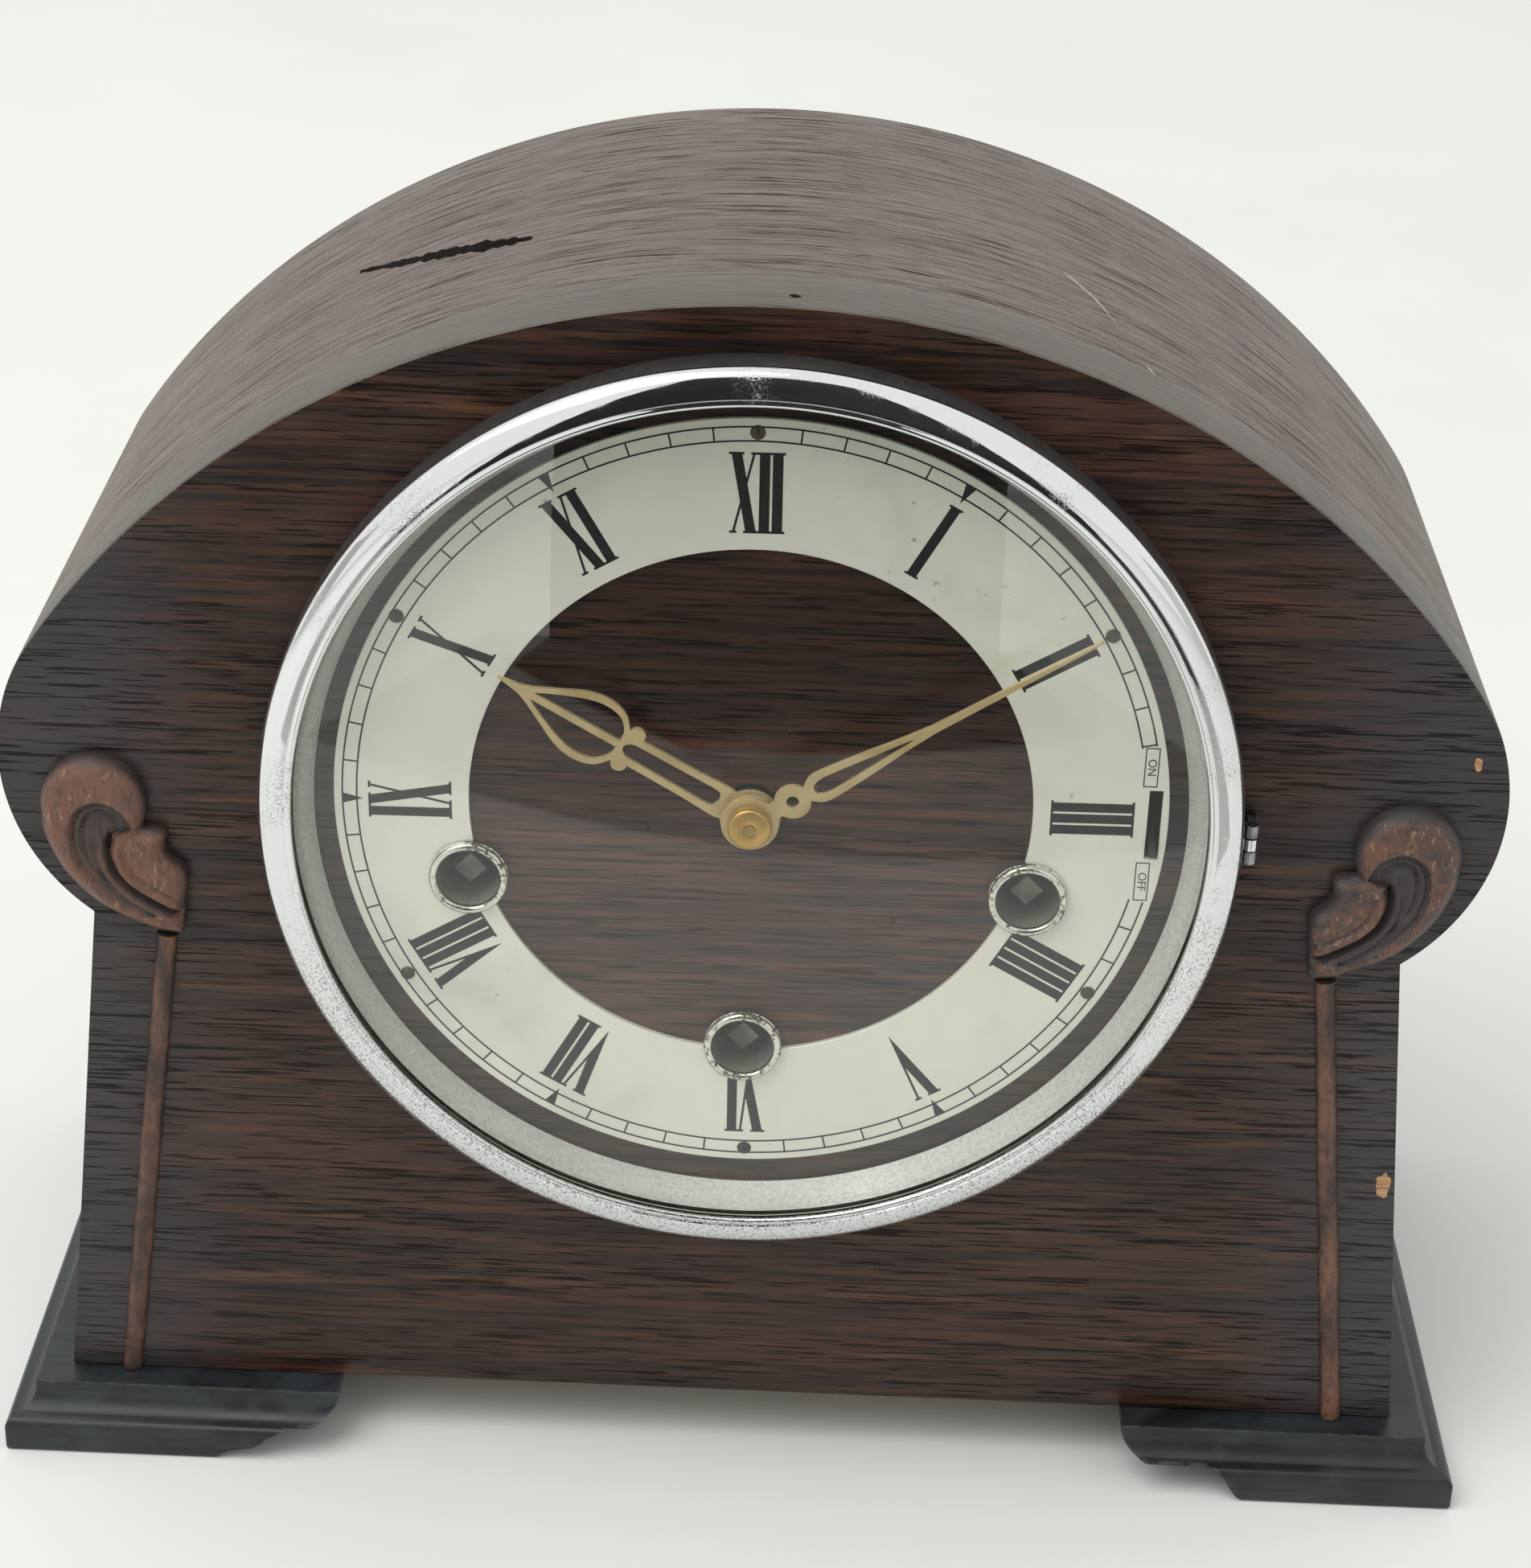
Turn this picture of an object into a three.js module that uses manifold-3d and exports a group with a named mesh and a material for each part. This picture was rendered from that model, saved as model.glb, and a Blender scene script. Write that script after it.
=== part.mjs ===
// Oak mantel clock with an arched top, a hinged glass front and three wound trains.
// Lengths are millimetres. X runs to the viewer's right, Y to the back, Z up from the table.
import * as THREE from 'three';
import { mergeVertices } from 'three/addons/utils/BufferGeometryUtils.js';
import Module from 'manifold-3d';

const wasm = await Module();
wasm.setup();

// Air left between pieces that touch, and the larger air round pieces that turn
const GAP = 0.3;
const RUN = 0.8;

// Case outline, measured from the dial centre
const ARCH_RADIUS = 151.1;
const ARCH_RISE = 91.4;
const LOBE_RADIUS = 38.5;
const LOBE_X = 93;
const NOTCH_DROP = 26.8;
const SIDE_SPLAY = 9.6;
const PANEL_DROP = 126.8;
const CASE_DEPTH = 112;

// Case boards
const PANEL_THICK = 9;
const WRAP_THICK = 7;
const SIDE_THICK = 8;
const FRONT_EDGE = 1.2;
const REAR_EDGE = 3;
const BASE_THICK = 8;
const BACK_THICK = 6;
const BACK_RECESS = 4;

// Feet
const FOOT_HEIGHT = 12.7;
const FOOT_LEDGE = 6;
const FOOT_PROJECTION = 11.3;
const FOOT_FILLET = 1.2;
const FOOT_COVE = 4.6;
const FOOT_TOE = 0.8;
const FOOT_LENGTH = 63;
const FOOT_CORNER = 5.4;
const FOOT_ARCH = 7;
const FOOT_RUN = 9.5;
const FOOT_OGEE = 7.5;
const FOOT_WEB = 22;

// Carved scrolls and half-round beads, measured from the dial centre
const SCROLL_X = 114.8;
const SCROLL_DROP = 4;
const VOLUTE_RADIUS = 8.2;
const SCROLL_THICK = 4.5;
const SCROLL_BEVEL = 1;
const LEAF_SWEEP = 25.5;
const LEAF_IN = 16.3;
const LEAF_EDGE = 13.8;
const LEAF_HEAD = -0.3;
const LEAF_STEP = 13;
const LEAF_LIP = 5;
const LEAF_WAIST = 3.6;
const FLUTE_WIDE = 1;
const FLUTE_DEEP = 1.2;
const FLUTE_PITCH = 6.4;
const FLUTE_FOOT = -77;
const FLUTE_HEAD = -11;
const BEAD_RADIUS = 2;
const BEAD_TOP_X = 103.3;
const BEAD_TOP_DROP = 30.4;
const BEAD_FOOT_X = 114.5;

// Dial
const RING_INNER = 49;
const RING_OUTER = 72.5;
const RING_THICK = 1;
const WIND_X = 49.1;
const WIND_DROP = 15.4;
const LOWER_DROP = 47.8;
const COLLET_RADIUS = 7;
const COLLET_TUBE = 6.2;
const COLLET_BORE = 5.7;
const COLLET_PROUD = 1.5;
const SLOT_X = 70;
const SLOT_WIDE = 2.4;
const SLOT_TALL = 13.4;

// Front door
const BEZEL_DROP = 1.5;
const BEZEL_RADIUS = 85.2;
const BEZEL_BACK = 84.9;
const BEZEL_DEEP = 9.8;
const BEZEL_WALL = 1.3;
const BEZEL_FACE = 5;
const BEZEL_RISE = 2.9;
const BEZEL_LIP = 79;
const SIGHT_INNER = 76;
const SIGHT_THICK = 0.8;
const GLASS_THICK = 1.6;
const GLASS_RISE = 8.4;
const GLASS_CLEAR = 0.3;
const KNUCKLE_RADIUS = 1.3;
const KNUCKLE_TALL = 7.4;
const PIN_RADIUS = 0.5;
const HINGE_BACK = 4;
const LEAF_THICK = 1.2;

// Hands
const HAND_THICK = 0.8;
const HOUR_FRONT = 4.7;
const MINUTE_FRONT = 6.9;
const HOUR_TURN = 300;
const MINUTE_TURN = 57.5;
const HOUR_LONG = 50.4;
const HOUR_BOSS = 5.25;
const HOUR_RAILS = 2.9;
const HOUR_NECK = 25;
const HOUR_PEAR = 6.6;
const HOUR_SHOULDER = 44.5;
const HOUR_BALL = 1.4;
const HOUR_BALL_OUT = 3.2;
const MINUTE_LONG = 69;
const MINUTE_BOSS = 4.25;
const MINUTE_EYE = 8.6;
const MINUTE_EYE_RADIUS = 3.1;
const MINUTE_EYE_HOLE = 1.1;
const MINUTE_LOOP = 2.9;
const MINUTE_LOOP_END = 36;
const HAND_RAIL = 1.3;
const RAILS_LEAN = 0.7;
const PEAR_LEAN = 0.66;
const LOOP_LEAN = 0.5;
const NUT_RADIUS = 3.75;
const NUT_CROWN = 3;
const NUT_FACE = 1.9;
const NUT_TALL = 2.6;

// Movement plates, with Y measured from the face of the front panel
const PLATE_FRONT = 22;
const PLATE_THICK = 2;
const PLATE_HALF = 82;
const PLATE_TOP = 56;
const PLATE_FOOT = 84;
const PLATE_CORNER = 34;
const PILLAR_RADIUS = 3.5;
const PILLAR_X = 74;
const PILLAR_UP = 14;
const PILLAR_DOWN = 76;
const POST_RADIUS = 4;
const POST_X = 66;
const POST_UP = 26;
const POST_DOWN = 74;

// Arbor places, from the dial centre
const INTER_X = 9.3;
const INTER_DROP = 17.7;
const THIRD_X = -12.2;
const THIRD_UP = 14.5;
const ESCAPE_UP = 27;
const STUD_X = -12.7;
const STUD_DROP = 12.7;
const LEVER_X = 30;
const LEVER_REST = -5.8;
const LEVER_THICK = 1.5;
const LEVER_WIDE = 2.5;
const LEVER_HUB = 3.5;
const LEVER_TAB = 1;
const LEVER_TAB_TALL = 3;

// Tooth counts
const GREAT_TEETH = 42;
const INTER_LEAVES = 7;
const INTER_TEETH = 28;
const CENTRE_LEAVES = 7;
const CENTRE_TEETH = 66;
const THIRD_LEAVES = 6;
const THIRD_TEETH = 66;
const ESCAPE_LEAVES = 6;
const ESCAPE_TEETH = 45;
const CANNON_TEETH = 10;
const MINUTE_TEETH = 30;
const MINUTE_LEAVES = 8;
const HOUR_TEETH = 32;
const RATCHET_TEETH = 12;
const DRUM_LEAVES = 7;

// Tooth shape, as shares of the module
const TOOTH_UP = 0.6;
const TOOTH_DOWN = 1.2;

// Wheel levels: three behind the front plate, then two in front of the back plate
const WHEEL_THICK = 2;
const CENTRE_LEVEL = 6;
const THIRD_LEVEL = 16;
const ESCAPE_LEVEL = 22;
const GREAT_LEVEL = 9;
const INTER_LEVEL = 5;
const DRUM_START = 4.5;
const BARREL_WALL = 3.2;

// Shafts
const ARBOR_RADIUS = 3;
const SQUARE_RADIUS = 2.9;
const SQUARE_BACK = 1.5;
const RATCHET_RADIUS = 9;
const RATCHET_THICK = 1.4;
const CENTRE_RADIUS = 1.8;
const TIP_RADIUS = 1.1;
const PIPE_RADIUS = 3.7;
const INTER_RADIUS = 1.2;
const FINE_RADIUS = 0.75;
const STUD_RADIUS = 1.2;
const HOUR_LEVEL = 6.5;
const CANNON_LEVEL = 2.5;

// Escapement and pendulum
const ESCAPE_RADIUS = 12;
const PALLET_CLEAR = 1.4;
const PALLET_BROAD = 2.6;
const PALLET_SPAN = 50;
const PALLET_HUB = 3;
const CRUTCH_LONG = 30;
const CRUTCH_WIDE = 2.4;
const PENDULUM_BACK = 11;
const PENDULUM_LONG = 108;
const ROD_RADIUS = 1.1;
const BOB_RADIUS = 15;
const BOB_THICK = 8;
const BOB_BULGE = 0.7;
const BOB_TAIL = 9;
const SPRING_UP = 5;
const SPRING_WIDE = 4;
const NUT_TURN_RADIUS = 3;
const NUT_TURN_TALL = 3;
const COCK_WIDE = 12;
const COCK_TALL = 12;
const COCK_THICK = 2;

// Chime drum, hammers and rods
const DRUM_TURN = -57.6;
const DRUM_RADIUS = 9;
const DRUM_PIN = 1.4;
const DRUM_PIN_RADIUS = 0.6;
const PIN_COUNT = 3;
const HAMMER_COUNT = 4;
const HAMMER_FIRST = 6;
const HAMMER_PITCH = 6;
const HAMMER_X = 44;
const HAMMER_DROP = 66;
const HAMMER_THICK = 2;
const HAMMER_ARM = 3;
const HAMMER_HUB = 3.6;
const HAMMER_PIVOT = 1.5;
const HEAD_X = 64;
const HEAD_RADIUS = 2.5;
const HEAD_TALL = 9;
const HEAD_CLEAR = 1.5;
const TAIL_CLEAR = 0.6;
const BRACKET_AIR = 4;
const REAR_AIR = 3.7;
const DRUM_AIR = 1;
const BRACKET_WIDE = 10;
const BRACKET_POST_X = 76;
const BRACKET_POST_DROP = 60;
const ROD_DIA = 3.2;
const ROD_RISE = 15;
const ROD_LONG = 150;
const ROD_STEP = 8;
const BLOCK_X = 84;
const BLOCK_WIDE = 22;
const BLOCK_TALL = 24;

// Back door
const DOOR_HALF = 66;
const DOOR_UP = 44;
const DOOR_DOWN = 74;
const DOOR_CORNER = 22;
const DOOR_AIR = 1;
const BACK_HINGE_TALL = 48;
const BACK_KNUCKLE = 1.6;
const BACK_PIN = 0.6;
const BACK_LEAF_WIDE = 12;
const CATCH_LONG = 16;
const CATCH_WIDE = 6;

// Smoothness of curves
const FINE_STEPS = 32;
const ARCH_STEPS = 16;
const LOBE_STEPS = 6;
const ROUND_STEPS = 16;
const SHAFT_STEPS = 8;
const CURVE_STEPS = 8;
const LOOP_STEPS = 10;
const DOME_STEPS = 3;
const NOSE_STEPS = 3;

// Values worked out from the sizes above
const DIAL_Z = FOOT_HEIGHT + PANEL_DROP;
const ARCH_Z = DIAL_Z + ARCH_RISE - ARCH_RADIUS;
const LOBE_Z = ARCH_Z + Math.sqrt((ARCH_RADIUS - LOBE_RADIUS) ** 2 - LOBE_X ** 2);
const LOBE_ANGLE = Math.atan2(LOBE_Z - ARCH_Z, LOBE_X);
const NOTCH_ANGLE = Math.asin((DIAL_Z - NOTCH_DROP - LOBE_Z) / LOBE_RADIUS);
const NOTCH_X = LOBE_X + LOBE_RADIUS * Math.cos(NOTCH_ANGLE);
const FOOT_X = NOTCH_X + SIDE_SPLAY;
const BOTTOM_Z = FOOT_HEIGHT + GAP;
const PANEL_BACK = PANEL_THICK + GAP;
const REAR_FACE = CASE_DEPTH - BACK_RECESS;
const REAR_START = REAR_FACE - BACK_THICK - GAP;
const BASE_TOP = BOTTOM_Z + BASE_THICK;
const RING_BACK = -GAP;
const RING_FRONT = RING_BACK - RING_THICK;
const GLASS_EDGE = GAP - BEZEL_DEEP + BEZEL_WALL;
const FRONT_MOST = GLASS_EDGE - GLASS_RISE;
const MID_DEPTH = (FRONT_MOST + CASE_DEPTH) / 2;
const PLATE_INNER = PLATE_FRONT + PLATE_THICK;
const LAST_HAMMER = HAMMER_FIRST + (HAMMER_COUNT - 1) * HAMMER_PITCH;
const BRACKET_LEVEL = LAST_HAMMER + BRACKET_AIR;
const PLATE_REAR = REAR_START - BRACKET_LEVEL - PLATE_THICK - REAR_AIR;
const BACK_PLATE = PLATE_REAR - PLATE_THICK;
const HINGE_X = BEZEL_RADIUS + KNUCKLE_RADIUS + GAP;
const HINGE_Y = -HINGE_BACK;
const SCROLL_BACK = -GAP;
const DEG = Math.PI / 180;

// A place in the dial's plane, given from the dial centre
function place(x, up) {
  return new THREE.Vector2(x, DIAL_Z + up);
}

const CENTRE = place(0, 0);
const BEZEL_CENTRE = place(0, -BEZEL_DROP);
const TIME = place(0, -LOWER_DROP);
const STRIKE = place(-WIND_X, -WIND_DROP);
const CHIME = place(WIND_X, -WIND_DROP);
const INTER = place(INTER_X, -INTER_DROP);
const THIRD = place(THIRD_X, THIRD_UP);
const ESCAPE = place(0, ESCAPE_UP);
const STUD = place(STUD_X, -STUD_DROP);
const LEVER = place(LEVER_X, 0);
const PALLET = place(0, ESCAPE_UP + ESCAPE_RADIUS * Math.SQRT2);
const HAMMER = place(HAMMER_X, -HAMMER_DROP);
const BRACKET_POST = place(BRACKET_POST_X, -BRACKET_POST_DROP);

// Size of one tooth for two gears that meet
function moduleOf(a, b, teethA, teethB) {
  return (2 * a.distanceTo(b)) / (teethA + teethB);
}

const GREAT_MODULE = moduleOf(TIME, INTER, GREAT_TEETH, INTER_LEAVES);
const INTER_MODULE = moduleOf(INTER, CENTRE, INTER_TEETH, CENTRE_LEAVES);
const CENTRE_MODULE = moduleOf(CENTRE, THIRD, CENTRE_TEETH, THIRD_LEAVES);
const THIRD_MODULE = moduleOf(THIRD, ESCAPE, THIRD_TEETH, ESCAPE_LEAVES);
const CANNON_MODULE = moduleOf(CENTRE, STUD, CANNON_TEETH, MINUTE_TEETH);
const HOUR_MODULE = moduleOf(CENTRE, STUD, HOUR_TEETH, MINUTE_LEAVES);
const DRUM_REACH = (GREAT_MODULE * (GREAT_TEETH + DRUM_LEAVES)) / 2;
const DRUM = new THREE.Vector2(
  CHIME.x + DRUM_REACH * Math.cos(DRUM_TURN * DEG),
  CHIME.y + DRUM_REACH * Math.sin(DRUM_TURN * DEG),
);
const BARREL_RADIUS = (GREAT_MODULE * GREAT_TEETH) / 2 - BARREL_WALL;
const ROD_Z = BASE_TOP + ROD_RISE;

// Colours and surface of each stuff the clock is made of
const FINISHES = {
  oak: [0x3a2a24, 0.5, 0],
  wrap: [0x4a4038, 0.45, 0],
  ebonised: [0x1b1a1c, 0.5, 0],
  carved: [0x5a3a28, 0.6, 0],
  inside: [0x8a6a48, 0.8, 0],
  chrome: [0xc8c8c8, 0.15, 1],
  silver: [0xcfcdc2, 0.4, 0.6],
  brass: [0xb8964c, 0.35, 1],
  steel: [0x8a8d90, 0.35, 1],
  iron: [0x35363a, 0.6, 0.7],
  glass: [0xe8f0f0, 0.05, 0],
  leather: [0x6a4a30, 0.9, 0],
};

// A named piece with its own material
function piece(name, geometry, finish) {
  const [color, roughness, metalness] = FINISHES[finish];
  const material = new THREE.MeshStandardMaterial({ color, roughness, metalness });
  if (finish === 'glass') {
    material.transparent = true;
    material.opacity = GLASS_CLEAR;
  }
  const mesh = new THREE.Mesh(geometryOf(solidOf(geometry)), material);
  mesh.name = name;
  return mesh;
}

// Signed volume tells whether the skin faces outwards
function signedVolume(points, index) {
  let sum = 0;
  const a = new THREE.Vector3();
  const b = new THREE.Vector3();
  const c = new THREE.Vector3();
  for (let i = 0; i < index.length; i += 3) {
    a.fromArray(points, index[i] * 3);
    b.fromArray(points, index[i + 1] * 3);
    c.fromArray(points, index[i + 2] * 3);
    sum += a.dot(b.cross(c));
  }
  return sum;
}

// A geometry as a closed solid
function solidOf(geometry) {
  const bare = geometry.clone();
  bare.deleteAttribute('normal');
  bare.deleteAttribute('uv');
  const merged = mergeVertices(bare);
  const points = merged.attributes.position.array;
  const source = merged.index.array;
  const kept = [];
  for (let i = 0; i < source.length; i += 3) {
    const [a, b, c] = [source[i], source[i + 1], source[i + 2]];
    if (a !== b && b !== c && c !== a) {
      kept.push(a, b, c);
    }
  }
  if (signedVolume(points, kept) < 0) {
    kept.reverse();
  }
  const mesh = new wasm.Mesh({
    numProp: 3,
    vertProperties: new Float32Array(points),
    triVerts: new Uint32Array(kept),
  });
  return new wasm.Manifold(mesh);
}

// A closed solid as a geometry
function geometryOf(solid) {
  const mesh = solid.getMesh();
  const geometry = new THREE.BufferGeometry();
  geometry.setAttribute('position', new THREE.BufferAttribute(new Float32Array(mesh.vertProperties), 3));
  geometry.setIndex(new THREE.BufferAttribute(new Uint32Array(mesh.triVerts), 1));
  geometry.computeVertexNormals();
  return geometry;
}

// Several shapes made into one
function fuse(...shapes) {
  return geometryOf(shapes.map(solidOf).reduce((whole, next) => whole.add(next)));
}

// One shape with others taken out of it
function carve(body, ...tools) {
  return geometryOf(tools.map(solidOf).reduce((whole, next) => whole.subtract(next), solidOf(body)));
}

// What two shapes have in common
function common(a, b) {
  return geometryOf(solidOf(a).intersect(solidOf(b)));
}

// The same shape seen in a mirror
function mirrored(geometry) {
  const copy = geometry.clone();
  copy.scale(-1, 1, 1);
  return geometryOf(solidOf(copy));
}

// One point of a circle in the dial's plane
function onCircle(at, radius, angle) {
  return new THREE.Vector2(at.x + radius * Math.cos(angle), at.y + radius * Math.sin(angle));
}

// Points along an arc in the dial's plane
function arc(x, z, radius, from, to, steps) {
  const points = [];
  for (let i = 0; i <= steps; i += 1) {
    const angle = from + ((to - from) * i) / steps;
    points.push(onCircle(new THREE.Vector2(x, z), radius, angle));
  }
  return points;
}

// A flat outline pushed from one depth to another
function slab(outline, front, back, holes = []) {
  const shape = new THREE.Shape(outline);
  for (const hole of holes) {
    shape.holes.push(new THREE.Path(hole));
  }
  const geometry = new THREE.ExtrudeGeometry(shape, { depth: back - front, bevelEnabled: false, steps: 1 });
  geometry.rotateX(Math.PI / 2);
  geometry.translate(0, back, 0);
  return geometry;
}

// A straight-sided block between two corners
function block(x0, x1, y0, y1, z0, z1) {
  const geometry = new THREE.BoxGeometry(x1 - x0, y1 - y0, z1 - z0);
  geometry.translate((x0 + x1) / 2, (y0 + y1) / 2, (z0 + z1) / 2);
  return geometry;
}

// A round bar that runs from front to back
function shaft(at, radius, front, back, steps = SHAFT_STEPS) {
  const geometry = new THREE.CylinderGeometry(radius, radius, back - front, steps);
  geometry.translate(at.x, (front + back) / 2, at.y);
  return geometry;
}

// A round piece turned on a front-to-back axis from a closed profile of radius and depth
function turned(at, profile, steps = FINE_STEPS) {
  const points = profile.map(([radius, depth]) => new THREE.Vector2(radius, depth));
  points.push(points[0].clone());
  const geometry = new THREE.LatheGeometry(points, steps);
  geometry.translate(at.x, 0, at.y);
  return geometry;
}

// A full circle as an outline
function circle(at, radius, steps = ROUND_STEPS) {
  return arc(at.x, at.y, radius, 0, 2 * Math.PI, steps).slice(0, -1);
}

// An oblong bar between two places, seen from the front
function bar(a, b, width, front, back) {
  const along = b.clone().sub(a).normalize();
  const across = new THREE.Vector2(-along.y, along.x).multiplyScalar(width / 2);
  const start = [a.clone().add(across), a.clone().sub(across)];
  const end = [b.clone().sub(across), b.clone().add(across)];
  return slab([...start, ...end], front, back);
}

// A toothed outline with pointed teeth, the first tooth at the given angle
function toothed(at, teeth, size, first) {
  const pitch = (size * teeth) / 2;
  const points = [];
  for (let i = 0; i < teeth; i += 1) {
    const tip = first + (2 * Math.PI * i) / teeth;
    const root = tip + Math.PI / teeth;
    points.push(onCircle(at, pitch + TOOTH_UP * size, tip));
    points.push(onCircle(at, pitch - TOOTH_DOWN * size, root));
  }
  return points;
}

// Angle of the first tooth of a driving gear: a tooth points at the other gear
function toothTowards(from, to) {
  return Math.atan2(to.y - from.y, to.x - from.x);
}

// Angle of the first tooth of a driven gear: a space faces the other gear
function spaceTowards(from, to, teeth) {
  return toothTowards(from, to) + Math.PI / teeth;
}

// Case outline from the left notch over the top to the right notch, taken in by a thickness
function archLine(inset) {
  const lobe = LOBE_RADIUS - inset;
  const right = arc(LOBE_X, LOBE_Z, lobe, NOTCH_ANGLE, LOBE_ANGLE, LOBE_STEPS);
  const top = arc(0, ARCH_Z, ARCH_RADIUS - inset, LOBE_ANGLE, Math.PI - LOBE_ANGLE, ARCH_STEPS);
  const left = right.map((p) => new THREE.Vector2(-p.x, p.y)).reverse();
  return [...right, ...top.slice(1, -1), ...left];
}

// Half-width of the splayed part at a height, taken in by a thickness
function sideX(z, inset) {
  const slope = SIDE_SPLAY / (PANEL_DROP - NOTCH_DROP);
  return NOTCH_X + (DIAL_Z - NOTCH_DROP - z) * slope - inset * Math.hypot(1, slope);
}

// Inside point of the joint between wrap and side, at a depth into the wood along the joint
function sideTop(inset) {
  const inward = new THREE.Vector2(-Math.cos(NOTCH_ANGLE), -Math.sin(NOTCH_ANGLE));
  const away = new THREE.Vector2(-inward.y, inward.x).multiplyScalar(GAP);
  return new THREE.Vector2(NOTCH_X, DIAL_Z - NOTCH_DROP).add(away).add(inward.multiplyScalar(inset));
}

// Point square to the side board, level with the notch, at a depth into the wood
function waist(inset) {
  const slope = SIDE_SPLAY / (PANEL_DROP - NOTCH_DROP);
  const square = new THREE.Vector2(-1, -slope).normalize().multiplyScalar(inset);
  return new THREE.Vector2(NOTCH_X, DIAL_Z - NOTCH_DROP).add(square);
}

// Whole board outline, with straight splayed sides down to the bottom
function boardLine(inset, bottom) {
  const left = (p) => new THREE.Vector2(-p.x, p.y);
  const side = new THREE.Vector2(sideX(bottom, inset), bottom);
  const corner = waist(inset);
  return [side, corner, ...archLine(inset), left(corner), left(side)];
}

// A board with a thin edge at the front and rear, so that the panels sit inside it
function stepped(outlineAt, thick) {
  const front = slab(outlineAt(FRONT_EDGE), 0, CASE_DEPTH / 2);
  const middle = slab(outlineAt(thick), PANEL_BACK, REAR_START);
  const rear = slab(outlineAt(REAR_EDGE), CASE_DEPTH / 2, CASE_DEPTH);
  return fuse(front, middle, rear);
}

// Top bent over both shoulders
function topWrap() {
  return stepped((thick) => [...archLine(0), ...archLine(thick).reverse()], WRAP_THICK);
}

// Splayed right side board
function rightSide() {
  const outline = (thick) => [
    sideTop(0),
    sideTop(thick),
    waist(thick),
    new THREE.Vector2(sideX(BOTTOM_Z, thick), BOTTOM_Z),
    new THREE.Vector2(sideX(BOTTOM_Z, 0), BOTTOM_Z),
  ];
  return stepped(outline, SIDE_THICK);
}

// Front board with the holes for hands, winding, lever and hinge
function frontPanel() {
  const holes = [
    circle(CENTRE, PIPE_RADIUS + RUN),
    ...[STRIKE, TIME, CHIME].map((at) => circle(at, COLLET_TUBE + GAP)),
    slotLine(),
    hingeSlot(),
  ];
  return slab(boardLine(FRONT_EDGE + GAP, BOTTOM_Z), 0, PANEL_THICK, holes);
}

// Outline of the upright slot for the chime lever
function slotLine() {
  const half = SLOT_WIDE / 2;
  const tall = SLOT_TALL / 2;
  return rectangle(SLOT_X - half, SLOT_X + half, DIAL_Z - tall, DIAL_Z + tall);
}

// Outline of the slot that holds the leaf of the front hinge
function hingeSlot() {
  const half = LEAF_THICK / 2 + GAP;
  const tall = KNUCKLE_TALL / 2 + GAP;
  const middle = BEZEL_CENTRE.y;
  return rectangle(HINGE_X - half, HINGE_X + half, middle - tall, middle + tall);
}

// A rectangle as an outline
function rectangle(x0, x1, z0, z1) {
  return [
    new THREE.Vector2(x0, z0),
    new THREE.Vector2(x1, z0),
    new THREE.Vector2(x1, z1),
    new THREE.Vector2(x0, z1),
  ];
}

// Board between the sides, behind the front panel
function baseBoard() {
  const inset = SIDE_THICK + GAP;
  const outline = [
    new THREE.Vector2(-sideX(BOTTOM_Z, inset), BOTTOM_Z),
    new THREE.Vector2(sideX(BOTTOM_Z, inset), BOTTOM_Z),
    new THREE.Vector2(sideX(BASE_TOP, inset), BASE_TOP),
    new THREE.Vector2(-sideX(BASE_TOP, inset), BASE_TOP),
  ];
  return slab(outline, PANEL_BACK, REAR_START);
}

// Outline of the back door, wider by an air gap for the opening it closes
function doorLine(air) {
  const half = DOOR_HALF + air;
  const top = DIAL_Z + DOOR_UP + air;
  const low = DIAL_Z - DOOR_DOWN - air;
  const corner = DOOR_CORNER + air;
  return [
    new THREE.Vector2(-half, low),
    new THREE.Vector2(half, low),
    ...arc(half - corner, top - corner, corner, 0, Math.PI / 2, CURVE_STEPS),
    ...arc(corner - half, top - corner, corner, Math.PI / 2, Math.PI, CURVE_STEPS),
  ];
}

// Back board with the door opening
function backPanel() {
  return slab(boardLine(REAR_EDGE + GAP, BOTTOM_Z), REAR_FACE - BACK_THICK, REAR_FACE, [doorLine(DOOR_AIR)]);
}

// Door in the back board
function backDoor() {
  return slab(doorLine(0), REAR_FACE - BACK_THICK, REAR_FACE);
}

const BACK_HINGE = new THREE.Vector2(DOOR_HALF + DOOR_AIR / 2, REAR_FACE + GAP + BACK_KNUCKLE);

// An upright round bar
function upright(x, y, radius, low, high, steps = SHAFT_STEPS) {
  const geometry = new THREE.CylinderGeometry(radius, radius, high - low, steps);
  geometry.rotateX(Math.PI / 2);
  geometry.translate(x, y, (low + high) / 2);
  return geometry;
}

const BACK_HINGE_LOW = DIAL_Z - DOOR_DOWN / 2;

// Fixed leaf of the back hinge with its two outer knuckles and the pin
function backHinge() {
  const low = BACK_HINGE_LOW;
  const third = BACK_HINGE_TALL / 3;
  const top = low + BACK_HINGE_TALL;
  const leaf = block(
    BACK_HINGE.x,
    BACK_HINGE.x + BACK_LEAF_WIDE,
    REAR_FACE + GAP,
    REAR_FACE + GAP + LEAF_THICK,
    low,
    top,
  );
  const lower = upright(BACK_HINGE.x, BACK_HINGE.y, BACK_KNUCKLE, low, low + third);
  const upper = upright(BACK_HINGE.x, BACK_HINGE.y, BACK_KNUCKLE, top - third, top);
  const pin = upright(BACK_HINGE.x, BACK_HINGE.y, BACK_PIN, low, top);
  const room = upright(BACK_HINGE.x, BACK_HINGE.y, BACK_KNUCKLE + GAP, low + third, top - third);
  return fuse(carve(leaf, room), lower, upper, pin);
}

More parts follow.
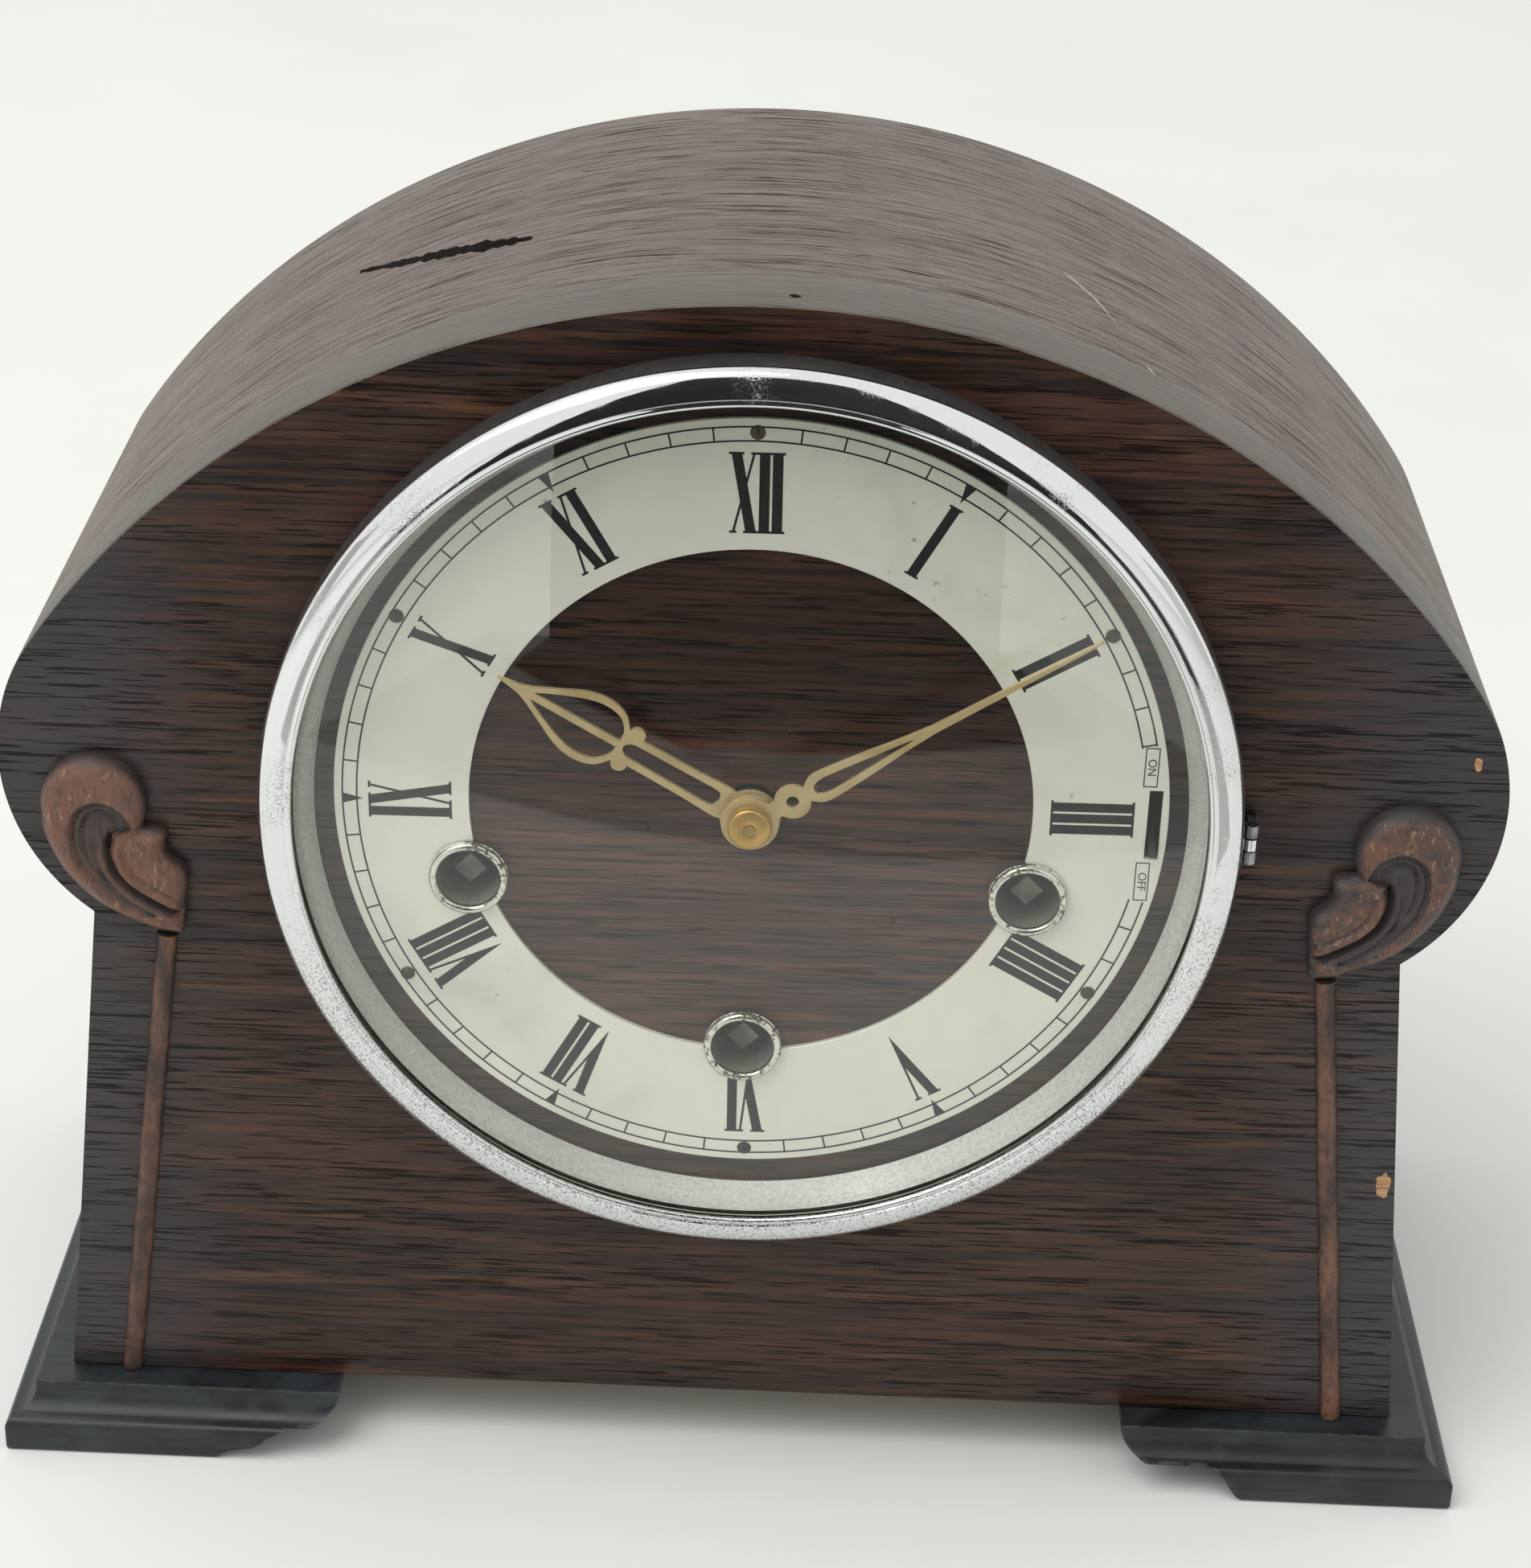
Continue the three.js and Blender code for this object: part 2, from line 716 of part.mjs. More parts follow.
// Moving leaf of the back hinge with the middle knuckle
function doorLeaf() {
  const third = BACK_HINGE_TALL / 3;
  const low = BACK_HINGE_LOW + third + GAP;
  const top = BACK_HINGE_LOW + 2 * third - GAP;
  const leaf = block(
    BACK_HINGE.x - BACK_LEAF_WIDE,
    BACK_HINGE.x,
    REAR_FACE + GAP,
    REAR_FACE + GAP + LEAF_THICK,
    low,
    top,
  );
  const knuckle = upright(BACK_HINGE.x, BACK_HINGE.y, BACK_KNUCKLE, low, top);
  const bore = upright(BACK_HINGE.x, BACK_HINGE.y, BACK_PIN + GAP, low - GAP, top + GAP);
  return carve(fuse(leaf, knuckle), bore);
}

const CATCH = place(-DOOR_HALF - CATCH_WIDE, -(DOOR_DOWN - DOOR_UP) / 2);

// Turn catch on the back board, turned up clear of the door
function doorCatch() {
  const tail = CATCH.clone().add(new THREE.Vector2(0, -CATCH_WIDE / 2));
  const nose = CATCH.clone().add(new THREE.Vector2(0, CATCH_LONG));
  const front = REAR_FACE + GAP;
  const strip = bar(tail, nose, CATCH_WIDE, front, front + LEAF_THICK);
  const head = shaft(CATCH, CATCH_WIDE / 2, front, front + 2 * LEAF_THICK, ROUND_STEPS);
  return fuse(strip, head);
}

// Moulding line of the foot from its ledge down to the toe, as projection and height
function footMoulding() {
  const cove = FOOT_HEIGHT - FOOT_FILLET;
  const lip = FOOT_LEDGE + FOOT_COVE;
  const hollow = arc(lip, cove, FOOT_COVE, Math.PI, 1.5 * Math.PI, CURVE_STEPS / 2);
  return [
    new THREE.Vector2(FOOT_LEDGE, FOOT_HEIGHT),
    ...hollow,
    new THREE.Vector2(FOOT_PROJECTION, cove - FOOT_COVE),
    new THREE.Vector2(FOOT_PROJECTION, FOOT_TOE),
    new THREE.Vector2(FOOT_PROJECTION - FOOT_TOE, 0),
  ];
}

// Bracket end of the foot seen from the front, from the pad up to the ledge
function footBracket() {
  const outer = FOOT_X + FOOT_PROJECTION;
  const inner = outer - FOOT_LENGTH;
  const pad = inner + FOOT_CORNER + FOOT_RUN + FOOT_OGEE / 2;
  const half = FOOT_OGEE / 2;
  const rise = FOOT_ARCH / 2;
  const ogee = [];
  for (let i = 0; i <= CURVE_STEPS; i += 1) {
    const share = i / CURVE_STEPS;
    ogee.push(new THREE.Vector2(pad - half * 2 * share + half, rise - rise * Math.cos(Math.PI * share)));
  }
  const corner = arc(
    inner + FOOT_CORNER,
    FOOT_ARCH + FOOT_CORNER,
    FOOT_CORNER,
    1.5 * Math.PI,
    Math.PI,
    CURVE_STEPS / 2,
  );
  return [...ogee, ...corner, new THREE.Vector2(inner, FOOT_HEIGHT)].filter((p) => p.y <= FOOT_HEIGHT);
}

// Right bracket foot with mitred mouldings on the front and the outer side
function rightFoot() {
  const outside = footMoulding().map((p) => new THREE.Vector2(FOOT_X + p.x, p.y));
  const across = slab([...footBracket(), ...outside], -FOOT_PROJECTION, CASE_DEPTH);
  const reach = -CASE_DEPTH;
  const run = slab(
    [...footMoulding(), new THREE.Vector2(reach, 0), new THREE.Vector2(reach, FOOT_HEIGHT)],
    0,
    FOOT_X + FOOT_PROJECTION,
  );
  run.rotateZ(-Math.PI / 2);
  const inner = FOOT_X + FOOT_PROJECTION - FOOT_LENGTH;
  const pocket = block(inner - GAP, FOOT_X - FOOT_WEB, FOOT_WEB, CASE_DEPTH + GAP, -GAP, FOOT_HEIGHT + GAP);
  return carve(common(across, run), pocket);
}

// Carved scroll at the right: a round volute over a fluted leaf
function rightScroll() {
  const eye = place(SCROLL_X, -SCROLL_DROP);
  const hub = new THREE.Vector2(eye.x - LEAF_IN, eye.y + SCROLL_DROP / 2);
  const edge = eye.x - LEAF_EDGE;
  const toe = -Math.acos((edge - hub.x) / LEAF_SWEEP);
  const sweep = arc(hub.x, hub.y, LEAF_SWEEP, toe, LEAF_HEAD, CURVE_STEPS);
  const leaf = [
    ...sweep,
    eye,
    new THREE.Vector2(eye.x - VOLUTE_RADIUS + GAP, eye.y - LEAF_LIP),
    new THREE.Vector2(edge + LEAF_WAIST, eye.y - LEAF_LIP),
    new THREE.Vector2(edge + LEAF_WAIST, eye.y - LEAF_STEP + LEAF_WAIST),
    new THREE.Vector2(edge, eye.y - LEAF_STEP),
  ];
  const carving = fuse(soft(leaf), soft(circle(eye, VOLUTE_RADIUS)));
  const flutes = [1, 2].map((row) => fluteTool(hub, LEAF_SWEEP - row * FLUTE_PITCH + FLUTE_WIDE));
  return carve(carving, ...flutes);
}

// An outline pushed forward with softened edges
function soft(outline) {
  const shape = new THREE.Shape(outline);
  const geometry = new THREE.ExtrudeGeometry(shape, {
    depth: SCROLL_THICK - SCROLL_BEVEL,
    steps: 1,
    bevelEnabled: true,
    bevelSize: SCROLL_BEVEL,
    bevelThickness: SCROLL_BEVEL,
    bevelSegments: 2,
  });
  geometry.rotateX(Math.PI / 2);
  geometry.translate(0, SCROLL_BACK, 0);
  const cutter = block(
    shape.getPoints()[0].x - LEAF_SWEEP * 2,
    shape.getPoints()[0].x + LEAF_SWEEP * 2,
    SCROLL_BACK,
    SCROLL_BACK + SCROLL_THICK,
    DIAL_Z - LEAF_SWEEP * 2,
    DIAL_Z + LEAF_SWEEP,
  );
  return carve(geometry, cutter);
}

// A curved groove cut into the face of the leaf
function fluteTool(hub, radius) {
  const from = FLUTE_FOOT * DEG;
  const to = FLUTE_HEAD * DEG;
  const outer = arc(hub.x, hub.y, radius + FLUTE_WIDE / 2, from, to, CURVE_STEPS);
  const inner = arc(hub.x, hub.y, radius - FLUTE_WIDE / 2, to, from, CURVE_STEPS);
  const face = SCROLL_BACK - SCROLL_THICK;
  return slab([...outer, ...inner], face - FLUTE_DEEP, face + FLUTE_DEEP);
}

// Half-round bead that runs down the right of the front
function rightBead() {
  const top = place(BEAD_TOP_X, -BEAD_TOP_DROP);
  const low = new THREE.Vector2(BEAD_FOOT_X, BOTTOM_Z);
  const outline = arc(0, 0, BEAD_RADIUS, Math.PI, 2 * Math.PI, CURVE_STEPS);
  const geometry = new THREE.ExtrudeGeometry(new THREE.Shape(outline), {
    depth: top.y - low.y,
    bevelEnabled: false,
    steps: 1,
  });
  const points = geometry.attributes.position;
  for (let i = 0; i < points.count; i += 1) {
    const share = points.getZ(i) / (top.y - low.y);
    points.setX(i, points.getX(i) + low.x + (top.x - low.x) * share);
    points.setY(i, points.getY(i) - GAP);
    points.setZ(i, points.getZ(i) + low.y);
  }
  return geometryOf(solidOf(geometry));
}

// Flat ring with the numerals, cut round the collets and the lever slot
function chapterRing() {
  const ring = slab(circle(CENTRE, RING_OUTER, FINE_STEPS), RING_FRONT, RING_BACK, [
    circle(CENTRE, RING_INNER, FINE_STEPS),
  ]);
  const reach = RING_THICK + GAP;
  const bores = [STRIKE, TIME, CHIME].map((at) =>
    shaft(at, COLLET_TUBE + GAP, RING_FRONT - reach, RING_BACK + reach, ROUND_STEPS),
  );
  return carve(ring, ...bores, slab(slotLine(), RING_FRONT - reach, RING_BACK + reach));
}

// Flanged tube round one winding hole
function collet(at) {
  const seat = RING_FRONT - GAP;
  const face = seat - COLLET_PROUD;
  const profile = [
    [COLLET_BORE, PANEL_THICK],
    [COLLET_TUBE, PANEL_THICK],
    [COLLET_TUBE, seat],
    [COLLET_RADIUS, seat],
    [COLLET_RADIUS, seat - COLLET_PROUD / 3],
    [(COLLET_TUBE + COLLET_RADIUS) / 2, face],
    [COLLET_BORE, seat - COLLET_PROUD / 2],
  ];
  return turned(at, profile, ROUND_STEPS);
}

// Lever that shows in the slot, turning on a stud of the front plate
function chimeLever() {
  const reach = SLOT_X - LEVER_X;
  const tip = new THREE.Vector2(SLOT_X, LEVER.y + reach * Math.tan(LEVER_REST * DEG));
  const front = PANEL_BACK + GAP;
  const back = front + LEVER_THICK;
  const hub = shaft(LEVER, LEVER_HUB, front, back, ROUND_STEPS);
  const arm = bar(LEVER, tip, LEVER_WIDE, front, back);
  const tab = block(
    tip.x - LEVER_TAB / 2,
    tip.x + LEVER_TAB / 2,
    RING_FRONT - COLLET_PROUD,
    back,
    tip.y - LEVER_TAB_TALL / 2,
    tip.y + LEVER_TAB_TALL / 2,
  );
  const bore = shaft(LEVER, STUD_RADIUS + GAP, front - GAP, back + GAP);
  return carve(fuse(hub, arm, tab), bore);
}

// Hollow ring of the front door, its face rising in a bow to the lip, with the middle knuckle of its hinge
function bezelRing() {
  const back = -GAP;
  const crest = back - BEZEL_DEEP;
  const wall = BEZEL_WALL;
  const seat = BEZEL_RADIUS - BEZEL_FACE;
  const bow = (inset) =>
    arc(0, 0, 1, 0, -Math.PI / 2, NOSE_STEPS).map((p) => {
      const sweep = p.multiply(new THREE.Vector2(BEZEL_FACE - inset, BEZEL_RISE - inset));
      return sweep.add(new THREE.Vector2(seat, crest + BEZEL_RISE));
    });
  const profile = [
    new THREE.Vector2(BEZEL_BACK, back),
    ...bow(0),
    new THREE.Vector2(BEZEL_LIP, crest + wall / 2),
    new THREE.Vector2(BEZEL_LIP, crest + wall - GAP),
    ...bow(wall).reverse(),
    new THREE.Vector2(BEZEL_BACK - wall, back),
  ].map((p) => p.toArray());
  const ring = turned(BEZEL_CENTRE, profile);
  const low = BEZEL_CENTRE.y - KNUCKLE_TALL / 6 + GAP / 2;
  const high = BEZEL_CENTRE.y + KNUCKLE_TALL / 6 - GAP / 2;
  const lug = block(BEZEL_RADIUS - wall, HINGE_X, HINGE_Y - wall / 2, HINGE_Y + wall / 2, low, high);
  const knuckle = upright(HINGE_X, HINGE_Y, KNUCKLE_RADIUS, low, high);
  const bore = upright(HINGE_X, HINGE_Y, PIN_RADIUS + GAP, low - GAP, high + GAP);
  return carve(fuse(ring, lug, knuckle), bore);
}

const SIGHT_OUTER = BEZEL_BACK - BEZEL_WALL - GAP;

// Matt cone between the glass and the dial
function sightRing() {
  const front = GLASS_EDGE + GLASS_THICK + GAP;
  const back = RING_FRONT / 2 - GAP;
  const profile = [
    [BEZEL_LIP, front],
    [SIGHT_INNER, back],
    [SIGHT_INNER + SIGHT_THICK, back],
    [BEZEL_LIP + SIGHT_THICK * 2, front + SIGHT_THICK],
    [SIGHT_OUTER - BEZEL_WALL, front + SIGHT_THICK],
    [SIGHT_OUTER - BEZEL_WALL, front],
  ];
  return turned(BEZEL_CENTRE, profile);
}

// Domed glass that sits behind the lip of the ring
function bezelGlass() {
  const edge = BEZEL_LIP + GAP;
  const radius = (edge ** 2 + GLASS_RISE ** 2) / (2 * GLASS_RISE);
  const dome = (share, lift) => {
    const r = edge * share;
    const sag = radius - Math.sqrt(radius ** 2 - r ** 2);
    return [r, GLASS_EDGE - GLASS_RISE + sag + lift];
  };
  const shares = Array.from({ length: DOME_STEPS + 1 }, (_, i) => i / DOME_STEPS);
  const outer = shares.map((share) => dome(share, 0));
  const inner = shares.map((share) => dome(share, GLASS_THICK)).reverse();
  return turned(BEZEL_CENTRE, [...outer, ...inner], FINE_STEPS);
}

// Fixed leaf of the front hinge with its two outer knuckles
function bezelHingeLeaf() {
  const low = BEZEL_CENTRE.y - KNUCKLE_TALL / 2;
  const high = BEZEL_CENTRE.y + KNUCKLE_TALL / 2;
  const third = KNUCKLE_TALL / 3;
  const leaf = block(HINGE_X - LEAF_THICK / 2, HINGE_X + LEAF_THICK / 2, HINGE_Y, PANEL_THICK, low, high);
  const knuckles = fuse(leaf, upright(HINGE_X, HINGE_Y, KNUCKLE_RADIUS, low, high));
  const room = upright(HINGE_X, HINGE_Y, KNUCKLE_RADIUS + GAP, low + third - GAP / 2, high - third + GAP / 2);
  const bore = upright(HINGE_X, HINGE_Y, PIN_RADIUS + GAP, low - GAP, high + GAP);
  return carve(knuckles, room, bore);
}

// Pin of the front hinge
function bezelHingePin() {
  const half = KNUCKLE_TALL / 2;
  return upright(HINGE_X, HINGE_Y, PIN_RADIUS, BEZEL_CENTRE.y - half, BEZEL_CENTRE.y + half);
}

// A loop of two rails that swells and closes again along a hand
function loopLine(from, to, half, lean) {
  const right = [];
  for (let i = 0; i <= LOOP_STEPS; i += 1) {
    const share = i / LOOP_STEPS;
    const width = half * Math.sin(Math.PI * share ** lean);
    right.push(new THREE.Vector2(Math.max(width, 0), DIAL_Z + from + (to - from) * share));
  }
  const left = right.slice(1, -1).map((p) => new THREE.Vector2(-p.x, p.y)).reverse();
  return [...right, ...left];
}

// A pierced loop of a hand
function pierced(from, to, half, lean, front, back) {
  const shrink = HAND_RAIL / half;
  const hole = loopLine(from + HAND_RAIL, to - HAND_RAIL * (1 + lean), half * (1 - shrink), lean);
  return slab(loopLine(from, to, half, lean), front, back, [hole]);
}

// Brass hour hand with a spade-shaped loop
function hourHand() {
  const front = -HOUR_FRONT;
  const back = front + HAND_THICK;
  const boss = shaft(CENTRE, HOUR_BOSS, front, back, ROUND_STEPS);
  const rails = pierced(HOUR_BOSS - HAND_RAIL, HOUR_NECK + HAND_RAIL, HOUR_RAILS, RAILS_LEAN, front, back);
  const pear = pierced(HOUR_NECK, HOUR_SHOULDER + HAND_RAIL, HOUR_PEAR, PEAR_LEAN, front, back);
  const balls = [-1, 1].map((side) =>
    bar(place(0, HOUR_NECK - GAP), place(side * HOUR_BALL_OUT, HOUR_NECK - GAP), HOUR_BALL * 2, front, back),
  );
  const rib = bar(place(0, HOUR_NECK - HAND_RAIL), place(0, HOUR_SHOULDER), HAND_RAIL, front, back);
  const root = HOUR_SHOULDER - HAND_RAIL;
  const point = [place(-HAND_RAIL, root), place(HAND_RAIL, root), place(0, HOUR_LONG)];
  const tip = slab(point, front, back);
  const bore = shaft(CENTRE, PIPE_RADIUS + GAP, front - GAP, back + GAP, ROUND_STEPS);
  return aimed(carve(fuse(boss, rails, pear, ...balls, rib, tip), bore), HOUR_TURN);
}

// Brass minute hand with an eye and a slim loop
function minuteHand() {
  const front = -MINUTE_FRONT;
  const back = front + HAND_THICK;
  const eyeAt = place(0, MINUTE_EYE);
  const boss = shaft(CENTRE, MINUTE_BOSS, front, back, ROUND_STEPS);
  const neck = bar(place(0, 0), eyeAt, HAND_RAIL * 2, front, back);
  const eye = shaft(eyeAt, MINUTE_EYE_RADIUS, front, back, ROUND_STEPS);
  const loopStart = MINUTE_EYE + MINUTE_EYE_RADIUS - HAND_RAIL / 2;
  const loop = pierced(loopStart, MINUTE_LOOP_END + HAND_RAIL, MINUTE_LOOP, LOOP_LEAN, front, back);
  const blade = slab(
    [
      place(-HAND_RAIL / 2, MINUTE_LOOP_END - HAND_RAIL * 2),
      place(HAND_RAIL / 2, MINUTE_LOOP_END - HAND_RAIL * 2),
      place(HAND_RAIL / 6, MINUTE_LONG),
      place(-HAND_RAIL / 6, MINUTE_LONG),
    ],
    front,
    back,
  );
  const bore = shaft(CENTRE, CENTRE_RADIUS + GAP, front - GAP, back + GAP, ROUND_STEPS);
  const hole = shaft(eyeAt, MINUTE_EYE_HOLE, front - GAP, back + GAP);
  return aimed(carve(fuse(boss, neck, eye, loop, blade), bore, hole), MINUTE_TURN);
}

// A hand turned clockwise to where it stands
function aimed(geometry, degrees) {
  geometry.translate(0, 0, -DIAL_Z);
  geometry.rotateY(degrees * DEG);
  geometry.translate(0, 0, DIAL_Z);
  return geometry;
}

// Domed nut that holds the hands
function handNut() {
  const back = -MINUTE_FRONT - GAP;
  const face = back - NUT_TALL;
  const profile = [
    [TIP_RADIUS + GAP, back],
    [NUT_RADIUS, back],
    [NUT_RADIUS, back - NUT_TALL / 2],
    [NUT_CROWN, face + NUT_TALL / 8],
    [NUT_FACE, face],
    [TIP_RADIUS + GAP, face],
  ];
  return turned(CENTRE, profile, ROUND_STEPS);
}

// Outline shared by both plates
function plateLine() {
  const top = DIAL_Z + PLATE_TOP;
  const low = DIAL_Z - PLATE_FOOT;
  const cut = PLATE_CORNER;
  return [
    new THREE.Vector2(-PLATE_HALF, low),
    new THREE.Vector2(PLATE_HALF, low),
    new THREE.Vector2(PLATE_HALF, top - cut),
    new THREE.Vector2(PLATE_HALF - cut, top),
    new THREE.Vector2(cut - PLATE_HALF, top),
    new THREE.Vector2(-PLATE_HALF, top - cut),
  ];
}

// Pivot holes that both plates have
function pivotHoles() {
  const barrels = [STRIKE, TIME, CHIME].map((at) => circle(at, ARBOR_RADIUS + GAP, SHAFT_STEPS));
  const fine = [THIRD, ESCAPE, PALLET, DRUM].map((at) => circle(at, FINE_RADIUS + GAP, SHAFT_STEPS));
  return [...barrels, ...fine, circle(INTER, INTER_RADIUS / 2 + GAP, SHAFT_STEPS)];
}

// Corners where pillars or posts stand
function corners(x, up, down) {
  return [place(-x, up), place(x, up), place(-x, -down), place(x, -down)];
}

// Front plate with the posts that meet the front panel and the studs of wheel and lever
function frontPlate() {
  const holes = [...pivotHoles(), circle(CENTRE, CENTRE_RADIUS + GAP, SHAFT_STEPS)];
  const plate = slab(plateLine(), PLATE_FRONT, PLATE_INNER, holes);
  const mid = (PLATE_FRONT + PLATE_INNER) / 2;
  const posts = corners(POST_X, POST_UP, POST_DOWN).map((at) => shaft(at, POST_RADIUS, PANEL_BACK, mid));
  const wheelStud = shaft(STUD, STUD_RADIUS, PLATE_FRONT - HOUR_LEVEL - WHEEL_THICK, mid);
  const leverStud = shaft(LEVER, STUD_RADIUS, PANEL_BACK + GAP, mid);
  return fuse(plate, ...posts, wheelStud, leverStud);
}

// Back plate with the riveted pillars
function backPlate() {
  const holes = [...pivotHoles(), circle(CENTRE, CENTRE_RADIUS / 2 + GAP, SHAFT_STEPS)];
  const plate = slab(plateLine(), BACK_PLATE, PLATE_REAR, holes);
  const mid = (BACK_PLATE + PLATE_REAR) / 2;
  const pillars = corners(PILLAR_X, PILLAR_UP, PILLAR_DOWN).map((at) =>
    shaft(at, PILLAR_RADIUS, PLATE_INNER + GAP, mid),
  );
  return fuse(plate, ...pillars);
}

// Spring barrel with its great wheel
function barrel(at, first) {
  const start = PLATE_INNER + DRUM_START;
  const level = BACK_PLATE - GREAT_LEVEL;
  const drum = shaft(at, BARREL_RADIUS, start, level + GAP, ROUND_STEPS);
  const wheel = slab(toothed(at, GREAT_TEETH, GREAT_MODULE, first), level, level + WHEEL_THICK);
  const bore = shaft(at, ARBOR_RADIUS + GAP, start - GAP, level + WHEEL_THICK + GAP);
  return carve(fuse(drum, wheel), bore);
}

// Winding arbor with its square end and ratchet wheel
function windingArbor(at) {
  const body = shaft(at, ARBOR_RADIUS, PLATE_FRONT / 2, PLATE_REAR);
  const square = shaft(at, SQUARE_RADIUS, SQUARE_BACK, PLATE_FRONT / 2 + GAP, 4);
  const teeth = toothed(at, RATCHET_TEETH, (2 * RATCHET_RADIUS) / RATCHET_TEETH, 0);
  const ratchet = slab(teeth, PLATE_FRONT - GAP - RATCHET_THICK, PLATE_FRONT - GAP);
  return fuse(body, square, ratchet);
}

// First arbor between the great wheel and the centre
function intermediateWheel() {
  const great = BACK_PLATE - GREAT_LEVEL;
  const level = BACK_PLATE - INTER_LEVEL;
  const leaves = toothed(INTER, INTER_LEAVES, GREAT_MODULE, spaceTowards(INTER, TIME, INTER_LEAVES));
  const teeth = toothed(INTER, INTER_TEETH, INTER_MODULE, toothTowards(INTER, CENTRE));
  return fuse(
    slab(leaves, great - GAP, level + GAP),
    slab(teeth, level, level + WHEEL_THICK),
    shaft(INTER, INTER_RADIUS, PLATE_INNER + GAP, BACK_PLATE - GAP),
    shaft(INTER, INTER_RADIUS / 2, PLATE_FRONT, PLATE_REAR),
  );
}

// Centre arbor: pinion, wheel, and the pinion of the motion work in front
function centreWheel() {
  const level = PLATE_INNER + CENTRE_LEVEL;
  const low = BACK_PLATE - INTER_LEVEL;
  const cannon = PLATE_FRONT - CANNON_LEVEL - WHEEL_THICK;
  const leaves = toothed(CENTRE, CENTRE_LEAVES, INTER_MODULE, spaceTowards(CENTRE, INTER, CENTRE_LEAVES));
  const teeth = toothed(CENTRE, CENTRE_TEETH, CENTRE_MODULE, toothTowards(CENTRE, THIRD));
  const front = toothed(CENTRE, CANNON_TEETH, CANNON_MODULE, toothTowards(CENTRE, STUD));
  return fuse(
    slab(leaves, low - GAP, low + WHEEL_THICK + GAP),
    slab(teeth, level, level + WHEEL_THICK),
    slab(front, cannon, cannon + WHEEL_THICK),
    shaft(CENTRE, CENTRE_RADIUS, -MINUTE_FRONT, BACK_PLATE - GAP),
    shaft(CENTRE, TIP_RADIUS, -MINUTE_FRONT - NUT_TALL, 0),
    shaft(CENTRE, CENTRE_RADIUS / 2, BACK_PLATE / 2, PLATE_REAR),
  );
}

// Third arbor with pinion and wheel
function thirdWheel() {
  const low = PLATE_INNER + CENTRE_LEVEL;
  const level = PLATE_INNER + THIRD_LEVEL;
  const leaves = toothed(THIRD, THIRD_LEAVES, CENTRE_MODULE, spaceTowards(THIRD, CENTRE, THIRD_LEAVES));
  const teeth = toothed(THIRD, THIRD_TEETH, THIRD_MODULE, toothTowards(THIRD, ESCAPE));
  return fuse(
    slab(leaves, low - GAP, low + WHEEL_THICK + GAP),
    slab(teeth, level, level + WHEEL_THICK),
    shaft(THIRD, FINE_RADIUS, PLATE_FRONT, PLATE_REAR),
  );
}

// Escape arbor with pinion and wheel
function escapeWheel() {
  const low = PLATE_INNER + THIRD_LEVEL;
  const level = PLATE_INNER + ESCAPE_LEVEL;
  const leaves = toothed(ESCAPE, ESCAPE_LEAVES, THIRD_MODULE, spaceTowards(ESCAPE, THIRD, ESCAPE_LEAVES));
  const size = ESCAPE_RADIUS / (ESCAPE_TEETH / 2 + TOOTH_UP);
  const teeth = toothed(ESCAPE, ESCAPE_TEETH, size, 0);
  return fuse(
    slab(leaves, low - GAP, low + WHEEL_THICK + GAP),
    slab(teeth, level, level + WHEEL_THICK / 2),
    shaft(ESCAPE, FINE_RADIUS, PLATE_FRONT, PLATE_REAR),
  );
}

// Pallets over the escape wheel, on an arbor with the crutch behind the back plate
function pallets() {
  const level = PLATE_INNER + ESCAPE_LEVEL;
  const inner = ESCAPE_RADIUS + PALLET_CLEAR;
  const half = PALLET_SPAN * DEG;
  const up = Math.PI / 2;
  const bow = [
    ...arc(ESCAPE.x, ESCAPE.y, inner + PALLET_BROAD, up - half, up + half, CURVE_STEPS),
    ...arc(ESCAPE.x, ESCAPE.y, inner, up + half, up - half, CURVE_STEPS),
  ];
  const crutchFront = PLATE_REAR + 2 * GAP;
  const crutchBack = crutchFront + HAND_RAIL;
  const head = new THREE.Vector2(PALLET.x, PALLET.y + CRUTCH_WIDE);
  const foot = new THREE.Vector2(PALLET.x, PALLET.y - CRUTCH_LONG);
  const fork = [-1, 1].map((side) => {
    const x = side * (ROD_RADIUS + GAP + HAND_RAIL / 2);
    const rear = PLATE_REAR + PENDULUM_BACK + ROD_RADIUS;
    const near = x - HAND_RAIL / 2;
    return block(near, near + HAND_RAIL, crutchFront, rear, foot.y - HAND_RAIL, foot.y + HAND_RAIL);
  });
  const wide = 2 * (ROD_RADIUS + GAP + HAND_RAIL);
  return fuse(
    slab(bow, level, level + WHEEL_THICK / 2),
    shaft(PALLET, PALLET_HUB, level - GAP, level + WHEEL_THICK),
    shaft(PALLET, FINE_RADIUS, PLATE_FRONT, crutchBack),
    bar(head, foot, CRUTCH_WIDE, crutchFront, crutchBack),
    block(-wide / 2, wide / 2, crutchFront, crutchBack, foot.y - HAND_RAIL, foot.y + HAND_RAIL),
    ...fork,
  );
}

const PENDULUM_Y = PLATE_REAR + PENDULUM_BACK;
const BOB = new THREE.Vector2(0, PALLET.y - PENDULUM_LONG);
const TAIL_Z = BOB.y - BOB_RADIUS - BOB_TAIL;

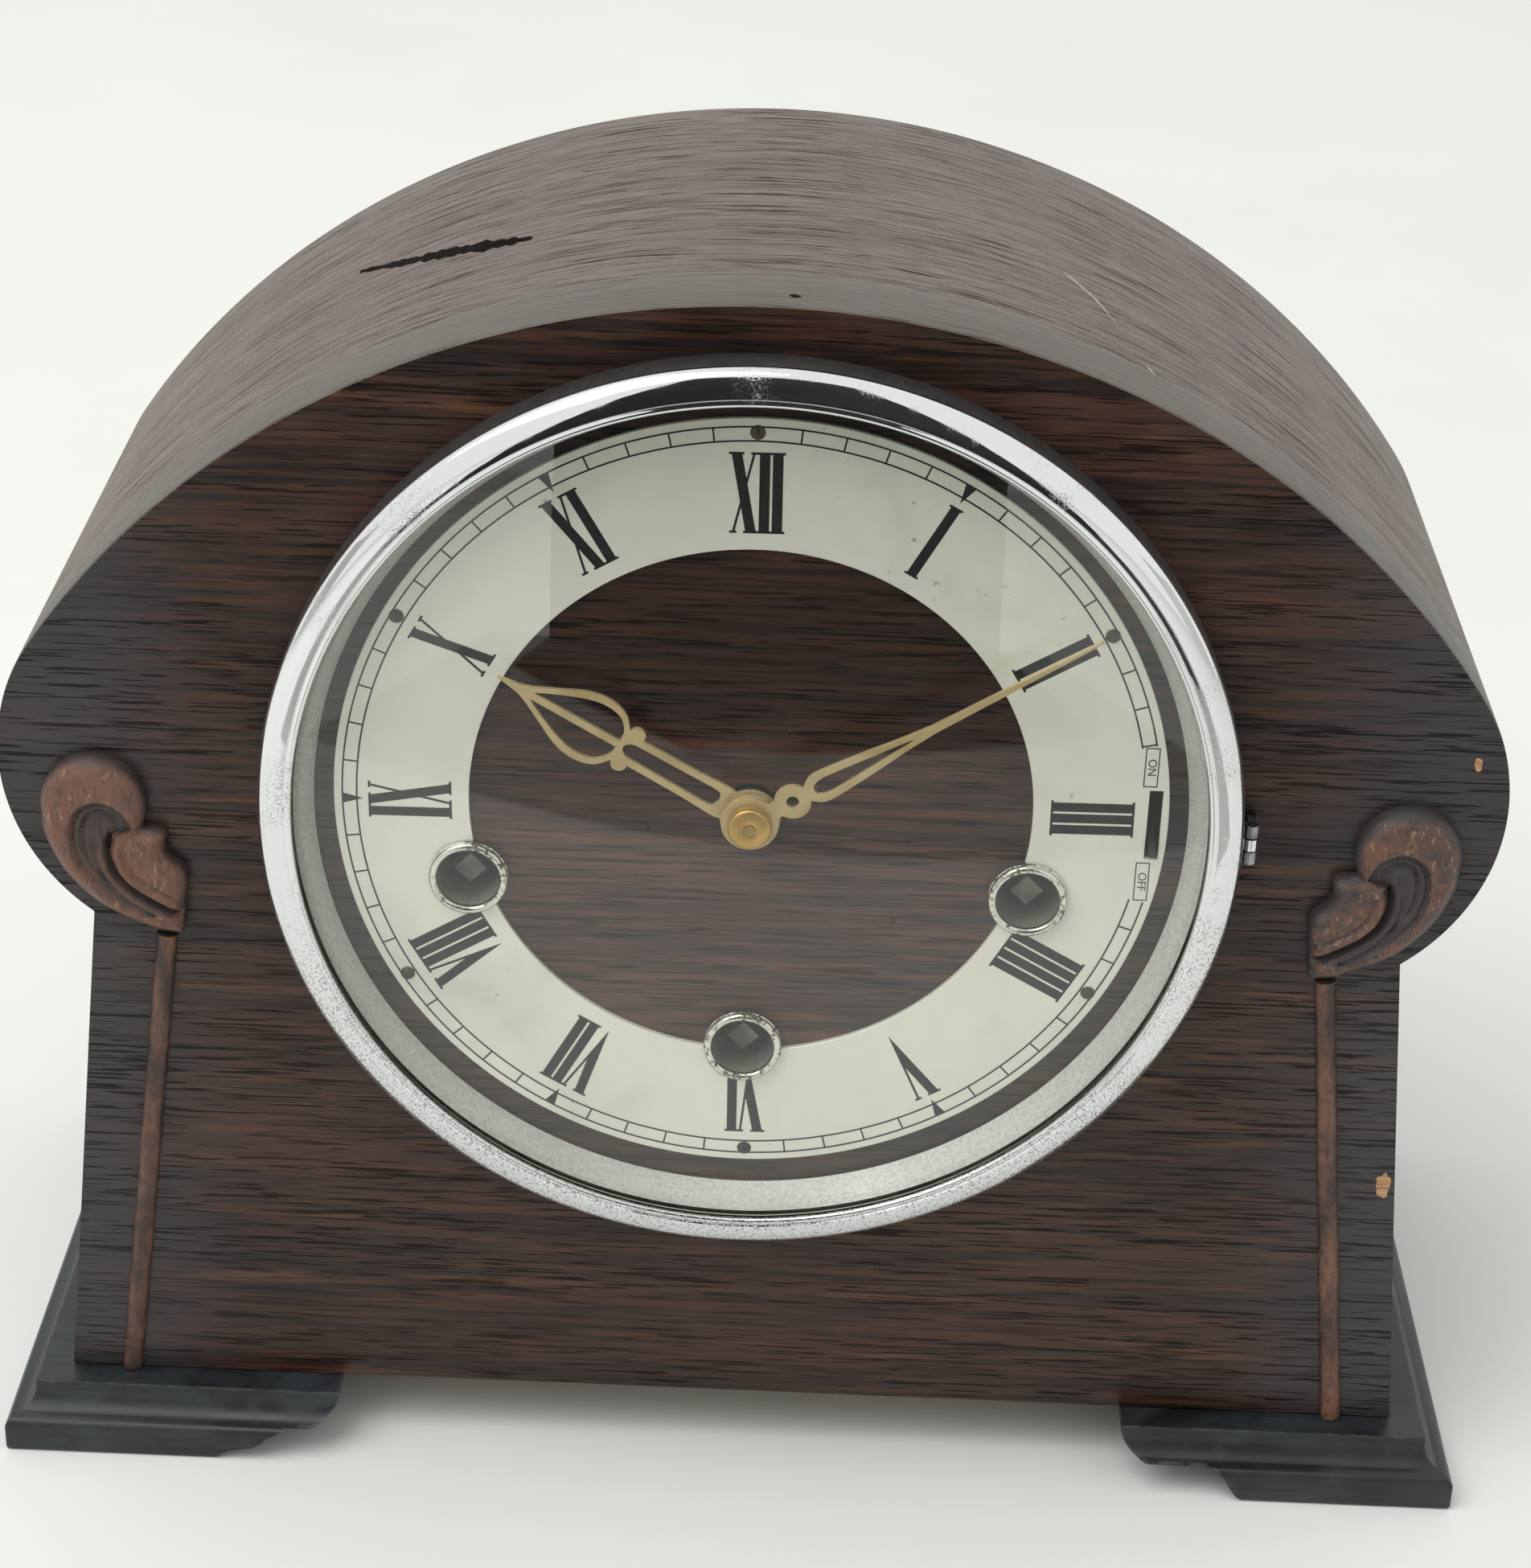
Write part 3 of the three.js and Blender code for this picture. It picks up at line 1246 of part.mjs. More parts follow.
// Pendulum: spring, rod, lens-shaped bob and threaded tail
function pendulum() {
  const half = BOB_THICK / 2;
  const rim = half / 4;
  const profile = [
    [0, PENDULUM_Y - half],
    [BOB_RADIUS * BOB_BULGE, PENDULUM_Y - half * BOB_BULGE],
    [BOB_RADIUS, PENDULUM_Y - rim],
    [BOB_RADIUS, PENDULUM_Y + rim],
    [BOB_RADIUS * BOB_BULGE, PENDULUM_Y + half * BOB_BULGE],
    [0, PENDULUM_Y + half],
  ];
  const spring = block(
    -SPRING_WIDE / 2,
    SPRING_WIDE / 2,
    PENDULUM_Y - ROD_RADIUS / 2,
    PENDULUM_Y + ROD_RADIUS / 2,
    PALLET.y - SPRING_UP,
    PALLET.y + SPRING_UP,
  );
  const rod = upright(0, PENDULUM_Y, ROD_RADIUS, TAIL_Z, PALLET.y - SPRING_UP / 2);
  return fuse(turned(BOB, profile, ROUND_STEPS), spring, rod);
}

// Nut under the bob that sets the rate
function ratingNut() {
  const top = BOB.y - BOB_RADIUS - GAP;
  const nut = upright(0, PENDULUM_Y, NUT_TURN_RADIUS, top - NUT_TURN_TALL, top);
  return carve(nut, upright(0, PENDULUM_Y, ROD_RADIUS + GAP, top - NUT_TURN_TALL - GAP, top + GAP));
}

// Bracket behind the back plate that the pendulum hangs from
function pendulumCock() {
  const low = PALLET.y + SPRING_UP + GAP;
  const front = PLATE_REAR + GAP;
  const half = COCK_WIDE / 2;
  const plate = block(-half, half, front, front + COCK_THICK, low, low + COCK_TALL);
  const arm = block(-half, half, front, PENDULUM_Y + COCK_THICK, low, low + COCK_THICK);
  return fuse(plate, arm);
}

// Wheel and pinion on the stud of the front plate
function minuteWheel() {
  const low = PLATE_FRONT - CANNON_LEVEL - WHEEL_THICK;
  const high = PLATE_FRONT - HOUR_LEVEL - WHEEL_THICK;
  const teeth = toothed(STUD, MINUTE_TEETH, CANNON_MODULE, spaceTowards(STUD, CENTRE, MINUTE_TEETH));
  const leaves = toothed(STUD, MINUTE_LEAVES, HOUR_MODULE, toothTowards(STUD, CENTRE));
  const bore = shaft(STUD, STUD_RADIUS + GAP, high - GAP, low + WHEEL_THICK + GAP);
  return carve(fuse(slab(teeth, low, low + WHEEL_THICK), slab(leaves, high, low + GAP)), bore);
}

// Hour wheel with the pipe that carries the hour hand
function hourWheel() {
  const level = PLATE_FRONT - HOUR_LEVEL - WHEEL_THICK;
  const teeth = toothed(CENTRE, HOUR_TEETH, HOUR_MODULE, spaceTowards(CENTRE, STUD, HOUR_TEETH));
  const pipe = shaft(CENTRE, PIPE_RADIUS, -HOUR_FRONT, level + GAP, ROUND_STEPS);
  const bore = shaft(CENTRE, CENTRE_RADIUS + RUN, -HOUR_FRONT - GAP, level + WHEEL_THICK + GAP, ROUND_STEPS);
  return carve(fuse(slab(teeth, level, level + WHEEL_THICK), pipe), bore);
}

// Depth of one hammer's middle
function hammerY(row) {
  return PLATE_REAR + HAMMER_FIRST + row * HAMMER_PITCH;
}

const BRACKET_Y = PLATE_REAR + BRACKET_LEVEL;

// Chime drum with rows of pins, driven by the chime great wheel
function chimeDrum() {
  const great = BACK_PLATE - GREAT_LEVEL;
  const leaves = toothed(DRUM, DRUM_LEAVES, GREAT_MODULE, spaceTowards(DRUM, CHIME, DRUM_LEAVES));
  const pins = [];
  for (let row = 0; row < HAMMER_COUNT; row += 1) {
    for (let i = 0; i < PIN_COUNT; i += 1) {
      const turn = (2 * Math.PI * (i + row / HAMMER_COUNT)) / PIN_COUNT;
      const pin = new THREE.CylinderGeometry(DRUM_PIN_RADIUS, DRUM_PIN_RADIUS, 2 * DRUM_PIN, 4);
      pin.rotateZ(-Math.PI / 2);
      pin.translate(DRUM_RADIUS, 0, 0);
      pin.rotateY(-turn);
      pin.translate(DRUM.x, hammerY(row), DRUM.y);
      pins.push(pin);
    }
  }
  return fuse(
    slab(leaves, great - GAP, great + WHEEL_THICK + GAP),
    shaft(DRUM, DRUM_RADIUS, PLATE_REAR + DRUM_AIR, BRACKET_Y - DRUM_AIR, ROUND_STEPS),
    shaft(DRUM, FINE_RADIUS, PLATE_FRONT, BRACKET_Y + PLATE_THICK),
    ...pins,
  );
}

// One hammer: hub, arm, head over its rod and tail under the drum
function hammer(row) {
  const y = hammerY(row);
  const front = y - HAMMER_THICK / 2;
  const back = y + HAMMER_THICK / 2;
  const headLow = ROD_Z + ROD_DIA / 2 + HEAD_CLEAR;
  const towards = HAMMER.clone().sub(DRUM).normalize();
  const tail = DRUM.clone().add(towards.multiplyScalar(DRUM_RADIUS + DRUM_PIN + TAIL_CLEAR));
  const headTop = new THREE.Vector2(HEAD_X, headLow + HEAD_TALL);
  const parts = fuse(
    shaft(HAMMER, HAMMER_HUB, front, back),
    bar(HAMMER, headTop, HAMMER_ARM, front, back),
    bar(HAMMER, tail, HAMMER_ARM / 2, front, back),
    upright(HEAD_X, y, HEAD_RADIUS, headLow, headLow + HEAD_TALL, CURVE_STEPS),
  );
  return carve(parts, shaft(HAMMER, HAMMER_PIVOT + GAP, front - GAP, back + GAP));
}

// Bar the hammers turn on
function hammerArbor() {
  return shaft(HAMMER, HAMMER_PIVOT, PLATE_REAR + GAP, BRACKET_Y - GAP);
}

// Rear bracket that carries the drum and the hammer arbor
function chimeBracket() {
  const back = BRACKET_Y + PLATE_THICK;
  const arms = fuse(
    bar(HAMMER, DRUM, BRACKET_WIDE, BRACKET_Y, back),
    bar(DRUM, BRACKET_POST, BRACKET_WIDE, BRACKET_Y, back),
    shaft(DRUM, BRACKET_WIDE / 2, BRACKET_Y, back),
    shaft(HAMMER, BRACKET_WIDE / 2, BRACKET_Y, back),
    shaft(BRACKET_POST, PILLAR_RADIUS, PLATE_REAR + GAP, back),
  );
  return carve(arms, shaft(DRUM, FINE_RADIUS + GAP, BRACKET_Y - GAP, back + GAP));
}

// Iron block on the base board that holds the rods
function gongBlock() {
  const front = hammerY(0) - HAMMER_PITCH;
  const back = hammerY(HAMMER_COUNT - 1) + HAMMER_PITCH;
  const low = BASE_TOP + GAP;
  return block(BLOCK_X, BLOCK_X + BLOCK_WIDE, front, back, low, low + BLOCK_TALL);
}

// One chime rod, each a little shorter than the one in front
function chimeRod(row) {
  const long = ROD_LONG - row * ROD_STEP;
  const geometry = new THREE.CylinderGeometry(ROD_DIA / 2, ROD_DIA / 2, long, CURVE_STEPS);
  geometry.rotateZ(Math.PI / 2);
  geometry.translate(BLOCK_X - GAP - long / 2, hammerY(row), ROD_Z);
  return geometry;
}

// Wooden case with its feet and carvings
function caseGroup() {
  const group = new THREE.Group();
  group.name = 'case';
  const side = rightSide();
  const foot = rightFoot();
  const scroll = rightScroll();
  const bead = rightBead();
  group.add(
    piece('front_panel', frontPanel(), 'oak'),
    piece('top_wrap', topWrap(), 'wrap'),
    piece('right_side', side, 'wrap'),
    piece('left_side', mirrored(side), 'wrap'),
    piece('base_board', baseBoard(), 'inside'),
    piece('back_panel', backPanel(), 'inside'),
    piece('right_foot', foot, 'ebonised'),
    piece('left_foot', mirrored(foot), 'ebonised'),
    piece('right_scroll', scroll, 'carved'),
    piece('left_scroll', mirrored(scroll), 'carved'),
    piece('right_bead', bead, 'oak'),
    piece('left_bead', mirrored(bead), 'oak'),
    piece('back_hinge', backHinge(), 'brass'),
    piece('back_door', backDoor(), 'inside'),
    piece('door_leaf', doorLeaf(), 'brass'),
    piece('door_catch', doorCatch(), 'brass'),
  );
  return group;
}

// Dial on the front panel, the glazed door and the hands
function dialGroup() {
  const group = new THREE.Group();
  group.name = 'dial';
  group.add(
    piece('chapter_ring', chapterRing(), 'silver'),
    piece('left_collet', collet(STRIKE), 'chrome'),
    piece('lower_collet', collet(TIME), 'chrome'),
    piece('right_collet', collet(CHIME), 'chrome'),
    piece('chime_lever', chimeLever(), 'iron'),
    piece('bezel_ring', bezelRing(), 'chrome'),
    piece('sight_ring', sightRing(), 'silver'),
    piece('bezel_glass', bezelGlass(), 'glass'),
    piece('bezel_hinge_leaf', bezelHingeLeaf(), 'chrome'),
    piece('bezel_hinge_pin', bezelHingePin(), 'steel'),
    piece('hour_hand', hourHand(), 'brass'),
    piece('minute_hand', minuteHand(), 'brass'),
    piece('hand_nut', handNut(), 'brass'),
  );
  return group;
}

// Plates, going train, motion work and pendulum
function goingGroup() {
  const group = new THREE.Group();
  group.name = 'going_train';
  group.add(
    piece('front_plate', frontPlate(), 'brass'),
    piece('back_plate', backPlate(), 'brass'),
    piece('time_barrel', barrel(TIME, toothTowards(TIME, INTER)), 'brass'),
    piece('time_arbor', windingArbor(TIME), 'steel'),
    piece('intermediate_wheel', intermediateWheel(), 'brass'),
    piece('centre_wheel', centreWheel(), 'brass'),
    piece('third_wheel', thirdWheel(), 'brass'),
    piece('escape_wheel', escapeWheel(), 'brass'),
    piece('pallets', pallets(), 'steel'),
    piece('pendulum', pendulum(), 'brass'),
    piece('rating_nut', ratingNut(), 'brass'),
    piece('pendulum_cock', pendulumCock(), 'brass'),
    piece('minute_wheel', minuteWheel(), 'brass'),
    piece('hour_wheel', hourWheel(), 'brass'),
  );
  return group;
}

// Strike barrel, chime barrel, drum, hammers and rods
function chimeGroup() {
  const group = new THREE.Group();
  group.name = 'strike_and_chime';
  group.add(
    piece('strike_barrel', barrel(STRIKE, 0), 'brass'),
    piece('strike_arbor', windingArbor(STRIKE), 'steel'),
    piece('chime_barrel', barrel(CHIME, toothTowards(CHIME, DRUM)), 'brass'),
    piece('chime_arbor', windingArbor(CHIME), 'steel'),
    piece('chime_drum', chimeDrum(), 'brass'),
    piece('hammer_arbor', hammerArbor(), 'steel'),
    piece('chime_bracket', chimeBracket(), 'brass'),
    piece('gong_block', gongBlock(), 'iron'),
  );
  for (let row = 0; row < HAMMER_COUNT; row += 1) {
    group.add(piece(`hammer_${row + 1}`, hammer(row), 'steel'));
    group.add(piece(`chime_rod_${row + 1}`, chimeRod(row), 'steel'));
  }
  return group;
}

const clock = new THREE.Group();
clock.name = 'mantel_clock';
clock.add(caseGroup(), dialGroup(), goingGroup(), chimeGroup());
clock.position.set(0, -MID_DEPTH, 0);

export default clock;
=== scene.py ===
"""Looks of an oak mantel clock with an arched top, a glazed front door and three wound trains.

Sizes are millimetres from the dial centre: x to the viewer's right, y behind the face of the
front panel, z up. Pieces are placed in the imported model's frame, in metres.
"""

import logging
import math
from dataclasses import dataclass, replace
from enum import Enum
from functools import cache, cached_property
from typing import Callable, Protocol, Sequence

import bmesh
import bpy
from mathutils import Matrix, Vector, noise
from mathutils.geometry import delaunay_2d_cdt


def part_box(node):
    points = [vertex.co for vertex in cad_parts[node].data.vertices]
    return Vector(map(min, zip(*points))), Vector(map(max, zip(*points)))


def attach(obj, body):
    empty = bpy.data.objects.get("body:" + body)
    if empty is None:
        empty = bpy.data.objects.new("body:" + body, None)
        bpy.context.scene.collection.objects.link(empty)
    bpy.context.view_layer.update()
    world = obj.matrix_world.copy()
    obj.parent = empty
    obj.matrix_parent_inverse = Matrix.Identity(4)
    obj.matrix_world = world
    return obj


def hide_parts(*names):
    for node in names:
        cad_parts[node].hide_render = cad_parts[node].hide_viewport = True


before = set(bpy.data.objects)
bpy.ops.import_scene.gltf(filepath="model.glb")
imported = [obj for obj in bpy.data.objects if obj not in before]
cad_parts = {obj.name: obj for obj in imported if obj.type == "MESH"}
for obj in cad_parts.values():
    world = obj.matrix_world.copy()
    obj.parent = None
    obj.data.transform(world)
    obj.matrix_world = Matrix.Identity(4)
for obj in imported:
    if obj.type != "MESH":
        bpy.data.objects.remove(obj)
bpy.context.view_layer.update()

log = logging.getLogger("clock")

MM = 0.001
TURN = 2 * math.pi
RIGHT_ANGLE = math.pi / 2
PANEL_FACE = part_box("front_panel")[0].y
DIAL_HEIGHT = sum(corner.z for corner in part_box("chapter_ring")) / 2
ORIGIN = Vector((0.0, PANEL_FACE, DIAL_HEIGHT))

# Room between two pieces, and the angles in degrees from which an edge counts as sharp
GAP = 0.3
CREASE = 35.0
TURNED_CREASE = 40.0
RING_CREASE = 50.0

# Lengths below which two points are one: in a sheet, on a lathe's axis, in a finished mesh
SAME_SPOT = 1e-5
ON_AXIS = 1e-6
WELD = 1e-7

Flat = tuple[float, float]
Marks = tuple[Flat, ...]
Outline = list[Flat]
Triangle = tuple[int, int, int]
Triple = tuple[float, float, float]
Colour = Triple
Socket = bpy.types.NodeSocket
Value = Socket | float


class Grain(Enum):
    """Axes that run along, across and through the grain; bent wood keeps its own in a layer."""

    ACROSS = "XZY"
    UPRIGHT = "ZYX"
    BENT = "grain"


class Letter(Enum):
    """The three letters that make up the numerals."""

    ONE = "I"
    FIVE = "V"
    TEN = "X"


class Side(Enum):
    """The two sides of the clock, as the sign of x."""

    LEFT = -1
    RIGHT = 1

    @property
    def word(self) -> str:
        """Word that starts the names of this side's pieces."""
        return self.name.lower()


# Shapes in the dial's plane


def arc(x: float, z: float, radius: float, start: float, end: float, steps: int) -> Outline:
    """Points along an arc.

    Args:
        x, z: centre of the arc.
        radius: radius of the arc.
        start, end: angles in radians from the x axis.
        steps: number of straight steps.

    Returns:
        The points, both ends included.
    """
    turn = (end - start) / steps
    return [
        (x + radius * math.cos(start + turn * i), z + radius * math.sin(start + turn * i))
        for i in range(steps + 1)
    ]


def circle(x: float, z: float, radius: float, steps: int = 48) -> Outline:
    """A full circle as a closed outline."""
    return arc(x, z, radius, 0.0, TURN, steps)[:-1]


def rectangle(x0: float, x1: float, z0: float, z1: float) -> Outline:
    """A rectangle as a closed outline."""
    return [(x0, z0), (x1, z0), (x1, z1), (x0, z1)]


def turned(outline: Outline, degrees: float) -> Outline:
    """An outline turned clockwise about the dial centre, as a hand turns."""
    c, s = math.cos(math.radians(degrees)), math.sin(math.radians(degrees))
    return [(x * c + z * s, z * c - x * s) for x, z in outline]


def smooth_line(marks: Sequence[Flat], steps: int = 8) -> Outline:
    """A curve that passes smoothly through its marks.

    Args:
        marks: points that the curve passes through.
        steps: points made between two marks.

    Returns:
        Points along the curve.
    """
    ends = [marks[0], *marks, marks[-1]]
    line: Outline = []
    for a, b, c, d in zip(ends, ends[1:], ends[2:], ends[3:]):
        for i in range(steps):
            t = i / steps
            line.append(tuple(
                0.5 * (2 * q + (r - p) * t + (2 * p - 5 * q + 4 * r - s) * t * t
                       + (3 * q - p - 3 * r + s) * t ** 3)
                for p, q, r, s in zip(a, b, c, d)
            ))
    line.append(marks[-1])
    return line


def inside(point: Flat, outline: Outline) -> bool:
    """Whether a point lies within a closed outline.

    Args:
        point: the point.
        outline: the closed outline.

    Returns:
        True if the point is inside.
    """
    x, z = point
    within = False
    for (xa, za), (xb, zb) in zip(outline, outline[1:] + outline[:1]):
        if (za > z) != (zb > z) and x < (xb - xa) * (z - za) / (zb - za) + xa:
            within = not within
    return within


def nearest(point: Flat, line: Outline) -> Flat:
    """How far a point lies from a line.

    Args:
        point: the point.
        line: points along the line.

    Returns:
        The distance, and the share of the line's steps at the nearest place.
    """
    best, share = math.inf, 0.0
    for i, (a, b) in enumerate(zip(line, line[1:])):
        dx, dz = b[0] - a[0], b[1] - a[1]
        square = max(dx * dx + dz * dz, ON_AXIS ** 2)
        along = ((point[0] - a[0]) * dx + (point[1] - a[1]) * dz) / square
        along = min(max(along, 0.0), 1.0)
        far = math.hypot(a[0] + along * dx - point[0], a[1] + along * dz - point[1])
        if far < best:
            best, share = far, (i + along) / (len(line) - 1)
    return best, share


def ridge(off: float, at: float, width: float) -> float:
    """Height of a soft ridge, seen at a distance off it."""
    return math.exp(-(((off - at) / width) ** 2))


def ease(low: float, high: float, value: float) -> float:
    """Smooth step from 0 at low to 1 at high."""
    t = min(max((value - low) / (high - low), 0.0), 1.0)
    return t * t * (3 - 2 * t)


def cut_out(
    shapes: Sequence[Outline], holes: Sequence[Outline] = (), seeds: Sequence[Flat] = ()
) -> tuple[Outline, list[Triangle]]:
    """Cuts one sheet from overlapping shapes, with holes taken out.

    Args:
        shapes: closed outlines that are joined.
        holes: closed outlines that are taken out.
        seeds: further points inside, where the sheet will be shaped.

    Returns:
        Points of the sheet, and triangles between them.
    """
    points: Outline = []
    edges: list[tuple[int, int]] = []
    for loop in (*shapes, *holes):
        start = len(points)
        points += loop
        edges += [(start + i, start + (i + 1) % len(loop)) for i in range(len(loop))]
    points += seeds
    made = delaunay_2d_cdt([Vector(p) for p in points], edges, [], 0, SAME_SPOT)
    spots = [(p.x, p.y) for p in made[0]]
    kept = []
    for face in made[2]:
        middle = tuple(sum(spots[i][k] for i in face) / len(face) for k in (0, 1))
        if any(inside(middle, s) for s in shapes) and not any(inside(middle, h) for h in holes):
            kept.append(tuple(face))
    used = sorted({i for face in kept for i in face})
    place = {old: new for new, old in enumerate(used)}
    return [spots[i] for i in used], [tuple(place[i] for i in face) for face in kept]


# Meshes


class Blank:
    """A piece being shaped, in millimetres from the dial centre."""

    def __init__(self) -> None:
        """Starts with nothing."""
        self.points: list[Triple] = []
        self.faces: list[tuple[int, ...]] = []
        self.grain: list[Flat] = []
        self.tone: list[float] = []

    def add(self, x: float, y: float, z: float, grain: Flat = (0, 0), tone: float = 0.0) -> int:
        """Adds a point.

        Args:
            x, y, z: place of the point.
            grain: way along and across the grain, in metres.
            tone: how much the place is rubbed, from 0 to 1.

        Returns:
            The number of the point.
        """
        self.points.append((x, y, z))
        self.grain.append(grain)
        self.tone.append(tone)
        return len(self.points) - 1

    def skin(self, first: Sequence[int], second: Sequence[int]) -> None:
        """Joins two closed rows of points by faces.

        Args:
            first, second: numbers of the points in each row.
        """
        for i in range(len(first)):
            k = (i + 1) % len(first)
            self.faces.append((first[i], first[k], second[k], second[i]))

    def tube(self, rows: Sequence[Sequence[int]]) -> "Blank":
        """Joins closed rows of points one after another, and closes both ends.

        Args:
            rows: numbers of the points in each row.

        Returns:
            This blank.
        """
        for first, second in zip(rows, rows[1:]):
            self.skin(first, second)
        self.faces += [tuple(rows[0]), tuple(rows[-1])]
        return self

    def sheet(
        self, near: Sequence[int], far: Sequence[int], triangles: Sequence[Triangle]
    ) -> "Blank":
        """Joins the two faces of a sheet round their rims.

        Args:
            near, far: numbers of the points of the two faces, in the same order.
            triangles: triangles between the points of one face.

        Returns:
            This blank.
        """
        rim: dict[frozenset[int], tuple[int, int]] = {}
        for face in triangles:
            self.faces.append(tuple(near[i] for i in face))
            self.faces.append(tuple(far[i] for i in reversed(face)))
            for a, b in zip(face, face[1:] + face[:1]):
                edge = frozenset((a, b))
                if rim.pop(edge, None) is None:
                    rim[edge] = (a, b)
        for a, b in rim.values():
            self.faces.append((near[b], near[a], far[a], far[b]))
        return self

    def slab(
        self, shapes: Sequence[Outline], front: float, back: float, holes: Sequence[Outline] = ()
    ) -> "Blank":
        """A flat sheet of even thickness.

        Args:
            shapes: closed outlines that are joined.
            front, back: depths of the two faces.
            holes: closed outlines that are taken out.

        Returns:
            This blank.
        """
        spots, triangles = cut_out(shapes, holes)
        near = [self.add(x, front, z) for x, z in spots]
        far = [self.add(x, back, z) for x, z in spots]
        return self.sheet(near, far, triangles)

    def lathe(
        self, profile: Outline, x: float = 0.0, z: float = 0.0, steps: int = 160
    ) -> "Blank":
        """A piece turned on a front-to-back axis.

        Args:
            profile: radius and depth along the closed profile; a radius of 0 is on the axis.
            x, z: place of the axis.
            steps: steps round the axis.

        Returns:
            This blank.
        """
        rows = []
        for radius, depth in profile:
            if radius < ON_AXIS:
                rows.append([self.add(x, depth, z)])
                continue
            rows.append([
                self.add(x + px, depth, z + pz) for px, pz in circle(0, 0, radius, steps)
            ])
        for first, second in zip(rows, rows[1:] + rows[:1]):
            if len(first) == 1 and len(second) == 1:
                continue
            if len(first) == 1 or len(second) == 1:
                tip, rim = (first, second) if len(first) == 1 else (second, first)
                for i in range(steps):
                    self.faces.append((tip[0], rim[i], rim[(i + 1) % steps]))
                continue
            self.skin(first, second)
        return self

    def bar(self, spine: Sequence[Vector], section: Callable[[float], Outline]) -> "Blank":
        """A section carried along a spine in the dial's plane.

        Args:
            spine: points of the spine.
            section: offsets across and towards the viewer at a share of the way.

        Returns:
            This blank.
        """
        rows = []
        for i, spot in enumerate(spine):
            share = i / (len(spine) - 1)
            way = (spine[min(i + 1, len(spine) - 1)] - spine[max(i - 1, 0)]).normalized()
            across = Vector((way.z, 0.0, -way.x))
            run = (spot - spine[0]).length * MM
            rows.append([
                self.add(*(spot + across * a + Vector((0, -p, 0))), grain=(run, (a + p) * MM))
                for a, p in section(share)
            ])
        return self.tube(rows)

    def fit(
        self,
        name: str,
        finish: "Finish",
        body: str,
        replaces: Sequence[str] = (),
        round_over: float = 0.0,
        crease: float = CREASE,
        cutters: Sequence["Blank"] = (),
    ) -> None:
        """Sets the finished piece in place on its body.

        Args:
            name: name of the piece.
            finish: finish that dresses it.
            body: body that it rides on.
            replaces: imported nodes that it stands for.
            round_over: width by which sharp edges are rounded.
            crease: edges sharper than this angle, in degrees, stay crisp.
            cutters: blanks that are cut away from it.
        """
        mesh = self.mesh(name)
        for cutter in cutters:
            mesh = cut_away(mesh, cutter.mesh(name + "_cutter"))
        piece = bpy.data.objects.new(name, mesh)
        set_out(piece)
        mesh.materials.append(dressed(finish))
        if round_over:
            soften(piece, round_over, crease)
        mesh.shade_smooth()
        mesh.set_sharp_from_angle(angle=math.radians(crease))
        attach(piece, body)
        if replaces:
            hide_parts(*replaces)
        log.info("%s: %d faces on %s", name, len(mesh.polygons), body)

    def mesh(self, name: str) -> bpy.types.Mesh:
        """The blank as a closed mesh in the frame, with its grain and tone.

        Args:
            name: name of the mesh.

        Returns:
            The mesh.
        """
        mesh = bpy.data.meshes.new(name)
        mesh.from_pydata([ORIGIN + Vector(p) * MM for p in self.points], [], self.faces)
        for label, kind, values in (
            ("grain", "FLOAT_VECTOR", [v for u in self.grain for v in (*u, 0.0)]),
            ("tone", "FLOAT", self.tone),
        ):
            layer = mesh.attributes.new(label, kind, "POINT")
            layer.data.foreach_set("vector" if kind == "FLOAT_VECTOR" else "value", values)
        work = bmesh.new()
        work.from_mesh(mesh)
        bmesh.ops.remove_doubles(work, verts=work.verts, dist=WELD)
        bmesh.ops.recalc_face_normals(work, faces=work.faces)
        work.to_mesh(mesh)
        work.free()
        return mesh


def set_out(thing: bpy.types.Object) -> None:
    """Puts an object in the scene."""
    bpy.context.scene.collection.objects.link(thing)


def cut_away(mesh: bpy.types.Mesh, tool: bpy.types.Mesh) -> bpy.types.Mesh:
    """Cuts one closed mesh from another.

    Args:
        mesh: the mesh that is kept.
        tool: the mesh that is taken away.

    Returns:
        The cut mesh.
    """
    kept, taken = (bpy.data.objects.new(m.name, m) for m in (mesh, tool))
    for thing in (kept, taken):
        set_out(thing)
    cut = kept.modifiers.new("cut", "BOOLEAN")
    cut.object = taken
    cut.operation = "DIFFERENCE"
    cut.solver = "EXACT"
    scene = bpy.context.evaluated_depsgraph_get()
    made = bpy.data.meshes.new_from_object(kept.evaluated_get(scene))
    for thing in (kept, taken):
        bpy.data.objects.remove(thing)
    made.name = mesh.name
    return made


def soften(piece: bpy.types.Object, width: float, crease: float = CREASE) -> None:
    """Rounds the sharp edges of a piece.

    Args:
        piece: the piece.
        width: width of the rounding in millimetres.
        crease: edges sharper than this angle, in degrees, are rounded.
    """
    rounding = piece.modifiers.new("rounded_edges", "BEVEL")
    rounding.width = width * MM
    rounding.segments = 2
    rounding.limit_method = "ANGLE"
    rounding.angle_limit = math.radians(crease)
    rounding.harden_normals = False


def dress(node: str, finish: "Finish", round_over: float = 0.0) -> None:
    """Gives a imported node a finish, and rounds its edges if asked.

    Args:
        node: name of the node.
        finish: finish that dresses it.
        round_over: width in millimetres by which sharp edges are rounded.
    """
    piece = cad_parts[node]
    piece.data.materials.clear()
    piece.data.materials.append(dressed(finish))
    if round_over:
        soften(piece, round_over)
    log.info("%s: packed node in %s", node, type(finish).__name__)


# Finishes


@dataclass(frozen=True)
class Cloud:
    """Cloudy variation: clouds per metre along three axes, octaves, their strength, stirring."""

    scale: Triple
    detail: float = 3.0
    rough: float = 0.5
    warp: float = 0.0


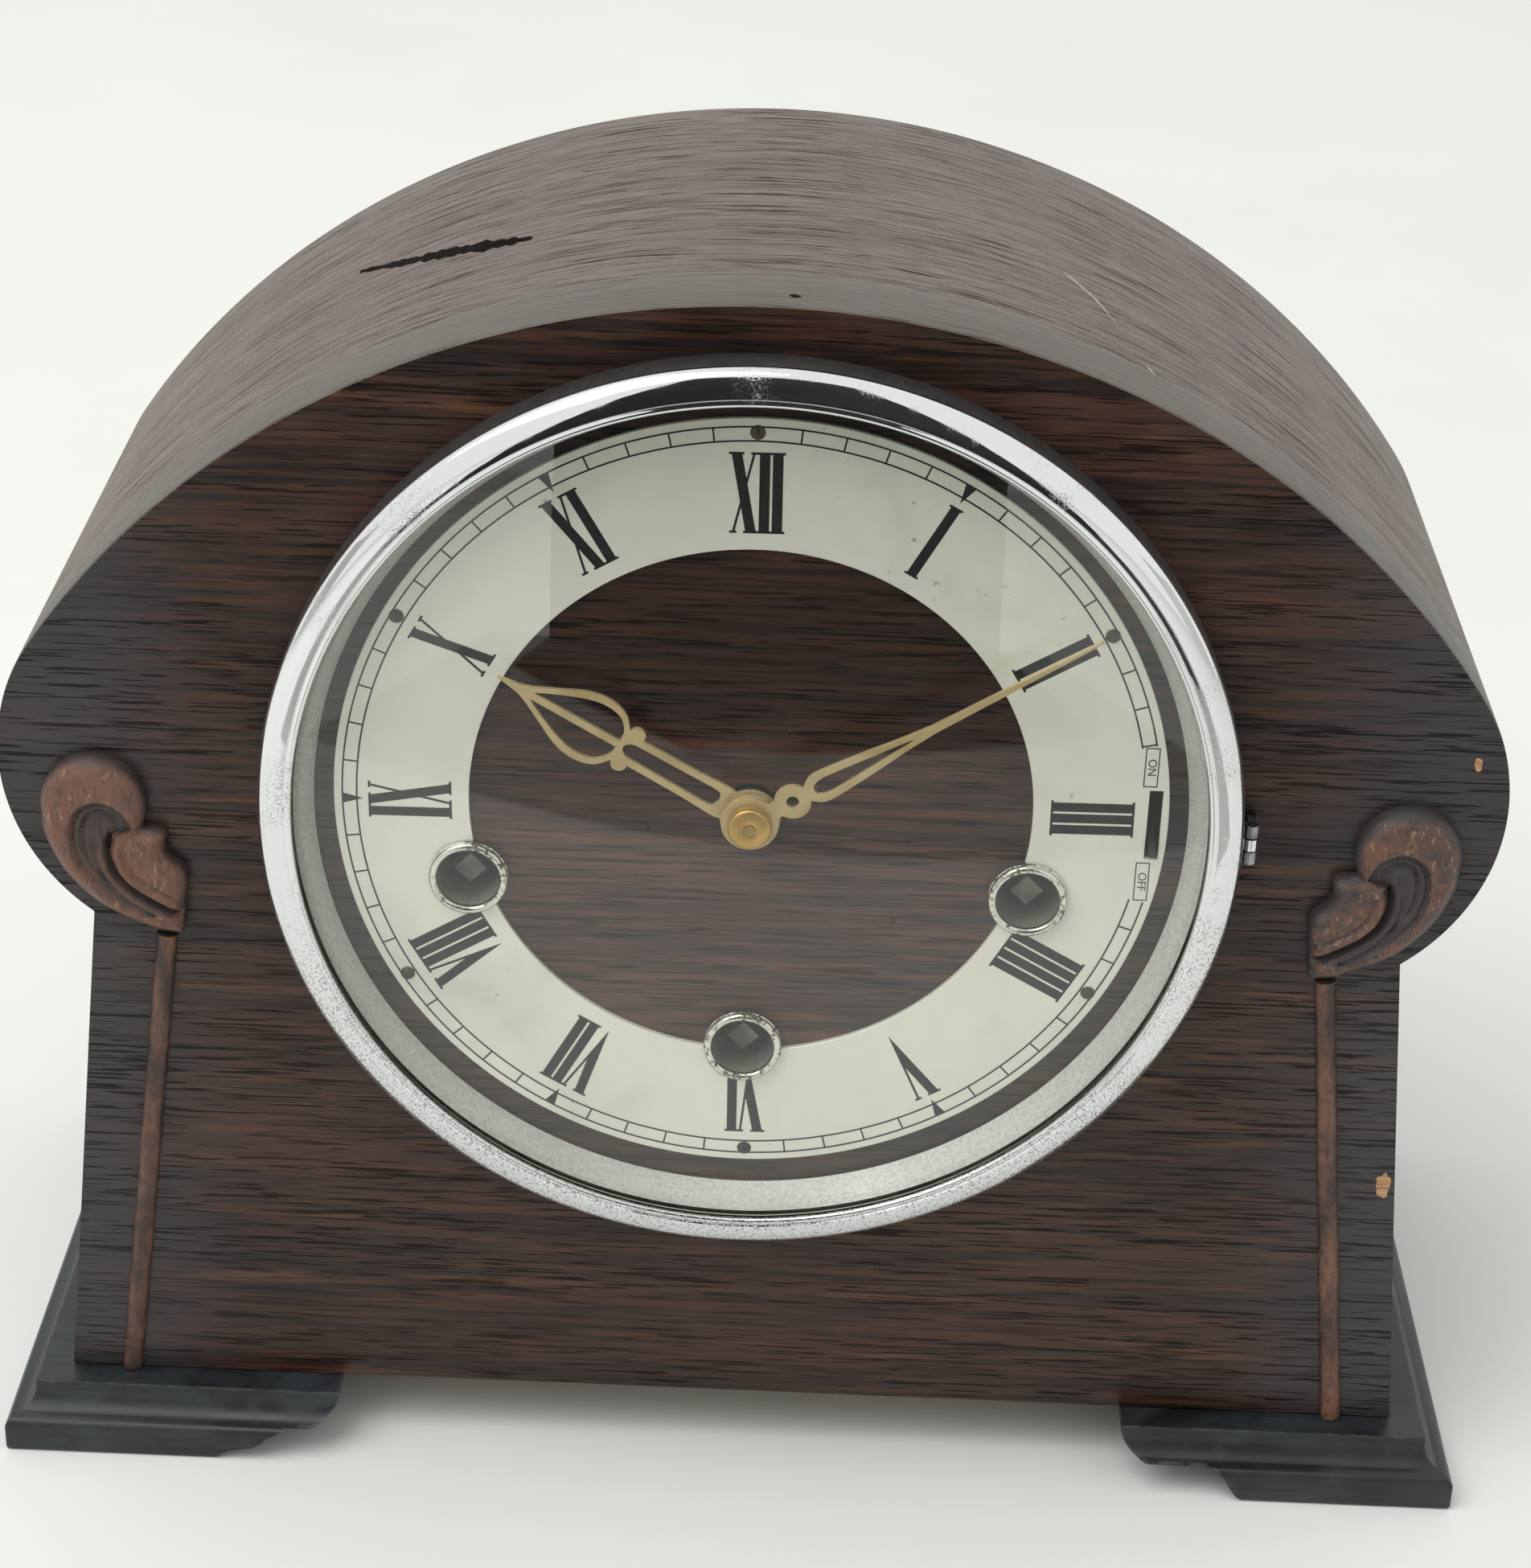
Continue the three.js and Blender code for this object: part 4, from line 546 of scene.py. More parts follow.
def even(scale: float, detail: float = 3.0, rough: float = 0.5, warp: float = 0.0) -> Cloud:
    """Clouds of the same size along every axis."""
    return Cloud((scale, scale, scale), detail, rough, warp)


class Graph:
    """Nodes of one material, joined step by step."""

    def __init__(self, name: str) -> None:
        """Makes a material with one shader.

        Args:
            name: name of the material.
        """
        self.material = bpy.data.materials.new(name)
        self.material.use_nodes = True
        self.tree = self.material.node_tree
        self.tree.nodes.clear()
        self.out = self.tree.nodes.new("ShaderNodeOutputMaterial")
        self.shader = self.tree.nodes.new("ShaderNodeBsdfPrincipled")
        self.join(self.shader.outputs[0], self.out.inputs["Surface"])

    def join(self, source: Socket, target: Socket) -> None:
        """Links two sockets."""
        self.tree.links.new(source, target)

    def node(self, kind: str, inputs: dict | None = None, **settings: object) -> bpy.types.Node:
        """Adds a node.

        Args:
            kind: type of the node, without its common prefix.
            inputs: sockets to set or link, by name or number.
            settings: properties of the node.

        Returns:
            The node.
        """
        made = self.tree.nodes.new("ShaderNode" + kind)
        for key, value in settings.items():
            setattr(made, key, value)
        for key, value in (inputs or {}).items():
            self.put(made.inputs[key], value)
        return made

    def put(self, socket: Socket, value: object) -> None:
        """Links a socket to another, or sets its value.

        Args:
            socket: the socket.
            value: another socket, or what to set.
        """
        if isinstance(value, Socket):
            self.join(value, socket)
        else:
            socket.default_value = value

    def set(self, **sockets: object) -> None:
        """Sets or links sockets of the shader; underscores stand for blanks."""
        for key, value in sockets.items():
            self.put(self.shader.inputs[key.replace("_", " ")], value)

    def spot(self) -> Socket:
        """Place on the piece at rest."""
        return self.node("TexCoord").outputs["Object"]

    def axes(self, place: Socket) -> Sequence[Socket]:
        """The three measures of a place."""
        return self.node("SeparateXYZ", {0: place}).outputs

    def grain(self, way: Grain) -> Socket:
        """Place on the wood as along, across and through the grain.

        Args:
            way: which way the grain runs.

        Returns:
            The place.
        """
        if way is Grain.BENT:
            return self.node("Attribute", attribute_name=way.value).outputs["Vector"]
        parts = self.axes(self.spot())
        return self.node("CombineXYZ", {i: parts[a] for i, a in enumerate(way.value)}).outputs[0]

    def noise(self, place: Socket, cloud: Cloud) -> Socket:
        """Cloudy variation.

        Args:
            place: where on the piece.
            cloud: kind of variation.

        Returns:
            A value about a half.
        """
        laid = self.node("Mapping", {"Vector": place, "Scale": cloud.scale}).outputs[0]
        return self.node("TexNoise", {
            "Vector": laid, "Scale": 1.0, "Detail": cloud.detail,
            "Roughness": cloud.rough, "Distortion": cloud.warp,
        }).outputs[0]

    def span(self, value: Socket, low: float, high: float, out: Flat = (0.0, 1.0)) -> Socket:
        """Stretches a value between two limits, eased at both ends.

        Args:
            value: the value.
            low, high: limits of the value.
            out: what the limits become.

        Returns:
            The stretched value.
        """
        return self.node("MapRange", {
            "Value": value, "From Min": low, "From Max": high, "To Min": out[0], "To Max": out[1],
        }, interpolation_type="SMOOTHSTEP").outputs[0]

    def sum(self, kind: str, a: Value, b: Value = 0.0) -> Socket:
        """Works out one value from one or two, such as ADD or ABSOLUTE."""
        return self.node("Math", {0: a, 1: b}, operation=kind).outputs[0]

    def plus(self, a: Value, b: Value) -> Socket:
        """Two values added."""
        return self.sum("ADD", a, b)

    def minus(self, a: Value, b: Value) -> Socket:
        """One value less another."""
        return self.sum("SUBTRACT", a, b)

    def times(self, a: Value, b: Value) -> Socket:
        """Two values multiplied."""
        return self.sum("MULTIPLY", a, b)

    def blend(self, share: Socket, a: Socket | Colour, b: Socket | Colour) -> Socket:
        """Blends two colours.

        Args:
            share: share of the second colour.
            a, b: the colours.

        Returns:
            The blended colour.
        """
        made = self.node("Mix", data_type="RGBA")
        self.put(made.inputs[0], share)
        for socket, value in ((made.inputs[6], a), (made.inputs[7], b)):
            self.put(socket, value if isinstance(value, Socket) else (*value, 1.0))
        return made.outputs[2]

    def relief(
        self, height: Socket, depth: float, strength: float = 1.0, under: Socket | None = None
    ) -> Socket:
        """Fine relief of a surface.

        Args:
            height: relief from 0 to 1.
            depth: depth of the relief in millimetres.
            strength: share of the relief that shows.
            under: relief below this one.

        Returns:
            The surface direction.
        """
        inputs = {"Height": height, "Distance": depth * MM, "Strength": strength}
        if under is not None:
            inputs["Normal"] = under
        return self.node("Bump", inputs).outputs[0]


@dataclass(frozen=True)
class Finish:
    """What a surface is made of; each kind lays out its own nodes."""

    slot: str = "oak"

    def lay(self, graph: Graph) -> None:
        """Lays out the nodes of this finish."""
        raise NotImplementedError


@cache
def dressed(finish: Finish) -> bpy.types.Material:
    """The material of a finish, made once.

    Args:
        finish: the finish.

    Returns:
        The material.
    """
    graph = Graph(f"{type(finish).__name__.lower()}_{len(bpy.data.materials)}")
    finish.lay(graph)
    return graph.material


@dataclass(frozen=True)
class Wood(Finish):
    """Stained oak with dark open pores under an old polish."""

    way: Grain = Grain.ACROSS
    dark: Colour = (0.0125, 0.0058, 0.0050)
    light: Colour = (0.060, 0.0215, 0.0118)
    pore: Colour = (0.0035, 0.0026, 0.0026)
    worn: Colour = (0.17, 0.068, 0.026)
    wear: float = 0.4
    gloss: float = 0.33
    sheen: float = 0.38
    pore_sheen: float = 0.5
    pore_share: float = 0.8
    pore_long: float = 130.0
    pore_fine: float = 2100.0
    # Painted light: the next three fields draw the wood under the lower half of the glass brighter,
    # standing in for a reflection in the glass.
    kept: float = 1.0
    painted_glow_reach: Flat = (0.062, 0.078)
    painted_glow_rise: Flat = (-0.012, 0.022)
    # Painted sheen: the next three fields grey the wood towards the sides, standing in for the pale
    # surroundings mirrored in its polish.
    dusty: float = 0.0
    dusty_reach: Flat = (0.084, 0.122)
    dust: Colour = (0.041, 0.041, 0.044)
    figure: Cloud = Cloud((7, 70, 70), 3, 0.55, 0.6)
    figure_share: float = 0.4
    streaks: Cloud = Cloud((28, 850, 850), 4, 0.65, 0.1)
    glow: Cloud = Cloud((20, 300, 300), 4, 0.6, 0.4)
    rings: Cloud = Cloud((4, 160, 160), 2, 0.5, 0.5)
    polish: Cloud = even(70, 4)

    def lay(self, graph: Graph) -> None:
        """Figure, streaks and pores along the grain, with rubbed patches.

        Args:
            graph: nodes of the material.
        """
        wood = graph.grain(self.way)
        figure = graph.noise(wood, self.figure)
        streak = graph.noise(wood, self.streaks)
        tone = graph.plus(graph.times(figure, self.figure_share),
                          graph.times(streak, 1.0 - self.figure_share))
        colour = graph.blend(graph.span(tone, 0.4, 0.62), self.dark, self.light)
        glow = graph.noise(wood, self.glow)
        colour = graph.blend(graph.span(glow, 0.55, 0.74, (0.0, self.wear)), colour, self.worn)
        # Painted sheen at the sides and painted light under the lower half of the glass.
        if self.kept > 1.0:
            colour = self.painted_sheen_and_glow(graph, colour)
        fine = Cloud((self.pore_long, self.pore_fine, self.pore_fine), 2, 0.5, 0.1)
        rings = graph.span(graph.noise(wood, self.rings), 0.32, 0.6, (0.5, 1.0))
        pores = graph.times(graph.span(graph.noise(wood, fine), 0.53, 0.62), rings)
        polish = graph.noise(graph.spot(), self.polish)
        dimmed = (self.sheen, self.sheen * self.pore_sheen)
        graph.set(
            Base_Color=graph.blend(graph.times(pores, self.pore_share), colour, self.pore),
            Roughness=graph.span(polish, 0.3, 0.7, (self.gloss - 0.06, self.gloss + 0.1)),
            Specular_IOR_Level=graph.span(pores, 0.0, 1.0, dimmed),
            Normal=graph.relief(graph.minus(graph.times(streak, 0.4), pores), 0.03, 0.5),
        )

    def painted_sheen_and_glow(self, graph: Graph, colour: Socket) -> Socket:
        """Paints a grey sheen towards the sides, and paints the wood under the lower half of the glass
        brighter, as painted light.

        Args:
            graph: nodes of the material.
            colour: colour of the wood.

        Returns:
            The changed colour.
        """
        x, _, z = graph.axes(graph.spot())
        # Painted sheen: grey towards the sides, for the pale surroundings mirrored in the polish.
        outward = graph.span(graph.sum("ABSOLUTE", x), *self.dusty_reach, (0.0, self.dusty))
        colour = graph.blend(outward, colour, self.dust)
        # Painted light: brighter under the lower half of the glass, for a reflection in it.
        rise = graph.minus(z, DIAL_HEIGHT)
        flat = graph.node("CombineXYZ", {0: x, 1: rise}).outputs[0]
        away = graph.node("VectorMath", {0: flat}, operation="LENGTH").outputs["Value"]
        painted_glow_gain = graph.times(graph.span(away, *self.painted_glow_reach, (1.0, 0.0)),
                           graph.span(rise, *self.painted_glow_rise, (self.kept - 1.0, 0.0)))
        scaled = {0: colour, "Scale": graph.plus(painted_glow_gain, 1.0)}
        return graph.node("VectorMath", scaled, operation="SCALE").outputs[0]


@dataclass(frozen=True)
class Faded(Finish):
    """Oak that the sun has greyed: thin brown pores that wander over a mottled grey ground."""

    slot: str = "wrap"
    way: Grain = Grain.BENT
    ground: Colour = (0.186, 0.140, 0.125)
    shadow: Colour = (0.092, 0.062, 0.053)
    brown: Colour = (0.118, 0.072, 0.058)
    pore: Colour = (0.024, 0.0135, 0.0112)
    edge: Colour = (0.098, 0.090, 0.076)
    edge_band: float = 0.0
    edge_ragged: float = 0.012
    gloss: float = 0.44
    sheen: float = 0.5
    wander: float = 0.0032
    pore_depth: float = 0.09
    drift: Cloud = Cloud((45, 150, 20), 3, 0.55, 0.3)
    mottle: Cloud = Cloud((170, 420, 40), 5, 0.68, 0.4)
    fibre: Cloud = Cloud((160, 2400, 160), 3, 0.6, 0.2)
    stain: Cloud = Cloud((16, 60, 60), 4, 0.6, 0.5)
    dashes: Cloud = Cloud((32, 2100, 140), 2, 0.45, 0.0)
    breaks: Cloud = Cloud((110, 900, 80), 3, 0.6, 0.2)

    def lay(self, graph: Graph) -> None:
        """Mottling, pores and fine fibres along the grain, calmer towards the front edge.

        Args:
            graph: nodes of the material.
        """
        laid = graph.grain(self.way)
        along, across, through = graph.axes(laid)
        shift = graph.times(graph.minus(graph.noise(laid, self.drift), 0.5), self.wander)
        strayed = {0: along, 1: graph.plus(across, shift), 2: through}
        wood = graph.node("CombineXYZ", strayed).outputs[0]
        mottle = graph.noise(wood, self.mottle)
        fibre = graph.noise(wood, self.fibre)
        tone = graph.plus(graph.times(mottle, 0.55), graph.times(fibre, 0.45))
        colour = graph.blend(graph.span(tone, 0.40, 0.60), self.shadow, self.ground)
        stain = graph.span(graph.noise(wood, self.stain), 0.42, 0.66, (0.0, 0.6))
        colour = graph.blend(stain, colour, self.brown)
        breaks = graph.span(graph.noise(wood, self.breaks), 0.30, 0.54)
        pores = graph.times(graph.span(graph.noise(wood, self.dashes), 0.525, 0.585), breaks)
        if self.edge_band > 0:
            ragged = graph.times(graph.minus(mottle, 0.5), self.edge_ragged)
            band = graph.span(graph.plus(across, ragged), self.edge_band * 0.8, self.edge_band * 1.15,
                              (1.0, 0.0))
            colour = graph.blend(graph.times(band, 0.75), colour, self.edge)
            pores = graph.times(pores, graph.span(band, 0.0, 1.0, (1.0, 0.4)))
        height = graph.minus(graph.times(tone, 0.35), pores)
        graph.set(
            Base_Color=graph.blend(graph.times(pores, 0.9), colour, self.pore),
            Roughness=graph.span(mottle, 0.3, 0.7, (self.gloss - 0.05, self.gloss + 0.09)),
            Specular_IOR_Level=graph.span(pores, 0.0, 1.0, (self.sheen, self.sheen * 0.12)),
            Normal=graph.relief(height, self.pore_depth, 0.45),
        )


@dataclass(frozen=True)
class Carved(Finish):
    """Carved wood: dusty in the hollows, rubbed to orange brown where it stands proud."""

    slot: str = "carved"
    hollow: Colour = (0.046, 0.034, 0.032)
    proud: Colour = (0.165, 0.075, 0.044)
    scraped: Colour = (0.30, 0.185, 0.115)
    dust: Colour = (0.075, 0.064, 0.060)
    rub: Flat = (0.38, 0.78)
    patches: Cloud = even(260, 6, 0.68, 0.8)
    fibre: Cloud = Cloud((1500, 1500, 380), 4, 0.65, 0.5)
    scrapes: Cloud = Cloud((1100, 1100, 420), 3, 0.6, 0.6)
    specks: Cloud = even(420, 4)

    def lay(self, graph: Graph) -> None:
        """Colour follows the painted tone, broken up by patches of old stain.

        Args:
            graph: nodes of the material.
        """
        tone = graph.node("Attribute", attribute_name="tone").outputs["Fac"]
        spot = graph.spot()
        patches = graph.noise(spot, self.patches)
        fibre = graph.noise(spot, self.fibre)
        rubbed = graph.plus(graph.times(tone, 0.5), graph.times(patches, 0.62))
        colour = graph.blend(graph.span(rubbed, *self.rub), self.hollow, self.proud)
        colour = graph.blend(graph.span(fibre, 0.46, 0.66, (0.0, 0.6)), colour, self.hollow)
        scrapes = graph.times(graph.span(graph.noise(spot, self.scrapes), 0.58, 0.68),
                              graph.span(tone, 0.45, 0.95, (0.0, 0.75)))
        colour = graph.blend(scrapes, colour, self.scraped)
        specks = graph.span(graph.noise(spot, self.specks), 0.56, 0.74, (0.0, 0.4))
        graph.set(
            Base_Color=graph.blend(specks, colour, self.dust),
            Roughness=graph.span(patches, 0.3, 0.7, (0.42, 0.62)),
            Normal=graph.relief(graph.plus(fibre, patches), 0.16, 0.5),
        )


@dataclass(frozen=True)
class Ebonised(Finish):
    """Black stained wood, greyed by dust and rubbed at its edges."""

    slot: str = "ebonised"
    black: Colour = (0.0070, 0.0090, 0.0112)
    grey: Colour = (0.029, 0.036, 0.042)
    rubbed: Colour = (0.085, 0.088, 0.09)
    edge: float = 0.7
    cloud: Cloud = Cloud((60, 60, 120), 5, 0.6, 0.5)
    grain: Cloud = Cloud((40, 700, 900), 4, 0.6)
    patches: Cloud = even(260, 4)

    def lay(self, graph: Graph) -> None:
        """Dusty black with faint grain, and edges found by rounding the surface over.

        Args:
            graph: nodes of the material.
        """
        spot = graph.spot()
        cloud = graph.noise(spot, self.cloud)
        grain = graph.noise(spot, self.grain)
        colour = graph.blend(graph.span(cloud, 0.35, 0.7), self.black, self.grey)
        colour = graph.blend(graph.span(grain, 0.5, 0.7, (0.0, 0.5)), colour, self.black)
        rounded = graph.node("Bevel", {"Radius": self.edge * MM}, samples=4).outputs[0]
        plain = graph.node("NewGeometry").outputs["Normal"]
        bend = graph.node("VectorMath", {0: rounded, 1: plain}, operation="DOT_PRODUCT")
        edges = graph.times(graph.span(bend.outputs["Value"], 0.985, 0.9),
                            graph.span(graph.noise(spot, self.patches), 0.4, 0.6))
        graph.set(
            Base_Color=graph.blend(graph.times(edges, 0.8), colour, self.rubbed),
            Roughness=graph.span(cloud, 0.3, 0.7, (0.3, 0.5)),
            Normal=graph.relief(grain, 0.08, 0.4),
        )


@dataclass(frozen=True)
class Plated(Finish):
    """Bright plating with fine pits, thicker towards the foot of the clock."""

    slot: str = "chrome"
    bright: Colour = (0.76, 0.77, 0.775)
    pit: Colour = (0.19, 0.19, 0.175)
    rough: float = 0.03
    pitted: float = 0.75
    pitted_rise: Flat = (-0.085, 0.03)
    wavy: float = 0.2
    specks: Cloud = even(2500, 3, 0.6)
    colonies: Cloud = even(60, 4, 0.6)
    haze: Cloud = even(240, 4)
    waves: Cloud = even(75, 2)

    def lay(self, graph: Graph) -> None:
        """Mirror metal with specks and a thin haze.

        Args:
            graph: nodes of the material.
        """
        spot = graph.spot()
        foot, head = (DIAL_HEIGHT + rise for rise in self.pitted_rise)
        low = graph.span(graph.axes(spot)[2], foot, head, (0.16, -0.02))
        where = graph.plus(graph.times(graph.noise(spot, self.colonies), 0.5), low)
        pits = graph.times(graph.span(graph.noise(spot, self.specks), 0.5, 0.66),
                           graph.span(where, 0.24, 0.38, (0.0, self.pitted)))
        haze = graph.span(graph.noise(spot, self.haze), 0.35, 0.75, (self.rough, self.rough + 0.06))
        waves = graph.relief(graph.noise(spot, self.waves), 0.5, self.wavy)
        graph.set(
            Metallic=1.0,
            Base_Color=graph.blend(pits, self.bright, self.pit),
            Roughness=graph.plus(graph.times(pits, 0.5), haze),
            Normal=graph.relief(graph.minus(1.0, pits), 0.06, 0.5, waves),
        )


@dataclass(frozen=True)
class Silvered(Finish):
    """Matt silvered metal with faint stains."""

    slot: str = "silver"
    pale: Colour = (0.76, 0.755, 0.665)
    stain: Colour = (0.42, 0.40, 0.33)
    metal: float = 0.45
    rough: float = 0.42
    speckle: float = 0.0
    cloud: Cloud = even(35, 4, 0.55, 0.6)
    specks: Cloud = even(420, 3, 0.6)
    grit: Cloud = even(1500, 3, 0.7)

    def lay(self, graph: Graph) -> None:
        """Even satin with a slow cloud, fine specks and an optional grit.

        Args:
            graph: nodes of the material.
        """
        spot = graph.spot()
        cloud = graph.noise(spot, self.cloud)
        colour = graph.blend(graph.span(cloud, 0.5, 0.85, (0.0, 0.28)), self.pale, self.stain)
        dots = graph.times(graph.span(graph.noise(spot, self.specks), 0.68, 0.76),
                           graph.span(cloud, 0.5, 0.66))
        colour = graph.blend(dots, colour, self.stain)
        grit = graph.noise(spot, self.grit)
        gritty = graph.span(grit, 0.4, 0.65, (0.0, self.speckle))
        graph.set(
            Metallic=self.metal,
            Base_Color=graph.blend(gritty, colour, self.stain),
            Roughness=graph.span(cloud, 0.3, 0.7, (self.rough - 0.05, self.rough + 0.08)),
            Normal=graph.relief(grit, 0.03, 0.2 + self.speckle),
        )


@dataclass(frozen=True)
class Metal(Finish):
    """Plain worked metal: brass, steel or iron, with scratches and dull patches."""

    slot: str = "brass"
    clean: Colour = (0.52, 0.36, 0.13)
    dull: Colour = (0.37, 0.25, 0.09)
    metal: float = 1.0
    rough: float = 0.34
    cloud: Cloud = even(150, 5, 0.6, 0.6)
    scratches: Cloud = Cloud((300, 300, 1800), 3, 0.6)

    def lay(self, graph: Graph) -> None:
        """Patches of tarnish and fine drawn scratches.

        Args:
            graph: nodes of the material.
        """
        spot = graph.spot()
        cloud = graph.noise(spot, self.cloud)
        lines = graph.noise(spot, self.scratches)
        marred = graph.plus(cloud, graph.times(lines, 0.3))
        graph.set(
            Metallic=self.metal,
            Base_Color=graph.blend(graph.span(cloud, 0.32, 0.86), self.clean, self.dull),
            Roughness=graph.span(marred, 0.45, 0.95, (self.rough - 0.06, self.rough + 0.2)),
            Normal=graph.relief(lines, 0.03, 0.3),
        )


@dataclass(frozen=True)
class Ink(Finish):
    """Black enamel printed on the dial, a little worn."""

    slot: str = "iron"
    black: Colour = (0.010, 0.010, 0.0105)
    faded: Colour = (0.022, 0.021, 0.020)
    cloud: Cloud = even(900, 4, 0.6)

    def lay(self, graph: Graph) -> None:
        """Nearly black with thin places.

        Args:
            graph: nodes of the material.
        """
        thin = graph.noise(graph.spot(), self.cloud)
        graph.set(
            Base_Color=graph.blend(graph.span(thin, 0.55, 0.75), self.black, self.faded),
            Roughness=graph.span(thin, 0.3, 0.7, (0.35, 0.5)),
            Normal=graph.relief(thin, 0.01, 0.3),
        )


@dataclass(frozen=True)
class Glazing(Finish):
    """Clear domed glass with a trace of dust."""

    slot: str = "glass"
    tint: Colour = (0.99, 0.995, 0.99)
    dusty: Colour = (0.95, 0.955, 0.94)
    bend: float = 1.46
    smears: Cloud = even(130, 4, 0.6)

    def lay(self, graph: Graph) -> None:
        """Clear glass that lets lamp light through to the dial.

        Args:
            graph: nodes of the material.
        """
        smear = graph.noise(graph.spot(), self.smears)
        graph.set(
            Base_Color=graph.blend(graph.span(smear, 0.5, 0.8), self.tint, self.dusty),
            IOR=self.bend,
            Transmission_Weight=1.0,
            Roughness=0.0,
        )
        clear = graph.node("BsdfTransparent", {"Color": (*self.tint, 1.0)})
        mix = graph.node("MixShader", {0: graph.node("LightPath").outputs["Is Shadow Ray"]})
        graph.join(graph.shader.outputs[0], mix.inputs[1])
        graph.join(clear.outputs[0], mix.inputs[2])
        graph.join(mix.outputs[0], graph.out.inputs["Surface"])


@dataclass(frozen=True)
class Matt(Finish):
    """A matt sheet of the stage, with a slow cloud."""

    slot: str = ""
    plain: Colour = (0.012, 0.012, 0.013)
    patch: Colour = (0.03, 0.03, 0.03)
    limits: Flat = (0.4, 0.6)
    rough: Flat = (0.9, 1.0)
    sheen: float = 0.5
    cloud: Cloud = even(2, 3)

    def lay(self, graph: Graph) -> None:
        """Two colours that run into each other.

        Args:
            graph: nodes of the material.
        """
        cloud = graph.noise(graph.spot(), self.cloud)
        graph.set(
            Base_Color=graph.blend(graph.span(cloud, *self.limits), self.plain, self.patch),
            Roughness=graph.span(cloud, 0.3, 0.7, self.rough),
            Specular_IOR_Level=self.sheen,
        )


# The front oak carries painted sheen towards the sides and painted light under the lower half of the
# glass.
OAK = Wood(sheen=0.43, pore_sheen=0.4, kept=1.9, dusty=0.75, pore_long=85.0, pore_fine=2200.0)
BARE_OAK = Wood(dark=(0.36, 0.19, 0.095), light=(0.52, 0.31, 0.17), pore=(0.2, 0.1, 0.05),
                worn=(0.6, 0.4, 0.24), gloss=0.7)
PLY = Wood(slot="inside", way=Grain.UPRIGHT, dark=(0.19, 0.115, 0.06), light=(0.33, 0.215, 0.12),
           pore=(0.10, 0.06, 0.032), worn=(0.42, 0.3, 0.18), wear=0.2, gloss=0.62,
           pore_long=30.0, pore_fine=1400.0)
PLY_ACROSS = replace(PLY, way=Grain.ACROSS)
WRAP = Faded(edge_band=0.016)
SIDE_BOARD = Faded(way=Grain.UPRIGHT, ground=(0.108, 0.073, 0.062), shadow=(0.060, 0.038, 0.032),
                   pore=(0.036, 0.022, 0.019))
GASH = Wood(slot="wrap", way=Grain.BENT, dark=(0.004, 0.003, 0.003), light=(0.012, 0.008, 0.007),
            pore=(0.002, 0.002, 0.002), worn=(0.03, 0.014, 0.010), gloss=0.85, sheen=0.06)
SCRATCH = Wood(slot="wrap", way=Grain.BENT, dark=(0.42, 0.37, 0.33), light=(0.62, 0.56, 0.5),
               pore=(0.3, 0.26, 0.23), worn=(0.6, 0.54, 0.48), gloss=0.6)
LEFT_CARVING = Carved()
RIGHT_CARVING = Carved(hollow=(0.040, 0.033, 0.032), proud=(0.170, 0.075, 0.042), rub=(0.60, 0.86))
BEAD = Carved(hollow=(0.028, 0.017, 0.014), proud=(0.170, 0.074, 0.044), rub=(0.34, 0.72))
EBONISED = Ebonised()
CHROME = Plated()
COLLET_PLATE = Plated(bright=(0.70, 0.69, 0.60), pit=(0.07, 0.072, 0.05), rough=0.1, pitted=1.5,
                      specks=even(1000, 3, 0.6))
SLEEVE = Metal(slot="chrome", clean=(0.30, 0.30, 0.245), dull=(0.15, 0.15, 0.12), metal=0.3,
               rough=0.5)
# Dull plating drawn dark: partly the dull finish of the bezel's outer wall, partly painted shade on it.
SHADED_DULL_PLATE = Metal(slot="chrome", clean=(0.19, 0.19, 0.185), dull=(0.06, 0.06, 0.058), metal=0.9,
                   rough=0.42)
HINGE_STEEL = Metal(slot="chrome", clean=(0.40, 0.40, 0.40), dull=(0.16, 0.155, 0.15), rough=0.36)
DIAL_SILVER = Silvered(pale=(0.94, 0.94, 0.81), metal=0.33, rough=0.38)
SIGHT_SILVER = Silvered(pale=(0.70, 0.715, 0.66), stain=(0.28, 0.28, 0.245), metal=0.25, rough=0.55,
                        speckle=0.35)
INK = Ink()
GLAZING = Glazing()
BRASS = Metal()
HAND_BRASS = Metal(clean=(0.68, 0.53, 0.27), dull=(0.54, 0.41, 0.20), metal=0.45, rough=0.42)
NUT_BRASS = Metal(clean=(0.68, 0.44, 0.13), dull=(0.46, 0.28, 0.08), metal=0.7, rough=0.32)
STEEL = Metal(slot="steel", clean=(0.46, 0.46, 0.47), dull=(0.2, 0.195, 0.19), rough=0.3)
ARBOR_STEEL = Metal(slot="steel", clean=(0.19, 0.185, 0.155), dull=(0.06, 0.058, 0.048), metal=0.6,
                    rough=0.45)
IRON = Metal(slot="iron", clean=(0.05, 0.05, 0.053), dull=(0.02, 0.02, 0.021), metal=0.7, rough=0.5)
PIN_HEAD = Metal(slot="iron", clean=(0.10, 0.085, 0.07), dull=(0.045, 0.037, 0.032), metal=0.8,
                 rough=0.45)
PAPER = Matt(plain=(0.91, 0.912, 0.885), patch=(0.885, 0.888, 0.86), limits=(0.35, 0.7),
             rough=(0.85, 0.95), sheen=0.1, cloud=even(6, 4))
DARK_ROOM = Matt()
GREY_TABLE = Matt(plain=(0.36, 0.36, 0.34), patch=(0.50, 0.50, 0.48))
PALE_WALL = Matt(plain=(0.5, 0.5, 0.48), patch=(0.64, 0.64, 0.62))


# Case


@dataclass(frozen=True)
class Station:
    """A place on the case outline, its outward direction and the way walked to it."""

    x: float
    z: float
    out_x: float
    out_z: float
    run: float

    def inset(self, depth: float) -> Flat:
        """The place taken into the wood by a depth."""
        return self.x - self.out_x * depth, self.z - self.out_z * depth


